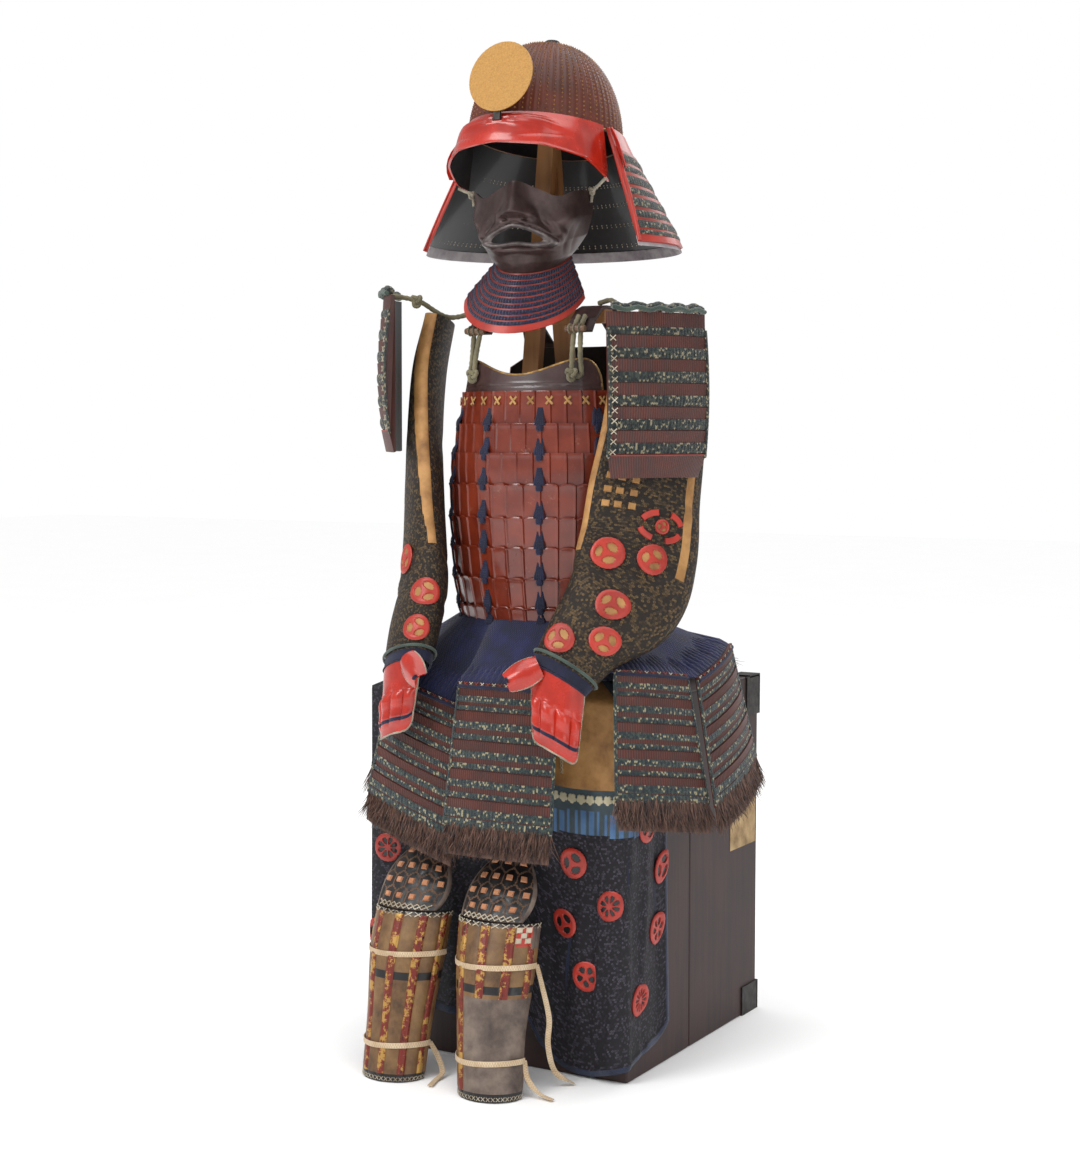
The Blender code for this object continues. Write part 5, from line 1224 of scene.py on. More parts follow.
@dataclass(frozen=True)
class Mask:
    """The half mask: a hooked nose, folds beside it, thick lips round an open mouth, and a round chin."""

    wall: float = 0.0025
    top: float = 1.254
    chin: float = 1.133
    downs: tuple[float, ...] = (0.0, 0.35, 0.65, 0.88, 1.0)
    half_widths: tuple[float, ...] = (0.088, 0.087, 0.079, 0.064, 0.053)
    forwards: tuple[float, ...] = (0.094, 0.099, 0.097, 0.086, 0.073)
    mouth_degrees: float = 26.5
    mouth_half: float = 0.0736
    mouth_down: float = 0.583
    mouth_bow: float = 0.027

    def surface(self, degrees: Array, down: Array) -> Array:
        """The outer face: a rounded band with bumps for the features, each an exp(-(distance / width)^2)."""
        away = np.abs(degrees)
        half_width = np.interp(down, self.downs, self.half_widths)
        forward = np.interp(down, self.downs, self.forwards)
        top = self.top + 0.008 * bump(degrees, 0.0, 12.0) - 0.012 * bump(away, 38.0, 16.0)
        z = top + (self.chin + 0.030 * (away / 88.0) ** 2 - top) * down
        nose = 0.010 + 0.021 * np.clip(down / 0.34, 0, 1) ** 1.2
        nose = nose * np.where(down < 0.34, 1.0, bump(down, 0.34, 0.06))
        relief = nose * bump(degrees, 0.0, 9.0 + 4.0 * down)
        relief = relief + 0.0075 * bump(away, 15.0, 5.5) * bump(down, 0.335, 0.075)
        relief = relief - 0.0060 * bump(away, 8.5, 3.2) * bump(down, 0.395, 0.022)
        ring = np.hypot(degrees / 36.0, (down - 0.60) / 0.155)
        relief = relief + 0.0085 * bump(ring, 1.0, 0.34)
        relief = relief + 0.007 * bump(away, 50.0, 15.0) * bump(down, 0.36, 0.16)
        relief = relief + 0.006 * bump(degrees, 0.0, 20.0) * bump(down, 0.90, 0.10)
        fold = 24.0 + 62.0 * (down - 0.34)
        relief = relief - 0.0050 * bump(away, fold, 4.5) * bump(down, 0.45, 0.14)
        relief = relief + 0.0032 * bump(away, fold + 9.0, 5.0) * bump(down, 0.48, 0.14)
        for start, depth in ((52.0, 0.0026), (64.0, 0.0022)):
            curve = start + 26.0 * (down - 0.62) ** 2 * 4
            relief = relief - depth * bump(away, curve, 2.8) * bump(down, 0.66, 0.15)
        reach = self.mouth_reach(degrees, down)
        relief = relief + 0.0042 * bump(reach, 1.28, 0.24) - 0.0022 * bump(reach, 1.75, 0.16)
        relief = relief - 0.0030 * bump(down, 0.790, 0.022) * bump(degrees, 0.0, 22.0)
        turn = np.radians(degrees)
        left = (half_width + relief) * np.sin(turn)
        return face_place((-0.014, -0.095), left, (forward + relief) * np.cos(turn), z)

    def mouth_reach(self, degrees: Array, down: Array) -> Array:
        """How far a place is from the mouth's middle, where 1 is its edge."""
        side = degrees / self.mouth_degrees
        return np.hypot(side, (down - self.mouth_down - self.mouth_bow * side ** 2) / self.mouth_half)

    def build(self, paint: Finishes) -> None:
        """The mask, whose grid is cut at the mouth: its points beside the edge are drawn on to the edge."""
        degrees, down = np.meshgrid(np.linspace(-88, 88, 145), np.linspace(0, 1, 101))
        reach = self.mouth_reach(degrees, down)
        cell = (reach[:-1, :-1] + reach[1:, :-1] + reach[:-1, 1:] + reach[1:, 1:]) / 4
        keep = cell >= 1.0
        near = np.zeros(degrees.shape, bool)
        gone = np.zeros(degrees.shape, bool)
        for rows, columns in ((slice(0, -1), slice(0, -1)), (slice(1, None), slice(0, -1)),
                              (slice(0, -1), slice(1, None)), (slice(1, None), slice(1, None))):
            near[rows, columns] |= keep
            gone[rows, columns] |= ~keep
        edge = near & gone
        side = degrees / self.mouth_degrees
        rise = (down - self.mouth_down - self.mouth_bow * side ** 2) / self.mouth_half
        safe = np.maximum(reach, 1e-6)
        new_side = np.where(edge, side / safe, side)
        degrees = new_side * self.mouth_degrees
        lip = self.mouth_down + self.mouth_bow * new_side ** 2 + rise / safe * self.mouth_half
        down = np.where(edge, lip, down)
        ground = Ground(self.surface(degrees, down))
        # The cells round the mouth get the lighter lips finish, a painted highlight on the raised lips.
        lips = np.where(cell < 1.55, 1, 0)
        skin = Skin()
        skin.pierced(ground, self.wall, keep, lips, 2)
        skin.build("iron_half_mask", (paint.mask, paint.lips, paint.black), "mask_iron", ("face_mask",), 70.0)


@dataclass(frozen=True)
class ThroatGuard:
    """Five curved lames under the mask, laced in navy; the last one ends in plain red."""

    mask: Mask
    wall: float = 0.002

    def build(self, paint: Finishes) -> None:
        """The laced lames."""
        degrees = np.linspace(-88, 88, 111)
        edge = self.mask.surface(degrees, np.ones(111))
        edge[:, 2] -= 0.0003
        along, out = facing(FACE_TURN)
        turn = np.radians(degrees * 0.90)
        low_z = 1.048 + 0.052 * (np.abs(degrees) / 88) ** 2
        low = face_place((-0.024, -0.100), 0.094 * np.sin(turn), 0.100 * np.cos(turn), low_z)
        direction = np.sin(turn)[:, None] * along[None, :2] + np.cos(turn)[:, None] * out[None, :2]
        down = np.linspace(0, 1, 41)[:, None, None]
        grid = edge + (low - edge) * down
        grid[..., :2] -= direction * self.wall
        lame = ((Band.EDGE, 0.14), (Band.LACE, 0.52), (Band.EDGE, 0.64), (Band.LACE, 1.0))
        plain = ((Band.EDGE, 0.12), (Band.LACE, 0.42), (Band.PLAIN, 1.0))
        panel = LacedPanel((lame, lame, lame, lame, plain), lace_width=0.0052, lace_rise=0.0022, step=0.0022,
                           wall=self.wall)
        skin = Skin()
        panel.add_to(skin, Ground(grid), lining=4)
        finishes = (paint.red_edge, paint.navy_fine, paint.red_edge, paint.red_plate, paint.black)
        skin.build("laced_throat_guard", finishes, "red_lacquer", ("throat_guard",), 50.0)


# Body

@dataclass(frozen=True)
class Torso:
    """The wearer's trunk inside the cuirass: an oval at each height."""

    levels: tuple[float, ...] = (0.600, 0.634, 0.702, 0.789, 0.860, 0.921, 0.967, 1.040)
    half_widths: tuple[float, ...] = (0.136, 0.139, 0.149, 0.154, 0.151, 0.141, 0.132, 0.118)
    half_depths: tuple[float, ...] = (0.104, 0.107, 0.116, 0.120, 0.118, 0.111, 0.104, 0.094)

    def at(self, z: Array, out: Array, degrees: Array) -> Array:
        """Points at heights and angles, that far outside the oval."""
        z, out, degrees = np.broadcast_arrays(np.asarray(z, float), np.asarray(out, float),
                                              np.asarray(degrees, float))
        plan = oval(np.interp(z, self.levels, self.half_widths) + out,
                    np.interp(z, self.levels, self.half_depths) + out, degrees) + TORSO_CENTRE
        return np.concatenate([plan, z[..., None]], -1)


@dataclass(frozen=True)
class Cuirass:
    """Lames of lacquered scales, joined by sparse pairs of navy lace, under a chest plate and back plate."""

    torso: Torso
    edges: tuple[float, ...] = (0.967, 0.921, 0.879, 0.836, 0.789, 0.746, 0.702, 0.660, 0.634)
    lap: float = 0.006
    wall: float = 0.0025
    plate_wall: float = 0.003
    scale: float = 0.0235
    samples: int = 16
    short_step: float = 0.0040
    wrap_step: float = 0.0033
    fronts: tuple[float, ...] = (62.0, 65.0, 70.0)
    backs: tuple[float, ...] = (58.0, 62.0, 66.0)
    columns: tuple[float, ...] = (-52.0, -17.0, 17.0, 52.0, 128.0, 163.0, 197.0, 232.0)

    def step(self, number: int) -> float:
        """How far a lame's top edge stands outside the lame above it."""
        return self.short_step if number <= 3 else self.wrap_step

    def lame(self, paint: Finishes, number: int, start: float, end: float, name: str) -> None:
        """One lame, whose scales overlap: each rises to its standing edge, and dips at its top corners."""
        top = self.edges[number]
        bottom = self.edges[number + 1] - (self.lap if number < 7 else 0.0)
        scales = round(math.radians(end - start) * 0.140 / self.scale)
        count = scales * self.samples + 1
        phase = (np.arange(count) % self.samples) / self.samples
        degrees = np.linspace(start, end, count)
        t = np.linspace(0, 1, 13)[:, None]
        notch = 0.0030 * np.abs(np.cos(math.pi * phase)) ** 5 * (1.0 if number >= 3 else 0.15)
        z = top + (bottom - top) * t - notch[None, :] * (1 - t) ** 8
        ground = Ground(self.torso.at(z, self.step(number) * (1 - t), degrees[None, :]))
        rows = np.array((0.0, 0.04, 0.10, 0.20, 0.45, 0.75, 0.96, 1.0))
        ridge = 0.0016 * phase ** 2 + 0.0012 * bump(phase, 0.90, 0.055)
        bead = (0.0015 if number >= 3 else 0.0009) * bump(rows, 0.05, 0.05)[:, None]
        bead = bead * (0.4 + 0.6 * np.abs(np.sin(math.pi * phase)))[None, :]
        dish = -0.0005 * bump(rows, 0.16, 0.06)[:, None]
        relief = ridge[None, :] * (1 - 0.5 * rows[:, None] ** 4) + bead + dish
        skin = Skin()
        skin.shell(ground, rows, np.linspace(0, 1, count), relief, self.wall, 0, 1, (7, self.samples))
        skin.build(f"scaled_{name}", (paint.russet, paint.black), "russet_lacquer", (name,), 38.0)

    def lacing(self, paint: Finishes) -> None:
        """A bell-shaped tuft of laces below each lame, and a square knot under the next one's edge."""
        skin = Skin()
        for degrees in self.columns:
            for number in range(8):
                if number >= 3 or abs(degrees) < 60 or degrees > 120:
                    self.tie(skin, degrees, number)
        for spot in (*np.linspace(-56, 56, 11), *np.linspace(130, 230, 9)):
            self.cross(skin, spot, 0.9535)
        skin.build("cuirass_lacing", (paint.navy_cord, paint.tan_cross), "russet_lacquer", (), 60.0)

    def tie(self, skin: Skin, degrees: float, number: int) -> None:
        """One tuft of five laces on a lame, and its knot on the next."""
        below = self.edges[number + 1]
        last = number == 7
        step = self.step(number + 1)
        rise = 0.022 if not last else 0.014
        front = self.torso.at(0.8, 0.1, degrees) - self.torso.at(0.8, 0.0, degrees)
        big = 1.45 if degrees == 52.0 else 1.0
        for side in (-1.0, -0.5, 0.0, 0.5, 1.0):
            spread = np.array((0.8, 1.4, 2.0, 2.3)) * side * big
            heights = below + np.array((rise, rise * 0.5, 0.0035, -0.0025))
            outs = self.wall + np.array((0.0012, 0.0022, step + 0.0016, step + 0.0012))
            path = self.torso.at(heights, outs, degrees + spread)
            skin.strip(route(path, 0.004), 0.0050 * big, 0.0042 * big, 0, outward=front, sides=8, lobes=0.12,
                       pitch=0.007)
        if last:
            return
        knot = self.torso.at(below - 0.0065 + np.array((0.0045, 0.0, -0.0045)) * big,
                             self.wall + step * 0.9 + 0.0016, degrees)
        skin.strip(knot, 0.0112 * big, 0.0048 * big, 0, outward=front, sides=10, square=0.6,
                   taper=np.array((0.75, 1.0, 0.75)))

    def cross(self, skin: Skin, degrees: float, z: float) -> None:
        """A crossed pair of short thongs."""
        front = self.torso.at(0.8, 0.1, degrees) - self.torso.at(0.8, 0.0, degrees)
        for side in (-1, 1):
            path = self.torso.at(z + np.array((0.0055, 0.0, -0.0055)), self.wall + 0.0050 + 0.0006 * side,
                                 degrees + np.array((-2.0, 0.0, 2.0)) * side)
            skin.strip(path, 0.0034, 0.0020, 1, outward=front, sides=6)

    def plate(self, paint: Finishes, degrees: Array, top: Array, name: str, lacquer: object,
              rim: float) -> None:
        """A plain plate with a groove over its lower edge and a rim of brass round its top and sides."""
        bottom = self.edges[0] - self.lap
        t = np.linspace(0, 1, 25)[:, None]
        z = top[None, :] + (bottom - top[None, :]) * t
        ground = Ground(self.torso.at(z, 0.0, degrees[None, :]))
        groove = -0.0009 * bump(z, 0.9745, 0.0014) + 0.0005 * bump(z, 0.9775, 0.0014)
        skin = Skin()
        skin.shell(ground, t[:, 0], np.linspace(0, 1, len(degrees)), groove, self.plate_wall, 0, 1, (6, 4))
        if rim:
            out = self.plate_wall * 0.5
            side_z = np.linspace(bottom + 0.007, top[0], 8)[:-1]
            left = self.torso.at(side_z, out, degrees[0])
            right = self.torso.at(np.linspace(top[-1], bottom + 0.007, 8)[1:], out, degrees[-1])
            path = route(np.concatenate([left, self.torso.at(top, out, degrees)[::3], right]), 0.005)
            skin.strip(path, rim, rim * 1.25, 2, sides=8)
        slot = "brown_lacquer" if name == "chest_plate" else "russet_lacquer"
        skin.build(f"lacquered_{name}", (lacquer, paint.black, paint.brass), slot, (name,), 40.0)

    def build(self, paint: Finishes) -> None:
        """All the lames, both plates and the lacing."""
        for number in range(8):
            if number < 3:
                front, back = self.fronts[number], self.backs[number]
                self.lame(paint, number, -front, front, f"front_lame_{number + 1}")
                self.lame(paint, number, 180 - back, 180 + back, f"back_lame_{number + 1}")
            else:
                self.lame(paint, number, -87.0, 267.0, f"body_lame_{number + 1}")
        degrees = np.linspace(-58, 58, 93)
        away = np.abs(degrees)
        rise = (1 - np.cos(math.pi * np.minimum(away, 46.0) / 46.0)) / 2
        corner = np.maximum(away - 46.0, 0) / 12.0
        top = 0.990 + 0.022 * rise - 0.022 * corner ** 2.5
        self.plate(paint, degrees, top, "chest_plate", paint.brown, 0.0034)
        degrees = np.linspace(124, 236, 85)
        top = 1.036 - 0.030 * np.maximum(np.abs(degrees - 180) / 56.0 - 0.6, 0) / 0.4
        self.plate(paint, degrees, top, "back_plate", paint.russet, 0.0)
        self.lacing(paint)


# Arms

@dataclass(frozen=True)
class ShoulderGuard:
    """A hung panel of seven lames in front of the upper arm."""

    side: int
    top: float
    width: float = 0.158
    height: float = 0.226
    sag: float = 0.016

    def ground(self) -> Ground:
        """Its inner face: bowed across, a little swollen down its middle, with rounded lower corners."""
        along, ahead = facing(60.0)
        across = np.linspace(-0.5, 0.5, 61)[None, :]
        down = np.linspace(0, 1, 61)[:, None]
        width = self.width * (1 - 0.10 * np.clip((down - 0.90) / 0.10, 0, 1) ** 2)
        out = self.sag * (1 - (2 * across) ** 2) + 0.010 * np.sin(math.pi * down)
        grid = (np.array((0.212, -0.160, self.top)) + (across * width)[..., None] * along
                + out[..., None] * ahead)
        grid[..., 2] -= self.height * down
        return Ground(on_side(grid, self.side))

    def build(self, paint: Finishes) -> None:
        """The panel, its bound edges, its stitches and the thick cord along its top."""
        word = side_word(self.side)
        ground = self.ground()
        first = ((Band.LACQUER, 0.62), (Band.LACE, 0.96), (Band.LACQUER, 1.0))
        lame = ((Band.LACQUER, 0.50), (Band.LACE, 0.96), (Band.LACQUER, 1.0))
        last = ((Band.EDGE, 0.06), (Band.LACQUER, 1.0))
        skin = Skin()
        LacedPanel((first, lame, lame, lame, lame, lame, last), 0.0060, 0.0022).add_to(skin, ground, lining=4)
        for edge in (0.004, 0.996):
            skin.along(ground, edge, np.linspace(0.10, 0.88, 60), 0.0052, 0.0062, 0.0042, 1, lobes=0.16)
        near = 0.035 if self.side > 0 else 0.965
        stitches(skin, ground, near, np.linspace(0.16, 0.84, 12), 0.0075, 0.0075, 5)
        finishes = (paint.ribbed, paint.dark_speckled, paint.red_edge, paint.red, paint.black, paint.cross)
        skin.build(f"laced_shoulder_guard_{word}", finishes, "laced_lames", (f"shoulder_guard_{word}",), 50.0)
        top = np.linspace(0.04, 0.96, 40)
        rope = Skin()
        path = ground.at(top, 0.0, 0.004) + np.array((0.0, 0.0, 0.0075))
        path[:, 2] += 0.0018 * np.sin(top * 31.0)
        thin = path + ground.sample(top, 0.0)[1] * 0.006 - np.array((0.0, 0.0, 0.004))
        up = (0.0, 0.0, 1.0)
        rope.strip(path, 0.0125, 0.0115, 0, outward=up, sides=12, lobes=0.24, pitch=0.026)
        rope.strip(thin, 0.0080, 0.0075, 1, outward=up, sides=10, lobes=0.24, pitch=0.016)
        rope.build(f"shoulder_rope_{word}", (paint.dark_speckled, paint.green_cord), "green_cord", (), 60.0)


def stitches(skin: Skin, ground: Ground, across: Array, down: Array, size: float, lift: float,
             finish: int) -> None:
    """Crossed stitches of that size, each of two short rods."""
    x = size / 2 / ground.width
    y = size / 2 / ground.height
    paths = []
    for side in (-1, 1):
        start = ground.at(across - x * side, down - y, lift)
        end = ground.at(across + x * side, down + y, lift)
        paths.append(np.stack([start, end], 1))
    skin.rods(np.concatenate(paths), np.full(2, size * 0.11), finish)


@dataclass(frozen=True)
class Disc:
    """Where a round plate with openings is sewn on: parts of the ground's width and height, its radius."""

    across: float
    down: float
    radius: float = 0.0235
    turn: float = 90.0
    petals: int = 3


SLEEVE_CREASES = (
    (0.24, 0.655, 0.30, 0.016, 0.13, -0.0036), (0.30, 0.715, 0.22, 0.014, 0.10, -0.0030),
    (0.18, 0.745, 0.15, 0.013, 0.08, -0.0026), (0.26, 0.685, 0.26, 0.014, 0.12, 0.0026),
    (0.14, 0.335, -0.50, 0.016, 0.07, -0.0022), (0.36, 0.450, 0.60, 0.018, 0.06, 0.0022),
    (0.74, 0.670, -0.25, 0.018, 0.14, -0.0034), (0.66, 0.560, 0.35, 0.016, 0.10, 0.0026),
    (0.82, 0.760, 0.30, 0.014, 0.09, -0.0026), (0.70, 0.300, 0.20, 0.020, 0.09, -0.0020),
)


@dataclass(frozen=True)
class Arm:
    """A mail sleeve with its hand and thumb guards; the stations are given for the wearer's left."""

    side: int
    stations: tuple[tuple[float, ...], ...]
    discs: tuple[Disc, ...]
    wall: float = 0.003

    def frames(self, extra: int) -> tuple[Array, ...]:
        """Places, long axes, outward axes and half sizes at the stations and between them."""
        table = curve_rows(np.array(self.stations), np.linspace(0, 7, 7 * (extra + 1) + 1))
        path = table[:, :3]
        forward = unit(np.gradient(path, axis=0))
        turn = np.radians(table[:, 5])
        along = np.column_stack([np.cos(turn), np.sin(turn), np.zeros(len(turn))])
        along = unit(along - forward * (along * forward).sum(1, keepdims=True))
        return path, along, np.cross(forward, along), table[:, 3], table[:, 4]

    def ground(self) -> Ground:
        """The sleeve's inner face, from its inner edge round the front; the columns start at the body."""
        path, along, ahead, wide, deep = self.frames(7)
        turn = math.pi - 2 * math.pi * np.arange(128) / 128
        grid = (path[:, None] + (np.cos(turn)[None, :] * wide[:, None])[..., None] * along[:, None]
                + (np.sin(turn)[None, :] * deep[:, None])[..., None] * ahead[:, None])
        return Ground(on_side(grid, self.side), closed=True)

    def relief(self, across: Array, down: Array) -> Array:
        """The creases where the sleeve bends and hangs, no trough deeper than 2 mm."""
        front = across if self.side > 0 else (1 - across) % 1.0
        return np.maximum(creases(front, down, SLEEVE_CREASES), -0.0020)

    def sleeve(self, paint: Finishes) -> None:
        """The mail sleeve with its leather edges, its small square plates and its round plates."""
        word = side_word(self.side)
        ground = self.ground()
        rows = np.linspace(0, 1, 121)
        columns = np.linspace(0, 1, 129)
        across, down = np.meshgrid(columns, rows)
        relief = self.relief(across, down)
        middle = (columns[:-1] + columns[1:]) / 2
        front = middle if self.side > 0 else 1 - middle
        level = rows[:-1, None]
        inner = 0.036 + (0.100 if self.side < 0 else 0.012) * np.clip(1 - level / 0.60, 0, 1)
        leather = (front < inner) | (front > 0.985) | (np.abs(front - 0.372) < 0.017)
        finish = np.where(leather & (level < 0.62), 1, 0)
        finish[rows[:-1] > 0.965] = 4
        relief[:-1, :-1] += 0.0008 * (finish == 1)
        relief[:, -1] = relief[:, 0]
        skin = Skin()
        skin.shell(ground, rows, columns, relief, self.wall, finish, 3, (4, 4))
        finishes = (paint.sleeve_mail, paint.tan, paint.red_plate, paint.lining, paint.navy_cord)
        sheet = skin.build(f"mail_sleeve_{word}", finishes, "mail_cloth", (f"sleeve_{word}",), 60.0)
        extra = Skin()
        if self.side > 0:
            x, y = np.meshgrid(np.array((0.105, 0.148, 0.191)), np.array((0.398, 0.428, 0.458)))
            extra.tiles(ground, x.ravel(), y.ravel(), (0.0054, 0.0046), self.wall, self.wall + 0.0018, 1)
            for start in (25, 115, 205, 295):
                turn = np.radians(np.linspace(start, start + 52, 9))
                around = 0.281 + 0.0205 * np.cos(turn) / ground.width
                height = 0.500 + 0.0205 * np.sin(turn) / ground.height
                extra.along(ground, around, height, self.wall + 0.0010, 0.0090, 0.0034, 2,
                            sides=10, square=0.6)
        for disc in self.discs:
            extra.disc(ground, disc, self.wall + 0.0018, 2, 3)
        extra.along(ground, np.linspace(0, 1, 49), 0.955, 0.0052, 0.0050, 0.0040, 4, lobes=0.15, pitch=0.010)
        finishes = (paint.sleeve_mail, paint.tan, paint.red_plate, paint.tan, paint.green_cord)
        extra.build(f"sleeve_plates_{word}", finishes, "mail_cloth", (), 45.0)

    def hand(self, paint: Finishes) -> None:
        """The red hand guard with its knuckles, and the pointed thumb guard."""
        end, along, ahead, wide, deep = (row[-1] for row in self.frames(1))
        wide, deep = wide + self.wall, deep + self.wall
        onward = np.cross(along, ahead)
        fall = unit(np.array((0.02, -0.20, -0.98)))
        across, part = np.meshgrid(np.linspace(-1, 1, 81), np.linspace(0, 1, 61))
        turn = np.radians(90.0 - 72.0 * across)
        dome = deep * np.sin(turn) * (1 - 0.45 * part) - 0.002
        spread = wide * np.cos(turn) * (1 - 0.18 * part) + 0.004 * part
        grid = end + spread[..., None] * along + dome[..., None] * ahead + onward * 0.0003
        grid = grid + (0.100 * part * (1 - 0.13 * across ** 6))[..., None] * fall
        if along @ grid[0, 0] > along @ grid[0, -1]:
            grid = grid[:, ::-1]
        ground = Ground(on_side(grid, self.side))
        finger = np.abs(np.sin(2 * math.pi * across)) * (1 - across ** 4)
        relief = 0.0060 * bump(part, 0.50, 0.085) * finger ** 0.8
        joints = np.clip((part - 0.50) / 0.10, 0, 1) * (1 - np.clip((part - 0.8) / 0.1, 0, 1))
        relief = relief + 0.0042 * finger ** 0.7 * joints
        relief = relief - 0.0012 * bump(part, 0.80, 0.02) - 0.0010 * bump(part, 0.42, 0.012)
        relief = relief + 0.0016 * bump(part, 0.82, 0.10) * np.clip(1 - across ** 4, 0, 1)
        finish = np.where(np.abs(part[:-1, :-1] - 0.80) < 0.022, 2, 0)
        skin = Skin()
        skin.shell(ground, np.linspace(0, 1, 61), np.linspace(0, 1, 81), relief, 0.002, finish, 1, (4, 4))
        rim = {"sides": 7, "lobes": 0.4, "pitch": 0.007}
        for edge in (0.0, 1.0):
            skin.strip(ground.at(edge, np.linspace(0.02, 0.98, 30), 0.001), 0.0036, 0.0034, 3, **rim)
        top = np.linspace(0, 1, 30)
        skin.strip(ground.at(top, 0.01, 0.0022), 0.0034, 0.0026, 2, sides=7, lobes=0.15, pitch=0.006)
        skin.strip(ground.at(top, 0.995, 0.0014), 0.0034, 0.0034, 3, **rim)
        word = side_word(self.side)
        finishes = (paint.red, paint.black, paint.navy_cord, paint.grey_cord)
        skin.build(f"knuckled_hand_{word}", finishes, "red_lacquer", (f"hand_guard_{word}",), 50.0)
        length = unit(-along * 0.72 + fall * 0.70)
        breadth = np.cross(length, ahead)
        root = end - along * (wide - 0.016) + ahead * (deep * 0.86 - 0.0012) + onward * 0.0023
        bow, part = np.meshgrid(np.linspace(-1, 1, 25), np.linspace(0, 1, 33))
        width = 0.019 * np.sin(math.pi * (0.24 + 0.58 * part)) ** 0.7
        grid = (root + (bow * width)[..., None] * -breadth
                + (0.008 * (1 - bow ** 2) - 0.002)[..., None] * ahead)
        grid = on_side(grid + (0.050 * part)[..., None] * length, self.side)
        ground = Ground(grid)
        if ground.normals[16, 12] @ on_side(ahead[None, None], self.side)[0, 0] < 0:
            ground = Ground(grid[:, ::-1])
        nail = 0.0016 * bump(np.hypot(bow / 0.6, (part - 0.62) / 0.30), 0.0, 0.8)
        thumb = Skin()
        thumb.shell(ground, np.linspace(0, 1, 33), np.linspace(0, 1, 25), nail, 0.002, 0, 1, (4, 4))
        tip = ground.at(0.5, np.array((0.93, 0.97, 1.0)), 0.004)
        thumb.strip(tip, 0.010, 0.007, 2, sides=10, taper=np.array((0.7, 1.0, 0.7)))
        for edge in (0.0, 1.0):
            thumb.strip(ground.at(edge, np.linspace(0.06, 0.97, 24), 0.001), 0.0030, 0.0030, 3, **rim)
        thumb.build(f"thumb_plate_{word}", finishes, "red_lacquer", (f"thumb_guard_{word}",), 50.0)

    def build(self, paint: Finishes) -> None:
        """The sleeve and the hand."""
        self.sleeve(paint)
        self.hand(paint)


# Waist

@dataclass(frozen=True)
class Tasset:
    """A laced panel of the skirt: the middle of its top edge, where it faces, its sizes, lean and slope."""

    name: str
    place: tuple[float, float, float]
    faces: float
    top: float
    bottom: float
    length: float
    lean: float
    slope: float

    def axes(self) -> tuple[Array, Array, Array]:
        """Unit vectors along its top edge, down its front and out of it."""
        along, ahead = facing(self.faces)
        slope, lean = math.radians(self.slope), math.radians(self.lean)
        fall = ahead * math.sin(lean) + np.array((0.0, 0.0, -math.cos(lean)))
        return along * math.cos(slope) + fall * math.sin(slope), fall, np.cross(fall, along)

    def grid(self, across: Array, down: Array, out: Array) -> Array:
        """Points on it: bowed 10 mm across, and wider towards its lower edge."""
        along, fall, ahead = self.axes()
        across, down, out = np.broadcast_arrays(across, down, out)
        width = self.top + (self.bottom - self.top) * np.minimum(down, 1.0)
        reach = 0.010 * (1 - (2 * across) ** 2) + out
        return (np.array(self.place) + (across * width)[..., None] * along + reach[..., None] * ahead
                + (self.length * down)[..., None] * fall)


TASSETS = (
    Tasset("front", (0.041, -0.266, 0.556), 0.0, 0.158, 0.172, 0.205, 9.0, 0.0),
    Tasset("front_left", (0.228, -0.202, 0.578), 60.0, 0.116, 0.150, 0.182, 10.0, 7.0),
    Tasset("left_side", (0.262, -0.074, 0.584), 92.0, 0.140, 0.176, 0.176, 12.0, -15.0),
    Tasset("back_left", (0.082, 0.060, 0.606), 172.0, 0.134, 0.150, 0.120, 66.0, 0.0),
    Tasset("back_right", (-0.076, 0.060, 0.606), 188.0, 0.134, 0.150, 0.120, 66.0, 0.0),
    Tasset("right_side", (-0.240, -0.066, 0.588), 266.0, 0.138, 0.160, 0.176, 8.0, 14.0),
    Tasset("front_right", (-0.112, -0.243, 0.540), 350.0, 0.132, 0.180, 0.186, 10.0, 15.0),
)


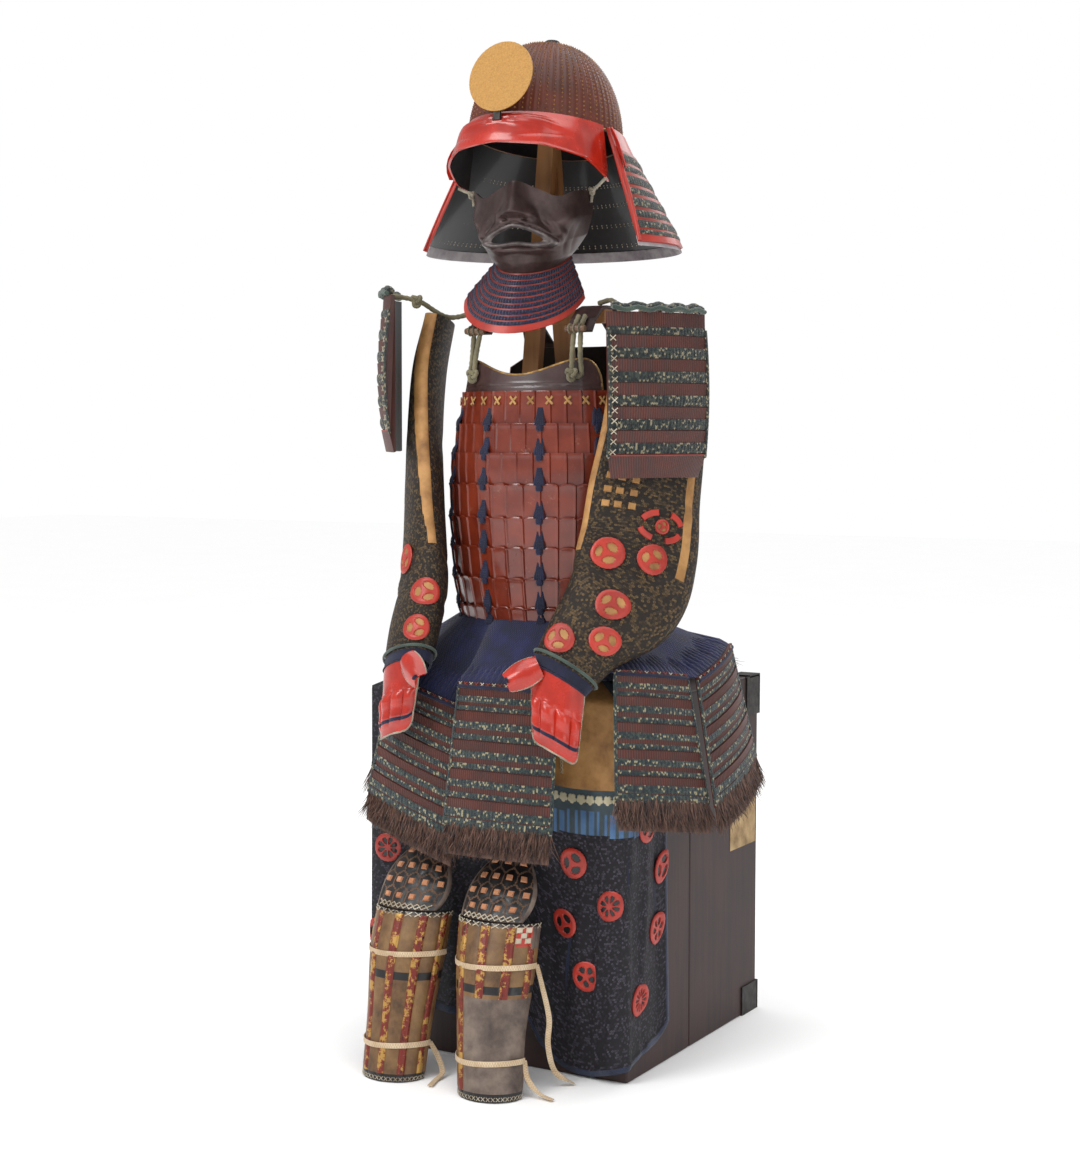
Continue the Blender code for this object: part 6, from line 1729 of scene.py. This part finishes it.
@dataclass(frozen=True)
class Skirt:
    """The curtain of laces at the waist, and the seven laced tassets with their fringes of hair."""

    torso: Torso
    wall: float = 0.003
    laces: int = 132
    fringe: float = 0.040
    locks: int = 880

    def curtain(self, paint: Finishes) -> None:
        """The laces from inside the cuirass down to the tassets' top edges: a ring of upright ribs."""
        inside = self.wall * 0.8
        hem = np.concatenate([tasset.grid(np.linspace(-0.5, 0.5, 5), 0.0, inside) + tasset.axes()[1] * 0.0022
                              for tasset in TASSETS])
        onward = np.roll(hem, -1, axis=0)
        middle = (hem + onward) / 2
        spread = np.linalg.norm(onward - hem, axis=1)
        inward = unit(TORSO_CENTRE - middle[:, :2])
        middle[:, :2] += inward * np.where(spread > 0.060, spread * 0.30, 0.0)[:, None]
        hem = np.stack([hem, middle], 1).reshape(-1, 3)
        degrees = np.degrees(np.arctan2(hem[:, 0] - TORSO_CENTRE[0], -(hem[:, 1] - TORSO_CENTRE[1])))
        top = self.torso.at(0.646, -0.0013, degrees)
        lip = self.torso.at(0.633, -0.0013, degrees)
        direction = oval(1.0, 1.0, degrees)
        rows = [top, lip]
        for down in np.linspace(0, 1, 13)[1:]:
            row = lip + (hem - lip) * down
            row[:, :2] -= direction * (0.008 * math.sin(math.pi * down) + inside)
            rows.append(row)
        for row in rows[:2]:
            row[:, :2] -= direction * inside
        ground = Ground(np.array(rows), closed=True)
        columns = np.linspace(0, 1, self.laces * 4 + 1)
        parts = np.linspace(0, 1, 14)
        rib = np.abs(np.sin(np.arange(len(columns)) * math.pi / 4)) ** 0.6
        rise = 0.0026 * np.clip((parts - 0.10) / 0.15, 0, 1)
        rise[-1] = 0.0006
        skin = Skin()
        bundle = np.abs(np.sin(math.pi * (22 * columns[None, :] + 0.6 * parts[:, None]))) ** 0.35
        relief = rise[:, None] * (rib[None, :] * 0.8 + 1.3 * bundle)
        skin.shell(ground, parts, columns, relief, 0.0018, 0, 0, (13, 8))
        skin.build("lace_curtain", (paint.curtain,), "navy_silk", ("lace_skirt",), 50.0)

    def tasset(self, paint: Finishes, tasset: Tasset) -> None:
        """One tasset: five laced lames, a corded and stitched top edge, and hair under its lower edge."""
        across, down = np.meshgrid(np.linspace(-0.5, 0.5, 61), np.linspace(0, 1, 61))
        ground = Ground(tasset.grid(across, down, 0.0))
        first = ((Band.LACQUER, 0.46), (Band.LACE, 0.68), (Band.LACQUER, 0.80), (Band.LACE, 0.95),
                 (Band.LACQUER, 1.0))
        last = ((Band.LACQUER, 0.30), (Band.LACE, 0.60), (Band.LACQUER, 0.64), (Band.LACE, 0.98),
                (Band.LACQUER, 1.0))
        lames = (first, FULL_LAME, FULL_LAME, FULL_LAME, last)
        skin = Skin()
        LacedPanel(lames, lace_width=0.0056).add_to(skin, ground, lining=4)
        skin.along(ground, np.linspace(0.01, 0.99, 50), 0.030, 0.0062, 0.0058, 0.0050, 5, sides=9, lobes=0.2,
                   pitch=0.009)
        count = round(tasset.top / 0.0098)
        spots = (np.arange(count) + 0.5) / count
        for colour, start in ((6, 0), (7, 1)):
            stitches(skin, ground, spots[start::2], 0.008, 0.0062, 0.0064, colour)
        for edge in (0.002, 0.998):
            skin.along(ground, edge, np.linspace(0.02, 0.985, 60), 0.0042, 0.0052, 0.0040, 1,
                       sides=7, lobes=0.2, pitch=0.011)
        self.hair(skin, tasset)
        finishes = (paint.ribbed, paint.speckled, paint.red_edge, paint.red, paint.black, paint.navy_cord,
                    paint.cross, paint.red_cross, paint.hair)
        skin.build(f"laced_tasset_{tasset.name}", finishes, "laced_lames", (f"tasset_{tasset.name}",), 50.0)

    def hair(self, skin: Skin, tasset: Tasset) -> None:
        """A thin backing band and rough locks of hair, of uneven length, that splay out and down."""
        end = 1 + self.fringe * 0.93 / tasset.length
        across, down = np.meshgrid(np.linspace(-0.5, 0.5, 21), np.linspace(0.985, end, 5))
        band = Ground(tasset.grid(across * 0.99, down, 0.0004))
        skin.shell(band, np.linspace(0, 1, 5), np.linspace(0, 1, 21), np.zeros((5, 21)), 0.0014, 8, 8, (4, 4))
        rng = np.random.default_rng(len(tasset.name) * 31 + 7)
        across = rng.uniform(-0.5, 0.5, self.locks)
        along, fall, ahead = tasset.axes()
        down = rng.uniform(0.955, 1.0, self.locks)
        root = tasset.grid(across, down, rng.uniform(0.0006, 0.0052, self.locks))
        length = self.fringe * rng.uniform(0.62, 1.12, self.locks)
        lean = (rng.normal(0.0, 0.16, self.locks)[:, None] * along
                + rng.normal(0.06, 0.10, self.locks)[:, None] * ahead)
        sweep = (rng.normal(0.0, 0.20, self.locks)[:, None] * along
                 + rng.normal(0.02, 0.08, self.locks)[:, None] * ahead)
        t = np.linspace(0, 1, 5)[None, :, None]
        course = fall + lean[:, None] + sweep[:, None] * t
        paths = root[:, None] + course * (t * length[:, None, None])
        skin.rods(paths, np.array((0.0007, 0.0007, 0.0006, 0.0004, 0.0001)), 8)

    def build(self, paint: Finishes) -> None:
        """The curtain and the seven tassets."""
        self.curtain(paint)
        for tasset in TASSETS:
            self.tasset(paint, tasset)


APRON_CREASES = (
    (0.20, 0.63, 0.225, 0.014, 0.16, -0.0030), (0.16, 0.72, 0.100, 0.012, 0.13, 0.0034),
    (0.30, 0.80, -0.200, 0.016, 0.12, -0.0030), (0.20, 0.88, 0.125, 0.014, 0.14, 0.0030),
    (0.24, 0.95, -0.075, 0.012, 0.12, -0.0028), (0.34, 0.57, -0.125, 0.013, 0.09, 0.0026),
    (0.26, 0.08, 0.100, 0.014, 0.12, 0.0028), (0.30, 0.20, -0.150, 0.016, 0.10, -0.0026),
    (0.28, 0.33, 0.125, 0.014, 0.12, 0.0026), (0.22, 0.42, -0.075, 0.013, 0.10, -0.0026),
)


@dataclass(frozen=True)
class Apron:
    """The thigh apron: mail on cloth in two halves, with a leather patch, bands and round plates."""

    wall: float = 0.0025
    off: float = 0.0045
    top: float = 0.598
    bend: float = 0.534
    discs: tuple[Disc, ...] = ()

    def plan(self) -> Array:
        """The line along the chest's front and round its near corner, which is 6 mm in radius."""
        straight = np.linspace(-0.217, CHEST_SIDE - 0.006, 97)
        line = [(x, CHEST_FRONT - self.off) for x in straight]
        radius = 0.006 + self.off
        for turn in np.radians(np.linspace(0, 90, 9)[1:-1]):
            line.append((CHEST_SIDE - 0.006 + radius * math.sin(turn),
                         CHEST_FRONT + 0.006 - radius * math.cos(turn)))
        for y in np.linspace(CHEST_FRONT + 0.006, -0.118, 29):
            line.append((CHEST_SIDE + self.off, y))
        return np.array(line)

    def ground(self) -> tuple[Ground, Array]:
        """Its inner face, and how far along its width each column lies."""
        plan = self.plan()
        steps = np.linalg.norm(np.diff(plan, axis=0), axis=1)
        along = np.concatenate([[0], np.cumsum(steps)]) / steps.sum()
        hem = 0.004 + 0.060 * (1 - np.clip((along - 0.40) / 0.14, 0, 1)) + 0.075 * bump(along, 0.47, 0.085)
        hem = (hem + 0.034 * np.clip((along - 0.70) / 0.22, 0, 1)
               + 0.030 * np.clip((along - 0.93) / 0.07, 0, 1) ** 2)
        waist = oval(0.134, 0.110, -62 + 134 * along) + TORSO_CENTRE
        normal = np.gradient(plan, axis=0)
        normal = unit(np.column_stack([normal[:, 1], -normal[:, 0]]))
        rows = []
        for level in np.linspace(0, 1, 141):
            z = self.top - self.top * level
            if z > self.bend:
                part = ((z - self.bend) / (self.top - self.bend)) ** 0.9
                rows.append(np.column_stack([plan + (waist - plan) * part, np.full(len(plan), z)]))
                continue
            drop = (self.bend - z) / self.bend
            fold = 0.006 * np.sin(along * 26.0 + 1.1) * drop ** 1.5 + 0.0035 * np.sin(along * 51.0) * drop
            row = plan + normal * np.maximum(fold, -0.0038)[:, None]
            rows.append(np.column_stack([row, self.bend + (hem - self.bend) * drop]))
        return Ground(np.array(rows)), along

    def build(self, paint: Finishes) -> None:
        """The mail with its patch, bands and binding, and the plates sewn on it."""
        ground, along = self.ground()
        rows = np.linspace(0, 1, 141)
        columns = np.linspace(0, 1, len(along))
        points = ground.points
        z = (points[:-1, :-1, 2] + points[1:, 1:, 2]) / 2
        x = np.broadcast_to(((along[:-1] + along[1:]) / 2)[None, :], z.shape)
        finish = np.zeros(z.shape, int)
        right = x > 0.50
        finish[(z < 0.345) & (z > 0.325) & (x < 0.45)] = 3
        stripe = right & (z < 0.380) & (z > 0.348)
        finish[stripe] = np.where(np.floor(x * 90) % 2 == 0, 4, 3)[stripe]
        finish[right & (z > 0.380)] = 3
        finish[right & (z >= 0.412) & (x > 0.56) & (x < 0.78)] = 1
        finish[right & (z > 0.560)] = 6
        low = points[-1, :, 2]
        above = z - ((low[:-1] + low[1:]) / 2)[None, :]
        finish[above < 0.010] = 5
        finish[(x > 0.985) & (z < 0.53)] = 5
        finish[(np.abs(x - 0.495) < 0.007) & (z < 0.52)] = 5
        level = points[..., 2]
        relief = creases(level, along[None, :], APRON_CREASES)
        relief = relief * np.clip((self.bend - level) / 0.08, 0, 1)
        patch = np.zeros(relief.shape)
        patch[:-1, :-1] = np.where(finish == 1, 0.0010, np.where(finish == 5, 0.0014, 0.0))
        skin = Skin()
        skin.shell(ground, rows, columns, relief + patch, self.wall, finish, 2, (4, 4))
        finishes = (paint.apron_mail, paint.tan, paint.lining, paint.teal, paint.blue_white, paint.binding,
                    paint.silver)
        piece = skin.build("mail_apron", finishes, "mail_cloth", ("thigh_apron",), 60.0)
        extra = Skin()
        for disc in self.discs:
            extra.disc(ground, disc, self.wall + 0.0008, 0, 1)
        down = 1 - 0.335 / self.top
        extra.petals(ground, np.linspace(0.02, 0.44, 17), down, 0.0075, self.wall + 0.0006, 2)
        down = 1 - 0.396 / self.top
        extra.petals(ground, np.linspace(0.515, 0.79, 12), down, 0.0075, self.wall + 0.0006, 2)
        edge = np.linspace(1 - 0.55 / self.top, 1 - 0.432 / self.top, 22)
        for side in (0.562, 0.778):
            stitches(extra, ground, side, edge, 0.0050, self.wall + 0.0018, 2)
        extra.build("apron_plates", (paint.red_plate, paint.black, paint.petal), "mail_cloth", (), 45.0)


# Legs

@dataclass(frozen=True)
class Shin:
    """A splinted shin guard with its knee plate, two flat tapes round it, and their free ends."""

    word: str
    levels: tuple[tuple[float, ...], ...]
    rest: float
    tapes: tuple[float, float] = (0.170, 0.048)
    wall: float = 0.0035
    spread: float = 96.0
    splints: int = 5
    samples: int = 22
    patch: bool = False

    def plan(self, z: float, out: float, degrees: Array) -> Array:
        """Points round the shin guard at one height."""
        table = np.array(self.levels)[::-1]
        x, y, wide, deep = (np.interp(z, table[:, 0], table[:, k]) for k in (1, 2, 3, 4))
        points = oval(wide + out, deep + out, degrees) + (x, y)
        return np.column_stack([points, np.full(len(degrees), z)])

    def ground(self) -> Ground:
        """The inner face."""
        table = curve_rows(np.array(self.levels), np.linspace(0, 3, 49))
        degrees = np.linspace(-self.spread, self.spread, self.splints * self.samples + 1)
        grid = [np.column_stack([oval(wide, deep, degrees) + (x, y), np.full(len(degrees), z)])
                for z, x, y, wide, deep in table]
        return Ground(np.array(grid))

    def build(self, paint: Finishes) -> None:
        """The splints, the tapes, the patch and the knee plate."""
        ground = self.ground()
        count = self.splints * self.samples + 1
        phase = (np.arange(count) % self.samples) / self.samples
        narrow = np.clip(1 - (np.abs(phase - 0.5) / 0.17) ** 4, 0, 1)
        wide = np.clip(1 - (np.minimum(phase, 1 - phase) / 0.31) ** 4, 0, 1)
        rib = 0.0004 + 0.0024 * narrow ** 0.5 + 0.0011 * wide ** 0.5
        rows = np.linspace(0, 1, 49)
        relief = np.broadcast_to(rib[None, :], (49, count)).copy()
        relief[0] *= 0.3
        relief[-2:] *= 0.3
        middle = (phase[:-1] + phase[1:]) / 2
        middle = np.where(phase[1:] == 0, (phase[:-1] + 1) / 2, middle)
        flanks = np.where(np.minimum(middle, 1 - middle) < 0.30, 0, 2)
        strip = np.where(np.abs(middle - 0.5) < 0.17, 1, flanks)
        finish = np.broadcast_to(strip[None, :], (48, count - 1)).copy()
        finish[-2:] = 2
        finish[:1] = 2
        finish[20:22] = np.where(strip == 0, 2, strip)[None, :]
        if self.patch:
            finish[23:46, round(count * 0.36):] = 3
            relief[23:46, round(count * 0.36):] = 0.0022
            finish[1:8, round(count * 0.74):round(count * 0.87)] = 6
            finish[1:9, round(count * 0.87):] = 3
        skin = Skin()
        skin.shell(ground, rows, np.linspace(0, 1, count), relief, self.wall, finish, 2, (6, self.samples))
        degrees = np.linspace(-self.spread + 3, self.spread - 3, 60)
        for height in self.tapes:
            path = self.plan(height, self.wall + 0.0034, degrees)
            path[:, 2] += 0.0020 * np.sin(degrees / 31.0)
            out = np.column_stack([oval(1.0, 1.0, degrees), np.zeros(60)])
            skin.strip(path, 0.0080, 0.0014, 4, outward=out, sides=8, square=0.35)
        stitches(skin, ground, (np.arange(22) + 0.5) / 22, 0.985, 0.0050, self.wall + 0.0012, 5)
        stitches(skin, ground, (np.arange(13) + 0.5) / 13, 0.020, 0.0080, self.wall + 0.0022, 5)
        if self.patch:
            spots = np.array(((0.765, 0.045), (0.805, 0.085), (0.845, 0.045), (0.765, 0.125), (0.845, 0.125)))
            skin.tiles(ground, spots[:, 0], spots[:, 1], (0.0042, 0.0042), self.wall, self.wall + 0.0042, 5)
        finishes = (paint.bare_splint, paint.splint, paint.black, paint.worn, paint.tape, paint.cross,
                    paint.red_plate)
        skin.build(f"splinted_shin_{self.word}", finishes, "gilt_splints", (f"shin_guard_{self.word}",), 45.0)
        self.knee(paint)

    def knee(self, paint: Finishes) -> None:
        """The padded knee plate: quilted hexagons with a square stud each, in a leather rim."""
        z_top, x0, y0, wide, deep = self.levels[0]
        radius, top, low = 0.053, 0.304, 0.2263
        turn = np.radians(np.linspace(20, 118, 57))[:, None]
        across = np.linspace(-1, 1, 65)[None, :]
        x = across * radius * np.sin(turn)
        z = top - radius * (1 - np.cos(turn)) + 0 * across
        part = np.minimum(1.0, (top - z) / (top - low))
        seam = y0 - (deep + 0.0035) * np.sqrt(1 - (x / (wide + 0.0035)) ** 2)
        rest = self.rest - 0.005 * (1 - across ** 2)
        y = rest + (seam - rest) * part + 0.005
        height = z + 0.006 * (1 - across ** 2) * (1 - part)
        height[-1] = low
        ground = Ground(np.stack([x0 + x, y, height], -1))
        cells = [((column + 0.5 * (row % 2)) * 0.0205, top - 0.0115 - row * 0.0175)
                 for row in range(5) for column in (-3, -2, -1, 0, 1, 2)]
        reach = np.sort(np.stack([np.hypot(x - cx, z - cz) for cx, cz in cells]), axis=0)
        line = bump(reach[1] - reach[0], 0.0, 0.0022)
        relief = 0.0020 * np.clip(1 - (reach[0] / 0.0112) ** 4, 0, 1) + 0.0012 * line
        rim = (np.abs(across) > 0.88) | (turn < math.radians(27))
        relief = np.where(rim, 0.0022, relief)
        relief[0] = 0.0008
        relief[:, 0] = relief[:, -1] = 0.0006
        finish = np.where(rim[:-1, :-1] & rim[1:, 1:], 1, np.where(line[:-1, :-1] > 0.55, 4, 0))
        skin = Skin()
        skin.shell(ground, np.linspace(0, 1, 57), np.linspace(0, 1, 65), relief, 0.005, finish, 0, (4, 4))
        places = []
        for cx, cz in cells:
            cosine = 1 - (top - cz) / radius
            if not -0.42 < cosine < 0.86:
                continue
            angle = math.acos(cosine)
            side = cx / (radius * math.sin(angle))
            if abs(side) < 0.80:
                places.append(((side + 1) / 2, (math.degrees(angle) - 20) / 98))
        across_at, down_at = np.array(places).T
        skin.tiles(ground, across_at, down_at, (0.0046, 0.0044), 0.0066, 0.0098, 2)
        stitches(skin, ground, np.linspace(0.14, 0.86, 9), 0.965, 0.0085, 0.0078, 3)
        finishes = (paint.black, paint.worn, paint.peach, paint.cross, paint.thread)
        skin.build(f"quilted_knee_{self.word}", finishes, "quilted_cloth", (f"knee_plate_{self.word}",), 45.0)


class End(Enum):
    BARE = "bare"


@dataclass(frozen=True)
class Tie:
    """The free end of a flat tape that was tied round a shin guard."""

    name: str
    points: tuple[tuple[float, float, float], ...]
    width: float = 0.0080
    thickness: float = 0.0016
    girth: float = 0.0050

    def build(self, paint: Finishes) -> None:
        """The tape with its slow twist, and its real length stated."""
        path = route(self.points, 0.004)
        turn = np.linspace(0.2, 1.5, len(path))
        outward = np.column_stack([np.cos(turn) * 0.8, -np.abs(np.sin(turn)), np.full(len(path), 0.25)])
        outward[path[:, 2] < 0.012] = (0.05, 0.05, 1.0)
        for _ in range(6):
            outward[1:-1] = (outward[:-2] + outward[1:-1] * 2 + outward[2:]) / 4
        tapes = np.maximum(path, (-9.0, -9.0, self.thickness))
        skin = Skin()
        skin.strip(tapes, self.width, self.thickness, 0, outward=unit(outward), sides=8, square=0.4)
        piece = skin.build(f"{self.name}_tape", (paint.tape,), "cream_tape", (self.name,), 50.0)
        log.info("%s: %.3f m long", self.name, length_of(tapes))


@dataclass(frozen=True)
class Cord:
    """A twisted cord that is tied at both ends."""

    name: str
    points: tuple[tuple[float, float, float], ...]
    radius: float
    finish: str
    knots: tuple[int, ...] = ()
    toggle: int | None = None

    def build(self, paint: Finishes) -> None:
        """Two strands laid together, its knots, and a wrapped toggle where it has one."""
        path = route(self.points, 0.0035)
        skin = Skin()
        skin.strip(path, self.radius * 2, self.radius * 2, 0, sides=12, lobes=0.26, pitch=self.radius * 4.2)
        for number in self.knots:
            self.knot(skin, np.array(self.points[number]))
        if self.toggle is not None:
            middle = np.array(self.points[self.toggle])
            other = np.array(self.points[-1 - self.toggle])
            side = unit(other - middle)
            centre = (middle + other) / 2
            ends = centre + side * np.linspace(-0.016, 0.016, 9)[:, None] + np.array((0.0, -0.0075, 0.0))
            swell = np.array((0.72, 0.95, 0.90, 1.0, 0.94, 1.0, 0.90, 0.95, 0.72))
            skin.strip(ends, 0.0115, 0.0115, 1, outward=(0.0, 0.0, 1.0), sides=12, taper=swell)
            for spot in (-0.008, 0.0, 0.008):
                ring = np.linspace(0, 2 * math.pi, 17)
                wrap = (centre + side * spot + np.array((0.0, -0.0075, 0.0))
                        + np.outer(np.cos(ring), (0.0, -0.0062, 0.0))
                        + np.outer(np.sin(ring), (0.0, 0.0, 0.0062)))
                skin.strip(wrap, 0.0034, 0.0026, 0, outward=side, sides=6)
        finishes = (getattr(paint, self.finish), paint.box)
        skin.build(f"twisted_{self.name}", finishes, "green_cord", (self.name,), 60.0)

    def knot(self, skin: Skin, centre: Array) -> None:
        """A small overhand knot: a trefoil of cord round its middle."""
        turn = np.linspace(0, 2 * math.pi, 37)
        size = self.radius * 1.3
        ring = np.stack([np.sin(turn) + 2 * np.sin(2 * turn), -0.9 * np.sin(3 * turn),
                         np.cos(turn) - 2 * np.cos(2 * turn)], 1) * size * 0.55
        path = centre + ring + np.array((0.0, -self.radius, 0.0))
        skin.strip(path, self.radius * 1.6, self.radius * 1.6, 0, sides=8, lobes=0.2,
                   pitch=self.radius * 4, outward=(0.3, 1.0, 0.2))


CORDS = (
    Cord("chest_cord_left", ((0.0817, -0.1389, 1.0732), (0.0827, -0.1534, 1.0546), (0.0849, -0.1648, 1.015),
                             (0.087, -0.1665, 0.99), (0.0969, -0.1599, 0.99), (0.0945, -0.1582, 1.015),
                             (0.0932, -0.1534, 1.0546), (0.0922, -0.1389, 1.0732)), 0.0040, "olive", (3,), 1),
    Cord("chest_cord_right", ((-0.0823, -0.1389, 1.0732), (-0.0833, -0.1534, 1.0546),
                              (-0.0845, -0.1582, 1.015), (-0.0869, -0.1599, 0.99), (-0.077, -0.1665, 0.99),
                              (-0.0749, -0.1648, 1.015), (-0.0727, -0.1534, 1.0546),
                              (-0.0717, -0.1389, 1.0732)), 0.0040, "olive", (4,), 1),
    Cord("shoulder_cord_left", ((0.082, -0.08, 1.0943), (0.108, -0.08, 1.0953), (0.1497, -0.1082, 1.0535),
                                (0.189, -0.1388, 1.0732), (0.2284, -0.1694, 1.0768),
                                (0.2471, -0.1255, 1.0768), (0.254, -0.093, 1.0768)), 0.0040, "olive", (3,)),
    Cord("shoulder_cord_right", ((-0.072, -0.08, 1.0943), (-0.098, -0.08, 1.0953), (-0.1535, -0.1081, 1.0788),
                                 (-0.191, -0.1388, 1.1028), (-0.2284, -0.1694, 1.1108),
                                 (-0.2471, -0.1255, 1.1108), (-0.254, -0.093, 1.1108)),
         0.0040, "olive", (3,)),
    Cord("mask_cord_left", ((0.077, -0.0931, 1.2378), (0.0793, -0.0925, 1.2539), (0.1004, -0.1139, 1.2591),
                            (0.1216, -0.1354, 1.2643)), 0.0025, "grey_cord", (1,)),
    Cord("mask_cord_right", ((-0.0966, -0.1331, 1.2378), (-0.099, -0.1336, 1.2539),
                             (-0.1103, -0.1345, 1.2591), (-0.1216, -0.1354, 1.2643)),
         0.0025, "grey_cord", (1,)),
)

TIES = (
    Tie("shin_tie_left_upper", ((0.0968, -0.2855, 0.1703), (0.1028, -0.2815, 0.1403), (0.112, -0.278, 0.095),
                                (0.116, -0.288, 0.06), (0.124, -0.282, 0.022), (0.143, -0.262, 0.003))),
    Tie("shin_tie_left_lower", ((0.1027, -0.3298, 0.0476), (0.1107, -0.3358, 0.0256), (0.128, -0.336, 0.008),
                                (0.152, -0.339, 0.003))),
    Tie("shin_tie_right", ((-0.056, -0.3225, 0.0476), (-0.046, -0.3185, 0.0276), (-0.036, -0.322, 0.008),
                           (-0.033, -0.345, 0.003), (-0.026, -0.37, 0.003))),
)

LEFT_ARM = Arm(1, ((0.178, -0.092, 1.052, 0.066, 0.018, 66.0), (0.190, -0.104, 0.990, 0.076, 0.022, 63.0),
                   (0.194, -0.124, 0.900, 0.080, 0.024, 58.0), (0.191, -0.146, 0.815, 0.084, 0.026, 54.0),
                   (0.190, -0.163, 0.740, 0.086, 0.028, 50.0), (0.186, -0.200, 0.678, 0.080, 0.030, 46.0),
                   (0.158, -0.261, 0.622, 0.054, 0.026, 34.0), (0.138, -0.300, 0.572, 0.041, 0.024, 28.0)),
               (Disc(0.146, 0.625), Disc(0.271, 0.600, 0.0225), Disc(0.240, 0.768), Disc(0.156, 0.905, 0.021),
                Disc(0.325, 0.845, 0.021), Disc(0.281, 0.500, 0.011)))
RIGHT_ARM = Arm(-1, ((0.182, -0.092, 1.076, 0.066, 0.018, 66.0), (0.192, -0.106, 1.000, 0.074, 0.022, 63.0),
                     (0.184, -0.132, 0.905, 0.076, 0.024, 58.0), (0.166, -0.162, 0.815, 0.076, 0.026, 54.0),
                     (0.152, -0.184, 0.740, 0.072, 0.028, 50.0), (0.136, -0.214, 0.678, 0.066, 0.030, 46.0),
                     (0.130, -0.246, 0.622, 0.056, 0.028, 38.0), (0.122, -0.276, 0.572, 0.042, 0.024, 28.0)),
                (Disc(0.930, 0.770, 0.020), Disc(0.900, 0.893, 0.019), Disc(0.80, 0.640, 0.0225)))
APRON_DISCS = (Disc(0.700, 0.590, 0.0215, 0.0, 8), Disc(0.938, 0.700, 0.0215, 0.0, 6),
               Disc(0.631, 0.760, 0.0215, 0.0, 5), Disc(0.838, 0.850, 0.0215, 0.0, 12),
               Disc(0.594, 0.493, 0.0215), Disc(0.875, 0.424, 0.0215),
               Disc(0.969, 0.552, 0.0215), Disc(0.050, 0.557, 0.0215, 0.0, 8), Disc(0.163, 0.460, 0.0215),
               Disc(0.569, 0.644, 0.0200), Disc(0.025, 0.800, 0.0215), Disc(0.300, 0.520, 0.0215))
SHINS = (
    Shin("left", ((0.226, 0.030, -0.270, 0.058, 0.038), (0.165, 0.036, -0.292, 0.055, 0.041),
                  (0.080, 0.046, -0.322, 0.046, 0.038), (0.000, 0.062, -0.352, 0.043, 0.036)),
         -0.2323, patch=True),
    Shin("right", ((0.226, -0.113, -0.270, 0.055, 0.038), (0.165, -0.113, -0.290, 0.054, 0.041),
                   (0.080, -0.109, -0.316, 0.046, 0.038), (0.000, -0.103, -0.343, 0.043, 0.036)), -0.2302),
)


def add_block(skin: Skin, low: Sequence[float], high: Sequence[float], finish: int) -> None:
    """A plain block between two corners."""
    x = np.array((low[0], high[0], high[0], low[0]))
    y = np.array((low[1], low[1], high[1], high[1]))
    base, top = (np.column_stack([x, y, np.full(4, z)]) for z in (low[2], high[2]))
    skin.block(base, top, finish)


def add_fittings(paint: Finishes) -> None:
    """The chest's iron corner plates, and a plain paper label on its side."""
    skin = Skin()
    irons = (((0.2035, 0.175, 0.470), (0.2075, 0.2235, 0.5305)),
             ((0.165, 0.2195, 0.470), (0.2075, 0.2235, 0.5305)),
             ((0.2035, 0.165, 0.0), (0.2075, 0.2235, 0.045)),
             ((0.165, 0.2195, 0.0), (0.2075, 0.2235, 0.045)),
             ((0.175, 0.185, 0.5285), (0.2075, 0.2235, 0.5325)))
    for low, high in irons:
        add_block(skin, low, high, 0)
        add_block(skin, (-high[0], low[1], low[2]), (-low[0], high[1], high[2]), 0)
    add_block(skin, (0.2046, 0.120, 0.268), (0.2056, 0.213, 0.400), 1)
    skin.build("chest_fittings", (paint.iron, paint.paper), "chest_wood", (), 30.0)


def carry_over(paint: Finishes, nodes: dict) -> None:
    """Gives each solid that stays the finish of its piece."""
    kept = {
        "chest_front_half": paint.chest, "chest_rear_half": paint.chest, "inner_stand": paint.pine,
        "helmet_finial": paint.iron, "crest_prong": paint.iron, "crest_disc": paint.gold,
        "turnback_left": paint.red, "turnback_right": paint.red, "strap_left": paint.strap,
        "strap_right": paint.strap,
    }
    for name, finish in kept.items():
        nodes[name].data.materials.clear()
        nodes[name].data.materials.append(finish)


def main() -> None:
    """Builds the studio and every piece, from the floor up."""
    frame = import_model()
    Studio().build()
    paint = Finishes()
    bowl = Bowl()
    bowl.build(paint)
    Peak(bowl).build(paint)
    NeckGuard(bowl).build(paint)
    mask = Mask()
    mask.build(paint)
    ThroatGuard(mask).build(paint)
    torso = Torso()
    Cuirass(torso).build(paint)
    ShoulderGuard(1, 1.072).build(paint)
    ShoulderGuard(-1, 1.106).build(paint)
    LEFT_ARM.build(paint)
    RIGHT_ARM.build(paint)
    Skirt(torso).build(paint)
    Apron(discs=APRON_DISCS).build(paint)
    for piece in (*SHINS, *CORDS, *TIES):
        piece.build(paint)
    add_fittings(paint)
    carry_over(paint, frame["nodes"])


if __name__ == "__main__":
    logging.basicConfig(level=logging.INFO, format="%(message)s")
    main()
